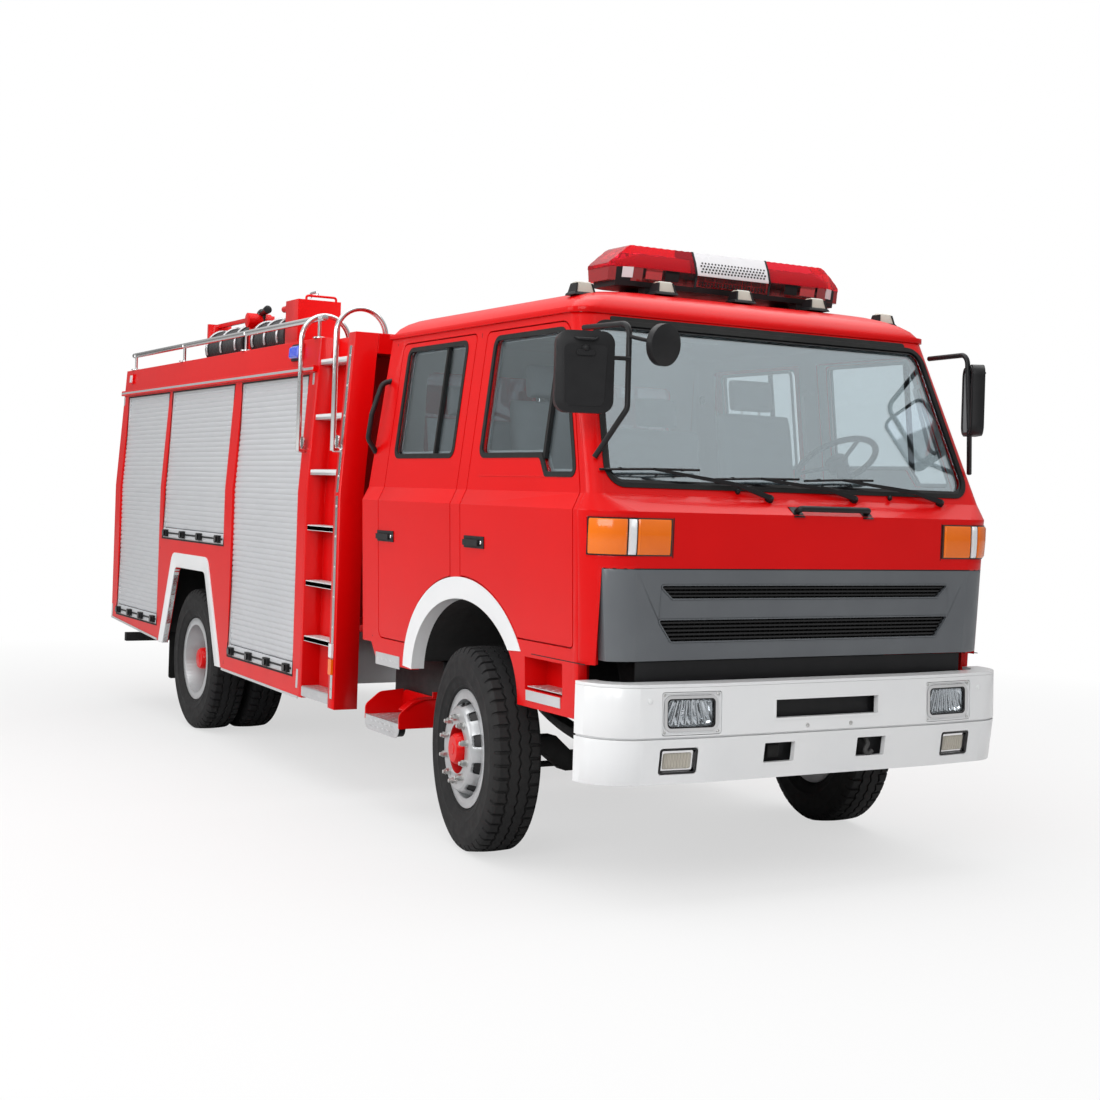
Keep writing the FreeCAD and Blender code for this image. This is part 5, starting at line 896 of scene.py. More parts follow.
def corner_lamp(piece, side):
    """Wrap-round lamp: an amber lens in a brown rim, a narrow clear strip, and amber round the corner."""
    low, high = CORNER_LAMP_LOW, CORNER_LAMP_HIGH
    to = cab_wrap(side)
    for first, last, finish in ((0.812, 0.985, AMBER), (0.992, 1.030, WHITE_LENS), (1.037, 1.212, AMBER)):
        rings = []
        for i, u in enumerate(spread(first, last, 27)):
            edge = min(1.0, min(u - first, last - u) / 0.010 + 0.35)
            out = 0.003 + 0.008 * edge + (0.0014 if i % 2 else 0.0)
            section = ((low, -0.006), (low, out * 0.6), (low + 0.010, out), ((low + high) / 2, out + 0.002),
                       (high - 0.010, out), (high, out * 0.6), (high, -0.006))
            rings.append([to(u, v, w) for v, w in section])
        piece.add(loft(rings), finish)
    rim = ((low - 0.006, -0.012), (low - 0.006, 0.004), (high + 0.006, 0.004), (high + 0.006, -0.012))
    for first, last, finish in ((0.802, 0.990, BROWN), (0.988, 1.220, GLOSS_BLACK)):
        piece.add(swept(rim, spread(first, last, 30), to), finish)


def headlamp(piece, glass, side):
    """Chrome surround with rounded corners, a bowl with a flat top and bottom, bulb and clear lens."""
    to = bumper_front()
    y, z = side * HEADLAMP_Y, HEADLAMP_Z
    outer = oblong(y, z, 0.150, 0.093, 0.014)
    piece.add(prism(rounded(outer), -0.082, -0.076, to), GLOSS_BLACK)
    piece.add(gasket(outer, 0.004, -0.076, -0.003, to), WHITE)
    surround = oblong(y, z, 0.136, 0.079, 0.034)
    piece.add(gasket(surround, 0.014, -0.030, -0.006, to), CHROME)
    field = oblong(y, z, 0.146, 0.089, 0.012)
    piece.add(band(rounded(field), rounded(inset(surround, -0.001)), -0.020, -0.012, to), WHITE)
    lens = oblong(y, z, 0.120, 0.063, 0.026)
    bowl = []
    for share, depth in HEADLAMP_BOWL:
        tall = min(1.0, share * 1.35) * (0.35 + 0.65 * share)
        ring = [(y + (u - y) * share, z + (v - z) * tall, r * share) for u, v, r in lens]
        bowl.append([to(u, v, depth) for u, v in rounded(ring)])
    piece.add(loft(bowl, caps=False), REFLECTOR)
    piece.add(prism(rounded(inset(lens, 0.020)), -0.075, -0.072, to), REFLECTOR)
    bulb = [(0.0, 0.022), (0.016, 0.020), (0.024, 0.010), (0.025, 0.001)]
    piece.add(turned(bulb, to(y, z, -0.070), (1, 0, 0), 20), CHROME)
    for i, u in enumerate(spread(y - 0.100, y + 0.100, 8)):
        lean = 0.006 * (i - 3.5)
        flute = [to(u + lean, z - 0.052, -0.036), to(u - lean, z + 0.052, -0.036)]
        piece.add(tube(flute, 0.008, sides=6), REFLECTOR)
    piece.add(gasket(inset(lens, -0.004), 0.008, -0.026, -0.010, to), GLOSS_BLACK)
    screw = [(0.0, 0.007), (0.003, 0.007), (0.006, 0.004)]
    for v in (z - 0.083, z + 0.083):
        for u in (y - 0.136, y + 0.136):
            piece.add(turned(screw, to(u, v, -0.010), (1, 0, 0), 12), ZINC)
    glass.add(prism(rounded(inset(lens, 0.003)), -0.018, -0.015, to), CLEAR_LENS)


def fog_lamp(piece, side):
    """Square lamp in a black box with a fluted pale lens."""
    to = bumper_front()
    y, z = side * FOG_LAMP_Y, FOG_LAMP_Z
    outer = oblong(y, z, 0.093, 0.056, 0.014)
    piece.add(prism(rounded(outer), -0.056, -0.050, to), GLOSS_BLACK)
    piece.add(gasket(outer, 0.008, -0.050, 0.001, to), GLOSS_BLACK)
    lens = oblong(y, z, 0.072, 0.036, 0.010)
    piece.add(band(rounded(inset(lens, -0.012)), rounded(lens), -0.050, -0.014, to), CHROME)
    piece.add(prism(rounded(lens), -0.050, -0.019, to), PALE_LENS)
    for u in spread(y - 0.060, y + 0.060, 9):
        piece.add(tube([to(u, z - 0.033, -0.0195), to(u, z + 0.033, -0.0195)], 0.0045, sides=8), PALE_LENS)


def front_lamps():
    lamps = Piece("front_lamp_bodies")
    glass = Piece("headlamp_lenses")
    for side in (-1, 1):
        corner_lamp(lamps, side)
        headlamp(lamps, glass, side)
        fog_lamp(lamps, side)
    lamps.place(replaces=["front_lamps"])
    glass.place()


def bumper_details():
    """Screws, a dark sheet behind the bumper as painted shade in the gap above it, and the linings of its slot
    and towing holes, with black backs in them as painted shade.
    """
    to = bumper_front()
    piece = Piece("bumper_fittings")
    for y in (-0.120, 0.135):
        piece.add(turned([(0, 0.010), (0.003, 0.010), (0.006, 0.004)], to(y, 0.764), (1, 0, 0), 12), ZINC)
    bolt = [(0, 0.013), (0.004, 0.012), (0.006, 0.005)]
    for y in (-0.965, 0.965):
        piece.add(turned(bolt, to(y, 0.900, -0.001), (1, 0, 0), 14), WHITE)
    # black sheet behind the bumper: painted shade in the gap
    piece.add(slab(-0.960, 0.960, 0.900, 1.056, -0.006, 0.0, crosswise(FRONT_AXLE + 1.185)), BLACK)
    slot = rectangle(-0.306, 0.306, 0.798, 0.893, 0.008)
    piece.add(gasket(inset(slot, -0.004), 0.010, -0.030, 0.002, to), WHITE)
    # black back in the slot: painted shade
    piece.add(prism(inset(slot, -0.015), -0.060, -0.056, to), BLACK)
    for side in (-1, 1):
        hole = oblong(side * TOW_HOLE_Y, 0.647, 0.091, 0.050, 0.010)
        piece.add(gasket(inset(hole, -0.003), 0.008, -0.026, 0.0015, to), WHITE)
        # black back in each towing hole: painted shade
        piece.add(prism(rounded(inset(hole, -0.025)), -0.066, -0.060, to), BLACK)
    hook = [(0.0, 0.690, -0.050), (0.0, 0.655, -0.020), (-0.024, 0.625, -0.012), (0.0, 0.604, -0.014),
            (0.026, 0.622, -0.014)]
    piece.add(tube([to(TOW_HOLE_Y + u, v, w) for u, v, w in hook], 0.011, 0.02), CAST)
    piece.place(bevel=0.001)


# ---------- sides of the cab ----------

FRONT_DOOR_WINDOW = ((0.925, 1.885, 0.02), (0.905, 1.945, 0.03), (0.655, 2.560, 0.05), (-0.035, 2.560, 0.04),
                     (-0.035, 1.975, 0.04), (0.590, 1.975, 0.02), (0.660, 1.885, 0.02))
REAR_DOOR_WINDOW = ((-0.355, 1.975, 0.04), (-0.355, 2.560, 0.04), (-1.075, 2.560, 0.04),
                    (-1.075, 1.975, 0.04))
DOORS = (("front_door", FRONT_DOOR_WINDOW, (0.600, 0.622, 1.955, 2.560), (0.025, 1.540)),
         ("rear_door", REAR_DOOR_WINDOW, (-0.600, -0.582, 1.975, 2.560), (-1.060, 1.530)))
SIDE_SEAMS = (((-0.200, 1.262), (-0.200, 2.600)), ((0.608, 1.042), (1.100, 1.042)),
              ((-1.250, 0.960), (-1.250, 2.610)))
ARCH_CENTRE = (-0.130, 0.800)
ARCH_HALF = 0.600
ARCH_HEIGHT = 0.450
ARCH_BAND = 0.108
ARCH_FOLD = 0.072                # depth of the band's folded inner lip
BAND_FOOT_Z = 1.035              # where the band ends ahead of the wheel
BAND_REAR_FOOT_Z = 0.830


def ellipse(grow, steps=90):
    """Points on the upper half of the wheel arch's ellipse, grown outward."""
    u, v = ARCH_CENTRE
    angles = [math.pi * i / steps for i in range(steps + 1)]
    return [(u + (ARCH_HALF + grow) * math.cos(t), v + (ARCH_HEIGHT + grow) * math.sin(t)) for t in angles]


def wheel_arch_bands():
    """White painted band round the front wheel arch with a folded inner lip."""
    piece = Piece("front_arch_bands")
    paths = []
    for grow in (-0.002, ARCH_BAND):
        path = [(u, v) for u, v in ellipse(grow)
                if v > (BAND_REAR_FOOT_Z if u < ARCH_CENTRE[0] else BAND_FOOT_Z)]
        paths.append(resample(path, 48))
    section = ((0, -ARCH_FOLD), (0, 0.003), (0.06, 0.0045), (1, 0.0035), (1, 0.0002), (0.1, 0.0002),
               (0.1, -ARCH_FOLD))
    for side in (-1, 1):
        piece.add(arch_band(*paths, section, cab_side(side)), WHITE)
    piece.place()


def resample(points, count):
    """Evenly spaced points along a path."""
    points = [Vector(p[:2]) for p in points]
    lengths = [0.0]
    for a, b in zip(points, points[1:]):
        lengths.append(lengths[-1] + (b - a).length)
    result = []
    for i in range(count + 1):
        want = lengths[-1] * i / count
        k = next((j for j in range(1, len(lengths)) if lengths[j] >= want - 1e-9), len(lengths) - 1)
        share = (want - lengths[k - 1]) / max(1e-9, lengths[k] - lengths[k - 1])
        result.append(points[k - 1].lerp(points[k], min(1.0, share)))
    return result


def arch_band(inner, outer, section, to):
    """A band between two paths. section runs round it as (share of the way to the outer path, height)."""
    rings = []
    for a, b in zip(inner, outer):
        corners = [(a.lerp(b, share), w) for share, w in section]
        rings.append([to(p.x, p.y, w) for p, w in corners])
    return loft(rings)


def door_trim():
    """Window seals, dividers, handles and locks, each riding its own door."""
    for side, name in SIDES:
        to = cab_side(side)
        for door, window, divider, handle in DOORS:
            piece = Piece(f"{door}_trim_{name}")
            piece.add(gasket(inset(window, -0.016), 0.026, -0.008, 0.004, to), RUBBER)
            piece.add(slab(*divider, -0.026, -0.002, to), RUBBER)
            piece.add(gasket(inset(window, 0.004), 0.018, -0.036, -0.028, to), INTERIOR)
            door_handle(piece, to, *handle)
            if door == "front_door":
                piece.add(slab(-0.020, 0.780, 1.868, 1.874, -0.001, 0.0025, to), RED)
            piece.place(f"{door}_{name}", bevel=0.0012)


def door_handle(piece, to, middle, height):
    """Flap handle in a shallow cup, with a lock beside it."""
    piece.add(slab(middle - 0.112, middle + 0.104, height - 0.030, height + 0.030, 0.0, 0.005, to), BLACK)
    piece.add(slab(middle - 0.100, middle + 0.062, height - 0.018, height + 0.012, 0.004, 0.020, to), BLACK)
    lock = to(middle + 0.080, height, 0.004)
    out = to(0, 1.5, 1) - to(0, 1.5, 0)
    piece.add(turned([(0, 0.010), (0.006, 0.010), (0.008, 0.006)], lock, out, 14), CHROME)


def side_seams():
    """Narrow gaps where the wing and sill panels meet the doors' pillars."""
    piece = Piece("side_seams")
    for side in (-1, 1):
        for ends in SIDE_SEAMS:
            piece.add(strip(ends, 0.004, -0.003, 0.0008, cab_side(side)), RUBBER)
    piece.place()


def pillar_handles():
    """Bent grab handles behind the rear doors."""
    piece = Piece("pillar_handles")
    for side in (-1, 1):
        path = [(1.05, 2.41), (1.135, 2.385), (1.185, 2.21), (1.195, 2.07), (1.135, 1.995)]
        points = [Vector((FRONT_AXLE - 1.275 - 0.02 * i, side * y, z)) for i, (y, z) in enumerate(path)]
        piece.add(tube(points, 0.015, 0.05, 12), BLACK)
        for point in (points[0], points[-1]):
            piece.add(disc(point - Vector((0, side * 0.015, 0)), (0, side, 0), 0.026, 0.0, 0.012), BLACK)
    piece.place(bevel=0.001)


LOZENGE_LENGTH = 0.020
LOZENGE_WIDTH = 0.0065
HUNG_STEP_TOP = 0.525


def tread_studs(piece, u0, u1, v0, v1, to, lift=0.0012, pitch=0.030):
    """Raised lozenges in a crossed pattern over a rectangle on a place."""
    rows = max(1, int((v1 - v0) / pitch))
    columns = max(1, int((u1 - u0) / pitch))
    for row in range(rows):
        for column in range(columns):
            at = Vector((u0 + (u1 - u0) * (column + 0.5) / columns, v0 + (v1 - v0) * (row + 0.5) / rows))
            lean = math.pi / 4 if (row + column) % 2 else -math.pi / 4
            way = Vector((math.cos(lean), math.sin(lean))) * LOZENGE_LENGTH / 2
            over = Vector((-math.sin(lean), math.cos(lean))) * LOZENGE_WIDTH / 2
            foot = [at - way, at + over, at + way, at - over]
            top = [at.lerp(c, 0.6) for c in foot]
            rings = [[to(c.x, c.y, w) for c in corners] for corners, w in ((foot, 0.0), (top, lift))]
            piece.add(loft(rings), PLATE)


def wing_steps():
    """Chequered step in the wing pocket ahead of each front wheel, and a plate behind it."""
    piece = Piece("wing_step_plates")
    for side in (-1, 1):
        tread = level(0.8845, side, FRONT_AXLE)
        piece.add(slab(0.562, 0.888, 1.035, 1.158, 0.0, 0.004, tread), PLATE)
        tread_studs(piece, 0.570, 0.880, 1.042, 1.152, raised(tread, 0.004))
        to = cab_side(side)
        piece.add(slab(0.560, 0.885, 0.822, 0.870, 0.0005, 0.004, to), PLATE)
        piece.add(slab(-1.200, -0.880, 0.812, 0.880, 0.0005, 0.004, to), PLATE)
        tread_studs(piece, -1.192, -0.888, 0.818, 0.874, raised(to, 0.004))
    piece.place()


def access_steps():
    """Hung step behind each front wheel: a red shoe with a chequered tread and lip, and a hood over it."""
    piece = Piece("hung_steps")
    x0, x1 = FRONT_AXLE - 1.268, FRONT_AXLE - 0.802
    top = HUNG_STEP_TOP
    for side in (-1, 1):
        tread = level(top, side)
        piece.add(slab(x0 + 0.012, x1 - 0.012, 0.962, 1.188, -0.006, 0.0, tread), PLATE)
        tread_studs(piece, x0 + 0.030, x1 - 0.030, 0.985, 1.176, tread, 0.002)
        outside = upright(1.186, side)
        lip = [(x0 + 0.004, 0.444, 0.055), (x1 - 0.004, 0.444, 0.055), (x1 - 0.004, top + 0.002, 0.004),
               (x0 + 0.004, top + 0.002, 0.004)]
        piece.add(prism(rounded(lip, 8), 0.0, 0.005, outside), PLATE)
        tread_studs(piece, x0 + 0.045, x1 - 0.045, 0.456, 0.516, raised(outside, 0.005), 0.002)
        piece.add(prism(rounded(inset(lip, 0.006), 8), -0.040, -0.001, outside), BLACK)
        edge_wire = [outside(x0 + 0.008, top, 0.003), outside(x1 - 0.008, top, 0.003)]
        piece.add(tube(edge_wire, 0.004, sides=8), STEEL)
        back = [(x0, 0.498, 0.0), (x1, 0.498, 0.0), (x1, 0.658, 0.025), (x0, 0.658, 0.060)]
        piece.add(prism(rounded(back, 6), 0.0, 0.008, upright(0.958, side)), RED)
        cheek = [(0.960, 0.498, 0.0), (1.192, 0.498, 0.006), (1.192, 0.578, 0.040), (1.105, 0.648, 0.070),
                 (0.960, 0.658, 0.0)]
        for x in (x0, x1 - 0.010):
            piece.add(prism(rounded(cheek, 6), 0.0, 0.010, crosswise(x, 1, side)), RED)
        hood = []
        for y, z in ((0.960, 0.655), (1.040, 0.652), (1.100, 0.632), (1.150, 0.598)):
            corners = ((x1 - 0.100, z), (x1, z), (x1, z - 0.007), (x1 - 0.100, z - 0.007))
            hood.append([Vector((x, side * y, height)) for x, height in corners])
        piece.add(loft(hood), RED)
        piece.add(slab(-0.018, 0.010, 0.640, 0.690, 0.0, 0.008, crosswise(x1 - 0.020, 1, side, 0.980)), RED)
    piece.place(replaces=["access_steps"], bevel=0.002)


# ---------- mirrors, light bar and markers ----------

MIRRORS = ((-1, -1.225, 20.0), (1, 1.080, 58.0))     # (side, y, turn in degrees)
MARKER_PLACES = ((-0.93, 2.790), (-0.47, 2.832), (0.0, 2.832), (0.47, 2.832), (0.93, 2.790))
STROBE_START = 1.880
BAR_FLOOR = 2.842
BAR_WAIST = 2.915
BAR_CREST = 3.028

def mirror_details():
    """Mirror faces, rims and clamps, and the small round kerb mirror on the right."""
    piece = Piece("mirror_fittings")
    face = Piece("mirror_faces")
    for side, y, turn in MIRRORS:
        angle = math.radians(turn)
        out = Vector((-math.cos(angle), -side * math.sin(angle), 0))
        to = plane((FRONT_AXLE + 1.110, y, 2.330), (-out.y, out.x, 0), (0, 0, 1), out)
        face.add(pad(0.0, 0.0, 0.112, 0.162, 0.0275, 0.0315, to, 0.045, 6), MIRROR_FACE)
        piece.add(gasket(rectangle(-0.124, 0.124, -0.174, 0.174, 0.052), 0.014, 0.020, 0.036, to, 6), BLACK)
        back = [(-0.088, -0.150, 0.03), (0.088, -0.150, 0.03), (0.098, 0.118, 0.02), (-0.098, 0.118, 0.02)]
        piece.add(prism(rounded(back), -0.034, -0.026, to), BLACK)
        grip = [to(-0.052, 0.150, -0.028), to(-0.036, 0.142, -0.048), to(0.036, 0.142, -0.048),
                to(0.052, 0.150, -0.028)]
        piece.add(tube(grip, 0.006, 0.01, 8), BLACK)
        piece.add(slab(-0.040, 0.040, 0.070, 0.096, -0.044, -0.030, to, 0.010), BLACK)
        knob = [(0.0, 0.016), (0.014, 0.017), (0.024, 0.010), (0.026, 0.001)]
        piece.add(turned(knob, to(0, 0.104, -0.030), -out, 14), BLACK)
    kerb = [(0.000, 0.086), (0.003, 0.080), (0.006, 0.050), (0.008, 0.002)]
    face.add(turned(kerb, (FRONT_AXLE + 1.190, -0.880, 2.470), (-1.0, -0.25, 0.1), 32), MIRROR_FACE)
    face.place()
    piece.place(bevel=0.0015)


def bar_section(u, grow):
    """Half width, lower and upper height of the light bar's body, which comes to a point at its ends."""
    end = max(0.0, (abs(u) - BAR_HALF + 0.118) / 0.118)
    toe = max(0.0, (abs(u) - BAR_HALF + 0.055) / 0.055)
    return (0.148 - 0.050 * end + grow, BAR_FLOOR + 0.062 * toe - grow, BAR_CREST - 0.098 * end + grow)


def bar_narrowing(v):
    """How much narrower the bar is at a height than at its waist."""
    if v <= BAR_WAIST:
        return 0.90 + 0.10 * (v - BAR_FLOOR) / (BAR_WAIST - BAR_FLOOR)
    return 1.0 - 0.30 * ((v - BAR_WAIST) / (BAR_CREST - BAR_WAIST)) ** 1.4


def bar_ring(u, grow, low=None, high=None):
    """The bar's outline at u, cut off below low and above high."""
    half, bottom, top = bar_section(u, grow)
    bottom = bottom if low is None else low
    top = top if high is None else min(high, top)
    heights = (bottom, (bottom + BAR_WAIST) / 2, BAR_WAIST, (BAR_WAIST + top) / 2, top)
    right = [Vector((BAR_X + half * bar_narrowing(v), u, v)) for v in heights]
    left = [Vector((BAR_X - half * bar_narrowing(v), u, v)) for v in reversed(heights)]
    return right + left


BAR_MIDDLE = 0.228               # half length of the white middle
BAR_MODULES = ((0.330, 0.410, CHASSIS), (0.430, 0.525, RED_LENS), (0.600, 0.650, WHITE_LENS))


def bar_modules(core, side):
    """The red lower half under one dome with its row of lamp modules, a darker red inner wall for painted
    shade, and the domed reflectors inside.
    """
    reach = spread(BAR_MIDDLE, BAR_HALF - 0.004, 21)
    core.add(loft([bar_ring(side * u, 0.0, low=2.849, high=2.9125) for u in reach]), BAR_LOW)
    for first, last, finish in BAR_MODULES:
        core.add(loft([bar_ring(side * u, 0.0015, low=2.864, high=2.902) for u in spread(first, last, 5)]),
                 finish)
    inside = spread(0.240, 0.640, 5)
    # inner wall of the dome in darker red: painted shade
    core.add(loft([bar_ring(side * u, -0.045, low=2.916, high=2.985) for u in inside]), SHADED_RED)
    bowl = [(0.0, 0.050), (0.030, 0.054), (0.056, 0.044), (0.062, 0.001)]
    for u in spread(0.285, 0.600, 4):
        core.add(turned(bowl, (BAR_X, side * u, 2.930), (0, 0, 1), 20), CHROME)


def bar_middle(core):
    """The white middle with its rows of sounder holes, red below."""
    reach = spread(-BAR_MIDDLE, BAR_MIDDLE, 9)
    core.add(loft([bar_ring(u, 0.001, low=2.908) for u in reach]), BAR_WHITE)
    core.add(loft([bar_ring(u, 0.000, low=2.852, high=2.909) for u in reach]), RED_LENS)
    for row, v in enumerate(spread(2.930, 2.975, 4)):
        x = BAR_X + 0.149 * bar_narrowing(v)
        stagger = 0.009 if row % 2 else 0.0
        for u in spread(-BAR_MIDDLE + 0.035, BAR_MIDDLE - 0.035, 20):
            core.add(disc((x, u + stagger, v), (0.9, 0, 0.4), 0.0048, -0.002, 0.0022, 8), CHASSIS)
    for v in (2.864, 2.876, 2.888, 2.900):
        for u in spread(-BAR_MIDDLE + 0.025, BAR_MIDDLE - 0.025, 22):
            core.add(disc((BAR_X + 0.1385, u, v), (1, 0, 0), 0.0050, -0.002, 0.0030, 8), BLACK)


def light_bar():
    """Long roof lamp: faceted red domes at both ends, a white middle, lamp modules, black base and feet."""
    dome = Piece("light_bar_domes")
    core = Piece("light_bar_core")
    for side in (-1, 1):
        rings = []
        for i, u in enumerate(spread(BAR_MIDDLE + 0.002, BAR_HALF, 25)):
            facet = 0.0022 if i % 2 else 0.0
            ring = bar_ring(side * u, 0.0, low=2.912)
            rings.append([p + Vector((0, 0, facet if p.z > 2.94 else 0.0)) for p in ring])
        dome.add(loft(rings), BAR_RED)
        bar_modules(core, side)
        for way in (-0.09, 0.09):
            core.add(pad(side * 0.470, 0.0, 0.045, 0.030, 2.782, 2.826, overhead(0.0, BAR_X + way)), BLACK)
        joint = side * BAR_MIDDLE
        core.add(loft([bar_ring(u, 0.0028, low=2.846) for u in (joint - 0.006, joint + 0.006)]), GLOSS_BLACK)
    bar_middle(core)
    reach = spread(0.040 - BAR_HALF, BAR_HALF - 0.040, 21)
    core.add(loft([bar_ring(u, 0.0, low=2.824, high=2.850) for u in reach]), BLACK)
    dome.place(replaces=["light_bar"], bevel=0.0015)
    core.place(bevel=0.001)


def roof_marker(piece, y, z):
    """Boxy beige lens held between black sides on a black foot."""
    to = overhead(z, FRONT_AXLE + 0.560)
    foot = ((0.000, 0.066, 0.046), (0.010, 0.062, 0.042), (0.016, 0.055, 0.035))
    lens = ((0.014, 0.050, 0.036), (0.060, 0.041, 0.024), (0.066, 0.034, 0.017))
    for section, finish in ((foot, BLACK), (lens, PALE_LENS)):
        piece.add(loft([[to(p[0], p[1], w) for p in oblong(y, 0.0, half, deep)] for w, half,
                        deep in section]), finish)
    for way in (-1, 1):
        rings = []
        for w, half, deep in ((0.010, 0.055, 0.042), (0.058, 0.045, 0.030)):
            rings.append([to(p[0], p[1], w) for p in oblong(y + way * (half - 0.004), 0.0, 0.004, deep)])
        piece.add(loft(rings), BLACK)


def side_strobe(piece, to):
    """Blue strobe high on the body's side, a fluted lens on a black base."""
    u0, u1 = STROBE_START, STROBE_START + 0.180
    piece.add(slab(u0, u1, 2.575, 2.680, -0.002, 0.012, to), BLACK)
    rings = []
    for w, shrink in ((0.010, 0.010), (0.030, 0.014), (0.038, 0.024)):
        outline = rounded(inset(rectangle(u0, u1, 2.575, 2.680, 0.03), shrink), 6)
        rings.append([to(p[0], p[1], w) for p in outline])
    piece.add(loft(rings), BLUE_LENS)
    for u in spread(u0 + 0.03, u1 - 0.03, 9):
        piece.add(tube([to(u, 2.598, 0.0385), to(u, 2.657, 0.0385)], 0.0025, sides=6), BLUE_LENS)


def tail_lamp(piece, side):
    """White, red and amber ribbed lenses in a row on a black base."""
    back = body_rear()
    piece.add(pad(side * 1.015, 0.820, 0.135, 0.060, 0.0, 0.008, back), BLACK)
    bounds = spread(side * 0.886, side * 1.144, 4)
    for a, b, finish in zip(bounds, bounds[1:], (WHITE_LENS, RED_LENS, AMBER)):
        low, high = sorted((a, b))
        piece.add(slab(low + 0.003, high - 0.003, 0.768, 0.872, 0.006, 0.022, back), finish)
        for v in spread(0.780, 0.860, 7):
            piece.add(tube([back(low + 0.010, v, 0.022), back(high - 0.010, v, 0.022)], 0.0018, sides=6),
                      finish)


def marker_lamps():
    """Roof markers, side strobes, side markers and tail lamps."""
    piece = Piece("marker_lamp_bodies")
    for y, top in MARKER_PLACES:
        roof_marker(piece, y, top - 0.052)
    for side in (-1, 1):
        to = body_side(side)
        side_strobe(piece, to)
        rear_end = shifted(to, BODY_REAR - REAR_AXLE)
        piece.add(slab(0.185, 0.245, 2.585, 2.665, -0.002, 0.014, rear_end), RED)
        piece.add(slab(0.193, 0.237, 2.596, 2.654, 0.012, 0.024, rear_end), WHITE_LENS)
        tail_lamp(piece, side)
    piece.place(replaces=["marker_lamps"], bevel=0.001)


# ---------- body ----------

LOCKERS = ((-1.870, -0.730, 0.700), (-0.640, 0.800, 1.370), (0.960, 2.190, 0.630))
LOCKER_TOP = 2.470
SLAT_PITCH = 0.0355
REAR_ARCH = ((-0.546, 0.575), (-0.284, 1.163), (0.416, 1.163), (0.706, 0.533))
REAR_ARCH_OUTER = ((-0.656, 0.575), (-0.356, 1.268), (0.480, 1.268), (0.826, 0.533))
HOSE_Y = -0.850
HOSE_Z = 2.809
COIL_RADIUS = 0.117
HOOP_RADIUS = 0.142


def slatted(low, high, first, last, to):
    """A rolled curtain of arched slats."""
    profile = [(low, -0.014)]
    z = low
    while z < high - 1e-6:
        top = min(z + SLAT_PITCH, high)
        profile += [(z + 0.0015, -0.0052), (z + 0.006, -0.0010), (z + 0.0175, 0.0008), (z + 0.030, -0.0010),
                    (top - 0.0012, -0.0052)]
        z = top
    return swept([p for p in profile if p[0] <= high] + [(high, -0.014)], (first, last), to)


def latch_bar(piece, first, last, sill, to):
    """Bottom bar of a shutter with its grip and four black blocks."""
    bar = [(sill + 0.004, -0.008), (sill + 0.004, 0.010), (sill + 0.012, 0.014), (sill + 0.060, 0.014),
           (sill + 0.072, 0.006), (sill + 0.072, -0.008)]
    piece.add(swept(bar, (first, last), to), ALU)
    grip = [(sill + 0.030, 0.012), (sill + 0.032, 0.020), (sill + 0.042, 0.020), (sill + 0.044, 0.012)]
    piece.add(swept(grip, (first + 0.02, last - 0.02), to), BLACK)
    for share in (0.07, 0.36, 0.64, 0.93):
        u = first + (last - first) * share
        piece.add(pad(u, sill + 0.036, 0.042, 0.026, 0.006, 0.036, to), BLACK)
        piece.add(pad(u, sill + 0.036, 0.020, 0.018, 0.034, 0.046, to), GLOSS_BLACK)


def shutter(curtains, frames, first, last, sill, face, gap=0.003):
    """One roller shutter: curtain, bottom bar, guides and seal."""
    to = raised(face, -0.016)
    curtains.add(slatted(sill + 0.074, LOCKER_TOP - 0.002, first + 0.001, last - 0.001, to), ALU)
    latch_bar(curtains, first + gap, last - gap, sill, to)
    corners = rectangle(first, last, sill, LOCKER_TOP)
    frames.add(gasket(inset(corners, 0.0005), 0.014, -0.018, -0.004, face), TRIM)
    frames.add(gasket(inset(corners, -0.010), 0.011, -0.002, 0.0025, face), RUBBER)


def shutters():
    """Roller shutters of the side and rear lockers."""
    curtains = Piece("shutter_curtains")
    frames = Piece("shutter_frames")
    for side in (-1, 1):
        for first, last, sill in LOCKERS:
            shutter(curtains, frames, first, last, sill, body_side(side))
    shutter(curtains, frames, -0.720, 0.720, 0.980, body_rear(), gap=0.005)
    curtains.place(replaces=["shutters"], angle=40)
    frames.place(bevel=0.0008)


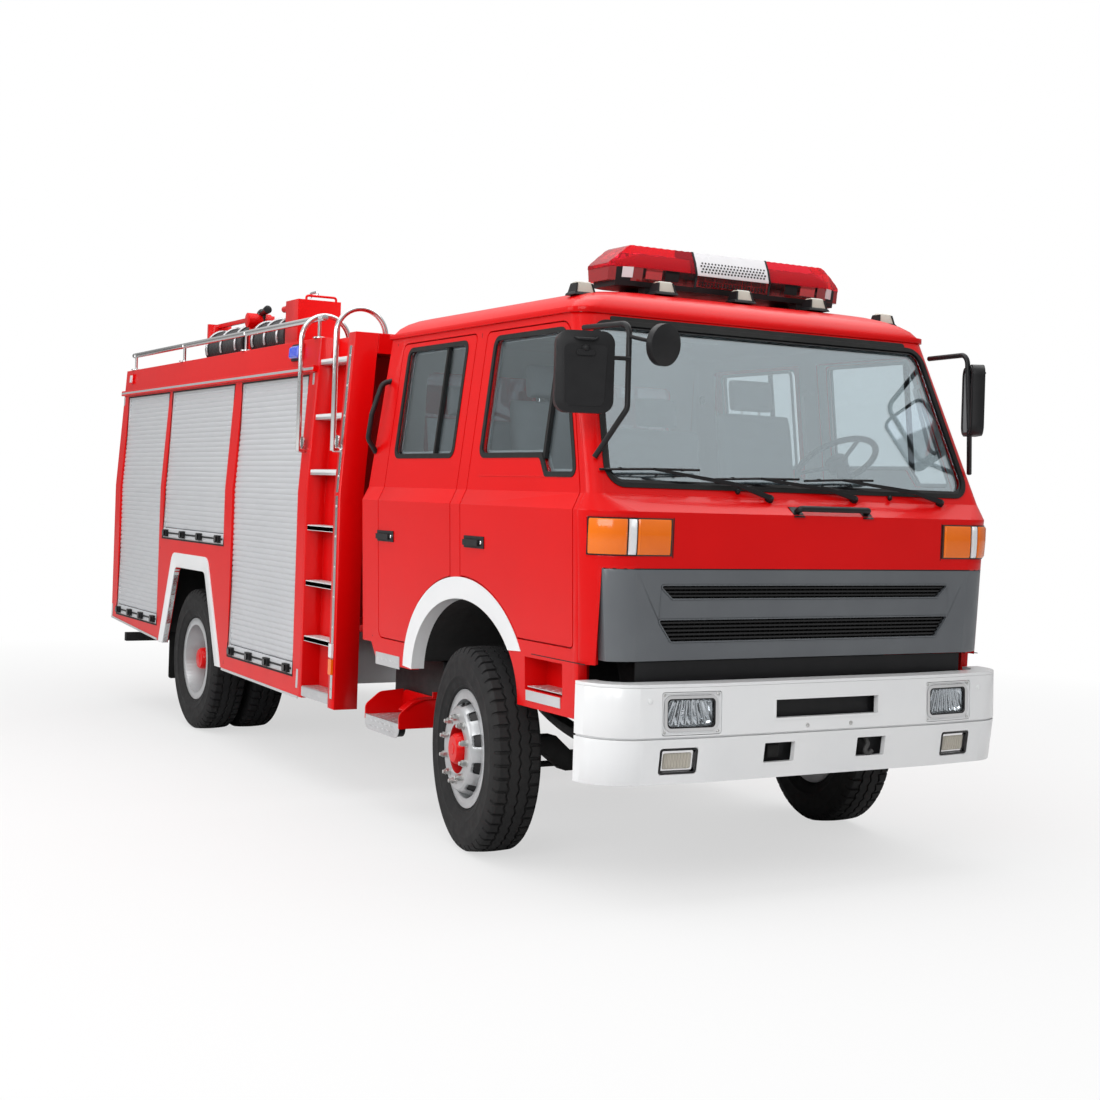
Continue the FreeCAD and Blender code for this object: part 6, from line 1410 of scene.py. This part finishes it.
def body_trim():
    """Silver gutter, corner strips and lower edge strips, white arch bands and seams."""
    piece = Piece("body_trim")
    bands = Piece("rear_arch_bands")
    rear, front = BODY_REAR - REAR_AXLE, BAY_REAR - REAR_AXLE
    paths = [resample(soft_path(REAR_ARCH, 0.06), 60), resample(soft_path(REAR_ARCH_OUTER, 0.10), 60)]
    section = ((0, -0.034), (0, 0.003), (0.05, 0.006), (1, 0.006), (1, 0.0003), (0.05, 0.0003),
               (0.05, -0.034))
    for side in (-1, 1):
        to = body_side(side)
        piece.add(slab(rear + 0.001, front - 0.001, 2.494, 2.526, 0.0005, 0.026, to), TRIM)
        piece.add(slab(rear + 0.001, front - 0.001, 2.502, 2.518, 0.024, 0.0285, to), TRIM)
        for u, low in ((rear + 0.020, 0.660), (front - 0.045, 0.560)):
            piece.add(strip([(u, low), (u, 2.484)], 0.030, 0.0002, 0.003, to), TRIM)
        bands.add(arch_band(*paths, section, to), WHITE)
        piece.add(strip([(0.850, 0.526), (2.300, 0.505)], 0.016, 0.0003, 0.006, to), TRIM)
        piece.add(strip([(rear + 0.01, 0.660), (-0.690, 0.590)], 0.016, 0.0003, 0.006, to), TRIM)
        for u, low in ((-0.685, 1.280), (0.880, 0.560)):
            piece.add(strip([(u, low), (u, 2.484)], 0.004, -0.001, 0.0008, to), RUBBER)
    back = body_rear()
    for side in (-1, 1):
        piece.add(pad(side * 1.135, 1.690, 0.015, 0.790, 0.0003, 0.003, back), TRIM)
    piece.add(slab(-1.130, 1.130, 2.500, 2.540, 0.0003, 0.020, back), TRIM)
    piece.place(bevel=0.001)
    bands.place()


def soft_path(points, radius):
    """A path on a place with its inner corners rounded."""
    flat = [Vector((p[0], p[1], 0)) for p in points]
    return [(p.x, p.y) for p in bent(flat, radius, 8)]


def ladders():
    """White treads with silver grip strips, bolts and lamps on the front post, and the low chequered step."""
    piece = Piece("ladder_fittings")
    x0, x1 = BAY_REAR + 0.032, BODY_FRONT - 0.101
    for side in (-1, 1):
        for i in range(6):
            top = 2.560 - 0.335 * i
            reach = along(BODY_SIDE_LINE, top - 0.015) - 0.006
            to = level(top, side)
            piece.add(slab(x0 + 0.004, x1 - 0.004, reach - 0.104, reach - 0.003, 0.0002, 0.0025, to), WHITE)
            for v in spread(reach - 0.090, reach - 0.018, 5):
                piece.add(slab(x0 + 0.025, x1 - 0.025, v - 0.0035, v + 0.0035, 0.002, 0.0045, to), TRIM)
            piece.add(slab(x0 + 0.003, x1 - 0.003, top - 0.030, top, 0.0, 0.003,
                           upright(reach - 0.003, side)), WHITE)
        post = shifted(body_side(side), -REAR_AXLE)
        centre = BODY_FRONT - 0.050
        for low, high in ((0.560, 1.740), (1.760, 2.620)):
            piece.add(strip([(centre, low), (centre, high)], 0.034, 0.0003, 0.003, post), STEEL)
        for z in spread(0.620, 2.560, 12):
            bolt = [(0, 0.008), (0.004, 0.007), (0.006, 0.003)]
            piece.add(turned(bolt, post(centre, z, 0.002), (0, side, 0), 10), ZINC)
        piece.add(slab(centre - 0.022, centre + 0.022, 0.700, 0.790, 0.002, 0.016, post), AMBER)
        piece.add(slab(centre - 0.022, centre + 0.022, 0.800, 0.880, 0.002, 0.016, post), WHITE_LENS)
        step = level(0.580, side)
        piece.add(slab(x0, x1, 1.122, 1.231, 0.0002, 0.003, step), PLATE)
        tread_studs(piece, x0 + 0.01, x1 - 0.01, 1.128, 1.226, raised(step, 0.003))
        outside = upright(1.233, side)
        piece.add(slab(x0, x1, 0.524, 0.577, 0.0002, 0.002, outside), PLATE)
        tread_studs(piece, x0 + 0.01, x1 - 0.01, 0.528, 0.573, raised(outside, 0.002), pitch=0.027)
    piece.place(bevel=0.0008)


def rail_fittings():
    """Round flanges under the roof rails' stanchions and hoops."""
    piece = Piece("rail_flanges")
    flange = [(0, 0.040), (0.006, 0.040), (0.010, 0.034), (0.010, 0.020)]
    for side in (-1, 1):
        for x in (REAR_AXLE - 1.820, REAR_AXLE - 0.500, REAR_AXLE + 0.900, BAY_REAR - 0.070):
            piece.add(turned(flange, (x, side * 1.150, BODY_TOP), (0, 0, 1), 24), STEEL)
            piece.add(turned([(0, 0.026), (0.020, 0.026)], (x, side * 1.150, 2.808), (0, 0, 1), 16), STEEL)
        for x in (BAY_REAR - 0.060, BODY_FRONT - 0.060):
            piece.add(disc((x, side * 1.236, 2.060), (0, side, 0), 0.034, 0.0, 0.010), STEEL)
    piece.place(bevel=0.0008)


def hose_coil(coils, first, last):
    """A hose wound close on its roll."""
    turns = int((last - first) / 0.034)
    path = []
    for i in range(turns * 20 + 1):
        t = 2 * math.pi * i / 20
        path.append((first + 0.018 + (last - first - 0.036) * i / (turns * 20),
                     HOSE_Y + COIL_RADIUS * math.cos(t), HOSE_Z + COIL_RADIUS * math.sin(t)))
    coils.add(tube(path, 0.0175, sides=8), HOSE)
    under = [(0.004, 0.102), (last - first - 0.004, 0.102)]
    coils.add(turned(under, (first, HOSE_Y, HOSE_Z), (1, 0, 0), 24), HOSE)


def hose_reel_details():
    """Hose coils under grey hoops, a box handle and a nozzle with a black grip."""
    coils = Piece("hose_coils")
    fittings = Piece("rack_fittings")
    for first, last in ((REAR_AXLE - 0.570, REAR_AXLE + 0.275), (REAR_AXLE + 0.450, REAR_AXLE + 1.150)):
        hose_coil(coils, first, last)
        for x in spread(first + 0.10, last - 0.10, 3):
            arc = [math.radians(a) for a in range(-20, 201, 10)]
            hoop = [(x, HOSE_Y + HOOP_RADIUS * math.cos(t), HOSE_Z + HOOP_RADIUS * math.sin(t)) for t in arc]
            fittings.add(tube(hoop, 0.009, sides=8), SILVER)
    coils.place(replaces=["hose_rolls"])
    x0, x1 = REAR_AXLE + 1.300, REAR_AXLE + 1.420
    grip = [(x0, HOSE_Y, 3.055), (x0, HOSE_Y, 3.086), (x1, HOSE_Y, 3.086), (x1, HOSE_Y, 3.055)]
    fittings.add(tube(grip, 0.009, 0.02), STEEL)
    x = REAR_AXLE + 0.345
    nozzle = [(0.0, 0.030), (0.030, 0.032), (0.034, 0.024), (0.110, 0.020), (0.112, 0.028), (0.150, 0.030),
              (0.152, 0.018)]
    fittings.add(turned(nozzle, (x, HOSE_Y - 0.010, 3.020), (1, 0, 0.15), 20), GLOSS_BLACK)
    fittings.add(tube([(x + 0.05, HOSE_Y, 3.015), (x + 0.04, HOSE_Y, 2.960)], 0.012), BLACK)
    fittings.place(bevel=0.001)


def rear_details():
    """Grab rails, reflectors, corner beacons and the blank plate on the rear face, and the mud flaps."""
    piece = Piece("rear_fittings")
    back = body_rear()
    for side in (-1, 1):
        y = side * 0.930
        rail = [back(y, 1.100), back(y, 1.100, 0.060), back(y, 1.900, 0.060), back(y, 1.900)]
        piece.add(tube(rail, 0.014, 0.03, 12), STEEL)
        for z in (1.100, 1.900):
            piece.add(disc(back(y, z), (-1, 0, 0), 0.030, 0.0, 0.008), STEEL)
        piece.add(pad(side * 1.060, 0.715, 0.035, 0.025, 0.0002, 0.012, back), RED_LENS)
        piece.add(pad(side * 1.030, 2.390, 0.040, 0.040, 0.0002, 0.030, back), BLUE_LENS)
        piece.add(pad(side * 1.030, 2.390, 0.048, 0.048, 0.0, 0.010, back), BLACK)
    piece.add(pad(0.0, 0.760, 0.260, 0.060, 0.0, 0.004, back), WHITE)
    piece.add(pad(0.0, 0.760, 0.270, 0.070, 0.0, 0.002, back), BLACK)
    piece.place(bevel=0.001)
    flaps = Piece("mud_flaps")
    to = crosswise(REAR_AXLE - 0.585, -1)
    for side in (-1, 1):
        flap = [(side * 0.640, 0.300, 0.02), (side * 1.170, 0.300, 0.02), (side * 1.170, 0.660, 0.0),
                (side * 0.640, 0.660, 0.0)]
        flaps.add(prism(rounded(flap, 4), 0.0, 0.008, to), RUBBER)
        for y in spread(side * 0.690, side * 1.120, 4):
            flaps.add(slab(y - 0.004, y + 0.004, 0.330, 0.600, 0.007, 0.011, to), RUBBER)
    flaps.place()


# ---------- inside the cab ----------

CUSHION_TOP = 1.680
PILLOW_COLUMNS = 22
DOOR_CARD_FOOT = 1.290


def pillow(centre, up, out, width, height, depth, crown, rows=16, pleats=0):
    """A crowned upholstered pad lying across the truck: a soft slab with a welt and sunk pleats."""
    up, out = Vector(up).normalized(), Vector(out).normalized()
    columns = PILLOW_COLUMNS

    def face(sign, u, v):
        x, y = 2 * u / width, 2 * v / height
        fall = (1 - abs(x) ** 6) * (1 - abs(y) ** 6)
        dome = crown * (1 - 0.6 * x * x) * (1 - 0.6 * y * y) if sign > 0 else 0.0
        pleat = 0.0
        if pleats and sign > 0 and abs(x) < 0.66:
            pleat = 0.007 * math.exp(-((((y + 1) * pleats / 2) % 1.0 - 0.5) / 0.10) ** 2)
        welt = 0.006 * math.exp(-((abs(x) - 0.68) / 0.03) ** 2) if sign > 0 else 0.0
        rise = sign * (depth / 2) * max(0.0, fall) ** 0.35 + dome - pleat - welt
        return centre + Vector((0, u, 0)) + up * v + out * rise

    us = [width / 2 * math.sin(math.pi / 2 * t) for t in spread(-1, 1, columns)]
    vs = [height / 2 * math.sin(math.pi / 2 * t) for t in spread(-1, 1, rows)]
    points, faces = [], []
    for sign in (1, -1):
        start = len(points)
        points += [face(sign, u, v) for v in vs for u in us]
        for j in range(rows - 1):
            for i in range(columns - 1):
                a = start + j * columns + i
                faces.append((a, a + 1, a + 1 + columns, a + columns))
    back = rows * columns
    border = [j * columns for j in range(rows)] + [(rows - 1) * columns + i for i in range(1, columns)]
    border += [j * columns + columns - 1 for j in range(rows - 2, -1, -1)] + list(range(columns - 2, 0, -1))
    for a, b in zip(border, border[1:] + border[:1]):
        faces.append((a, b, back + b, back + a))
    return points, faces


def seat(piece, y, width, back_x, back_top, headrests):
    """Cushion, backrest and headrests of one seat or bench, facing forward."""
    depth = 0.500
    cushion = Vector((back_x + depth / 2 + 0.055, y, CUSHION_TOP - 0.070))
    piece.add(pillow(cushion, (1, 0, 0.05), (0, 0, 1), width, depth, 0.130, 0.016, 40, 5), FABRIC)
    lean, out = (-0.16, 0, 1), (1, 0, 0.16)
    height = back_top - CUSHION_TOP + 0.02
    back = Vector((back_x + 0.015 - 0.08 * height, y, CUSHION_TOP - 0.01 + height / 2))
    piece.add(pillow(back, lean, out, width * 0.96, height, 0.115, 0.018, 44, 6), FABRIC)
    for at in headrests:
        head = Vector((back_x - 0.105, y + at, back_top + 0.115))
        piece.add(pillow(head, lean, out, 0.27, 0.17, 0.085, 0.012, 14), FABRIC)
        for pin in (-0.06, 0.06):
            post = [head + Vector((0.014, pin, -0.15)), head + Vector((0, pin, -0.05))]
            piece.add(tube(post, 0.006), STEEL)


def seats():
    """Two front seats and a crew bench, each pad crowned and pleated."""
    piece = Piece("seat_cushions")
    for side in (-1, 1):
        seat(piece, side * 0.650, 0.500, FRONT_AXLE - 0.120, 2.260, (0.0,))
    seat(piece, 0.0, 1.920, FRONT_AXLE - 1.080, 2.190, (-0.64, 0.0, 0.64))
    piece.place(replaces=["seats"], angle=60)
    base = Piece("seat_bases")
    for side in (-1, 1):
        y0, y1 = sorted((side * 0.44, side * 0.86))
        base.add(block(FRONT_AXLE - 0.060, FRONT_AXLE + 0.320, y0, y1, 1.176, 1.545), INTERIOR)
        base.add(block(FRONT_AXLE - 0.040, FRONT_AXLE + 0.300, y0 - 0.01, y1 + 0.01, 1.500, 1.530), BLACK)
    base.add(block(FRONT_AXLE - 1.020, FRONT_AXLE - 0.640, -0.940, 0.940, 1.130, 1.545), INTERIOR)
    base.place(bevel=0.012, segments=3)


def dashboard():
    """Binnacle with dials, vents, switches and a glove box lid."""
    piece = Piece("dashboard_fittings")
    to = crosswise(FRONT_AXLE + 0.742, -1)
    piece.add(slab(0.470, 0.830, 1.600, 1.760, -0.020, 0.012, to), BLACK)
    dial = [(0.0, 0.044), (0.006, 0.044), (0.006, 0.038), (0.001, 0.037), (0.001, 0.002)]
    for y in (0.550, 0.650, 0.750):
        centre = to(y, 1.690, 0.012)
        piece.add(turned(dial, centre, (-1, 0, 0), 24), CHROME)
        piece.add(disc(centre, (-1, 0, 0), 0.037, 0.001, 0.002), GLOSS_BLACK)
    for y in (-0.90, -0.50, -0.10, 0.30, 0.94):
        piece.add(slab(y - 0.060, y + 0.060, 1.740, 1.800, -0.004, 0.006, to), BLACK)
        for z in spread(1.752, 1.788, 4):
            piece.add(pad(y, z, 0.052, 0.003, 0.004, 0.012, to), INTERIOR)
    piece.add(gasket(rectangle(-0.860, -0.500, 1.590, 1.710, 0.02), 0.004, -0.002, 0.004, to), BLACK)
    for y in spread(-0.05, 0.30, 6):
        piece.add(slab(y - 0.018, y + 0.018, 1.650, 1.690, -0.002, 0.010, to), GLOSS_BLACK)
    vent = rectangle(FRONT_AXLE + 0.965, FRONT_AXLE + 1.000, -1.000, 1.000, 0.01)
    piece.add(gasket(vent, 0.008, -0.001, 0.003, level(1.829)), BLACK)
    piece.place(bevel=0.001)


def wheel_rim():
    """Steering wheel boss and grip moulding over the bare wheel."""
    piece = Piece("steering_wheel_boss")
    lean = math.radians(35.0)
    axis = Vector((-math.sin(lean), 0, math.cos(lean)))
    centre = Vector((FRONT_AXLE + 0.560, 0.650, 2.000))
    boss = [(-0.010, 0.060), (0.010, 0.064), (0.024, 0.052), (0.030, 0.030), (0.031, 0.002)]
    piece.add(turned(boss, centre, axis, 32), BLACK)
    a, b = across(axis)
    for i in range(60):
        t = 2 * math.pi * i / 60
        at = centre + (a * math.cos(t) + b * math.sin(t)) * 0.2150
        piece.add(disc(at, b * math.cos(t) - a * math.sin(t), 0.0172, -0.0045, 0.0045, 10), BLACK)
    piece.place(bevel=0.0015)


def door_cards():
    """Door cards with an armrest, a pocket and an inner handle, each riding its own door."""
    low = DOOR_CARD_FOOT
    for side, name in SIDES:
        to = cab_side(side)
        for body, first, last in ((f"front_door_{name}", -0.090, 0.930),
                                  (f"rear_door_{name}", -1.100, -0.310)):
            card = Piece(f"{body}_card")
            card.add(slab(first, last, low, 1.700, -0.062, -0.0455, to), LINING)
            card.add(slab(first + 0.08, last - 0.10, 1.560, 1.620, -0.110, -0.060, to), INTERIOR)
            card.add(slab(first + 0.10, last - 0.14, low + 0.04, low + 0.20, -0.090, -0.060, to), INTERIOR)
            lever = to((first + last) / 2 + 0.22, 1.655, -0.062)
            card.add(disc(lever, (0, -side, 0), 0.020, 0.0, 0.012), BLACK)
            grip = [lever + Vector((0, -side * 0.012, 0)), lever + Vector((-0.10, -side * 0.022, -0.01))]
            card.add(tube(grip, 0.007), BLACK)
            card.place(body, bevel=0.004)


def cab_lining():
    """Pillar grab handles, ribs across the roof lining and two roof lamps."""
    piece = Piece("cab_lining")
    top = along(CAB_SIDE_LINE, 2.420) - 0.050
    low = along(CAB_SIDE_LINE, 2.06) - 0.050
    for side in (-1, 1):
        for x, ahead in ((FRONT_AXLE - 0.195, 0.0), (FRONT_AXLE + 0.760, 0.0825)):
            points = [(x, side * top, 2.420), (x, side * (top - 0.045), 2.400),
                      (x + ahead, side * (low - 0.045), 2.08), (x + ahead, side * low, 2.06)]
            piece.add(tube(points, 0.011, 0.02), LINING)
    for x in spread(FRONT_AXLE - 1.200, FRONT_AXLE + 0.500, 7):
        piece.add(pad(0.0, x, 0.700, 0.010, -0.012, 0.012, overhead(2.705)), LINING)
    for x in (FRONT_AXLE - 0.9, FRONT_AXLE + 0.2):
        piece.add(pad(0.0, x, 0.09, 0.04, 0.0, 0.018, overhead(2.690, way=-1)), PALE_LENS)
    piece.place(bevel=0.003)


def air_tanks(piece):
    tank = [(-0.420, 0.002), (-0.418, 0.060), (-0.395, 0.110), (-0.365, 0.125),
            (0.365, 0.125), (0.395, 0.110), (0.418, 0.060), (0.420, 0.002)]
    for y in (-0.200, 0.200):
        piece.add(turned(tank, (0.150, y, 0.780), (1, 0, 0), 32), CHASSIS)
        for x in (-0.100, 0.400):
            piece.add(turned([(-0.018, 0.1275), (0.018, 0.1275)], (x, y, 0.780), (1, 0, 0), 32), ZINC)


def exhaust(piece):
    """Silencer, the pipe down from the engine, and the tail pipe out to the left side."""
    silencer = [(-0.330, 0.002), (-0.328, 0.080), (-0.310, 0.100), (0.310, 0.100), (0.328, 0.080),
                (0.330, 0.002)]
    piece.add(turned(silencer, (1.500, 0.300, 0.610), (1, 0, 0), 32), CAST)
    down_pipe = [(1.820, 0.300, 0.610), (2.050, 0.300, 0.640), (2.150, 0.250, 0.700)]
    piece.add(tube(down_pipe, 0.036, 0.08, 16), CAST)
    tail_pipe = [(1.180, 0.300, 0.610), (0.950, 0.300, 0.600), (0.700, 0.300, 0.560), (0.500, 0.420, 0.540),
                 (0.470, 0.760, 0.530)]
    piece.add(tube(tail_pipe, 0.036, 0.10, 16), CAST)


# ---------- under the truck ----------

def underbody():
    """Air tanks, exhaust, spring bolts, rear brake chambers and brake pipes."""
    piece = Piece("underbody_fittings")
    air_tanks(piece)
    exhaust(piece)
    chamber = [(-0.09, 0.002), (-0.088, 0.060), (-0.06, 0.078), (0.00, 0.080), (0.004, 0.086), (0.014, 0.086),
               (0.018, 0.080), (0.08, 0.074), (0.10, 0.050), (0.101, 0.002)]
    for side in (-1, 1):
        y = side * 0.388
        for axle_x, z in ((FRONT_AXLE, 0.530), (REAR_AXLE, 0.600)):
            for x in (axle_x - 0.055, axle_x + 0.055):
                points = [(x, y - 0.046, z - 0.04), (x, y - 0.046, z + 0.085), (x, y + 0.046, z + 0.085),
                          (x, y + 0.046, z - 0.04)]
                piece.add(tube(points, 0.009, 0.012), ZINC)
        can = Vector((REAR_AXLE + 0.170, side * 0.500, 0.600))
        piece.add(turned(chamber, can, (1, 0, 0), 28), CHASSIS)
        piece.add(tube([can + Vector((-0.09, 0, 0)), (REAR_AXLE + 0.02, side * 0.520, 0.560)], 0.012), ZINC)
    for side in (-1, 1):
        pipe = ((3.300, 0.300, 0.900), (2.300, 0.300, 0.905), (0.400, 0.410, 0.890), (-2.000, 0.410, 0.890))
        piece.add(tube([(x, side * y, z) for x, y, z in pipe], 0.008, 0.1), RUBBER)
    piece.place(bevel=0.001)


# ---------- camera, light and floor ----------

SKY_LOW = 0.22
SKY_HIGH = 0.95
FLOOR_GREY = 0.62
FLOOR_HALF = 60.0
LIGHTS = (("overhead", (1.0, 0.0, 7.5), (0, 0, 0), (12.0, 7.0), 520),
          ("front_right", (9.0, -8.0, 5.5), (1.5, 0, 1.3), (6.0, 4.0), 420),
          ("right_side", (-2.0, -10.0, 4.5), (-1.0, 0, 1.3), (8.0, 4.0), 260))
CAMERA_AT = (7.422 + FRONT_AXLE, -4.916, 1.793)
CAMERA_YAW = 2.601896
CAMERA_PITCH = 0.004423
CAMERA_ROLL = 0.030944
CAMERA_LENS = 54.54
CAMERA_SHIFT = (-0.0436, -0.0569)


def camera():
    data = bpy.data.cameras.new("camera")
    cam = into_scene("camera", data)
    data.sensor_width = 36.0
    data.lens = CAMERA_LENS
    data.shift_x, data.shift_y = CAMERA_SHIFT
    level_part = math.cos(CAMERA_PITCH)
    forward = Vector((math.cos(CAMERA_YAW) * level_part, math.sin(CAMERA_YAW) * level_part,
                      math.sin(CAMERA_PITCH)))
    right = Vector((math.sin(CAMERA_YAW), -math.cos(CAMERA_YAW), 0))
    up = right.cross(forward)
    picture_right = right * math.cos(CAMERA_ROLL) + up * math.sin(CAMERA_ROLL)
    picture_up = up * math.cos(CAMERA_ROLL) - right * math.sin(CAMERA_ROLL)
    turn = Matrix((picture_right, picture_up, -forward)).transposed()
    cam.matrix_world = Matrix.Translation(CAMERA_AT) @ turn.to_4x4()
    bpy.context.scene.camera = cam


def area_light(name, place, target, size, power):
    data = bpy.data.lights.new(name, "AREA")
    data.shape = "RECTANGLE"
    data.size, data.size_y = size
    data.energy = power
    lamp = into_scene(name, data)
    lamp.location = place
    lamp.rotation_euler = (Vector(target) - Vector(place)).to_track_quat("-Z", "Y").to_euler()


def seen(tree):
    """1 for what the camera sees, straight or through glass, else 0."""
    path = tree.nodes.new("ShaderNodeLightPath").outputs
    inputs = {0: path["Is Camera Ray"], 1: path["Is Transmission Ray"]}
    return node(tree, "ShaderNodeMath", inputs, "MAXIMUM").outputs[0]


def world():
    """White backdrop for the camera; for light and reflections a sky that brightens upward."""
    scene_world = bpy.data.worlds.new("world")
    bpy.context.scene.world = scene_world
    scene_world.use_nodes = True
    tree = scene_world.node_tree
    back = tree.nodes["Background"]
    place = tree.nodes.new("ShaderNodeTexCoord")
    split = node(tree, "ShaderNodeSeparateXYZ", {0: place.outputs["Generated"]})
    heights = {"From Min": 0.0, "From Max": 0.7, "To Min": SKY_LOW, "To Max": SKY_HIGH,
               "Value": split.outputs["Z"]}
    sky = node(tree, "ShaderNodeMapRange", heights)
    mix = node(tree, "ShaderNodeMix", {0: seen(tree), 2: sky.outputs[0], 3: 1.0})
    tree.links.new(mix.outputs[0], back.inputs["Strength"])
    back.inputs["Color"].default_value = (1, 1, 1, 1)


def floor():
    """Pale floor that whitens away from the truck until it meets the backdrop."""
    mesh = bpy.data.meshes.new("floor")
    corners = [(p[0], p[1], 0) for p in oblong(0, 0, FLOOR_HALF, FLOOR_HALF)]
    mesh.from_pydata(corners, [], [(0, 1, 2, 3)])
    obj = into_scene("floor", mesh)
    mat, tree, shader = material("floor")
    tree.nodes.remove(shader)
    diffuse = node(tree, "ShaderNodeBsdfDiffuse", {"Color": (FLOOR_GREY, FLOOR_GREY, FLOOR_GREY, 1)})
    glow = tree.nodes.new("ShaderNodeEmission")
    place = tree.nodes.new("ShaderNodeTexCoord")
    reach = node(tree, "ShaderNodeVectorMath", {0: place.outputs["Object"]}, "LENGTH")
    fade = {"From Min": 3.5, "From Max": 9.0, "To Min": 0.62, "To Max": 1.0, "Value": reach.outputs["Value"]}
    white = node(tree, "ShaderNodeMapRange", fade)
    share = node(tree, "ShaderNodeMath", {0: seen(tree), 1: white.outputs[0]}, "MULTIPLY")
    mix = node(tree, "ShaderNodeMixShader",
               {"Fac": share.outputs[0], 1: diffuse.outputs[0], 2: glow.outputs[0]})
    tree.links.new(mix.outputs[0], tree.nodes["Material Output"].inputs["Surface"])
    mesh.materials.append(mat)


camera()
world()
floor()
for light in LIGHTS:
    area_light(*light)

dress_nodes()
wheels()
windscreen_seal()
wipers()
front_grab_handle()
grille_insert()
panel_seams()
front_lamps()
bumper_details()
wheel_arch_bands()
door_trim()
side_seams()
pillar_handles()
wing_steps()
access_steps()
mirror_details()
light_bar()
marker_lamps()
shutters()
body_trim()
ladders()
rail_fittings()
hose_reel_details()
rear_details()
seats()
dashboard()
wheel_rim()
door_cards()
cab_lining()
underbody()

bpy.context.scene.view_settings.view_transform = "Standard"
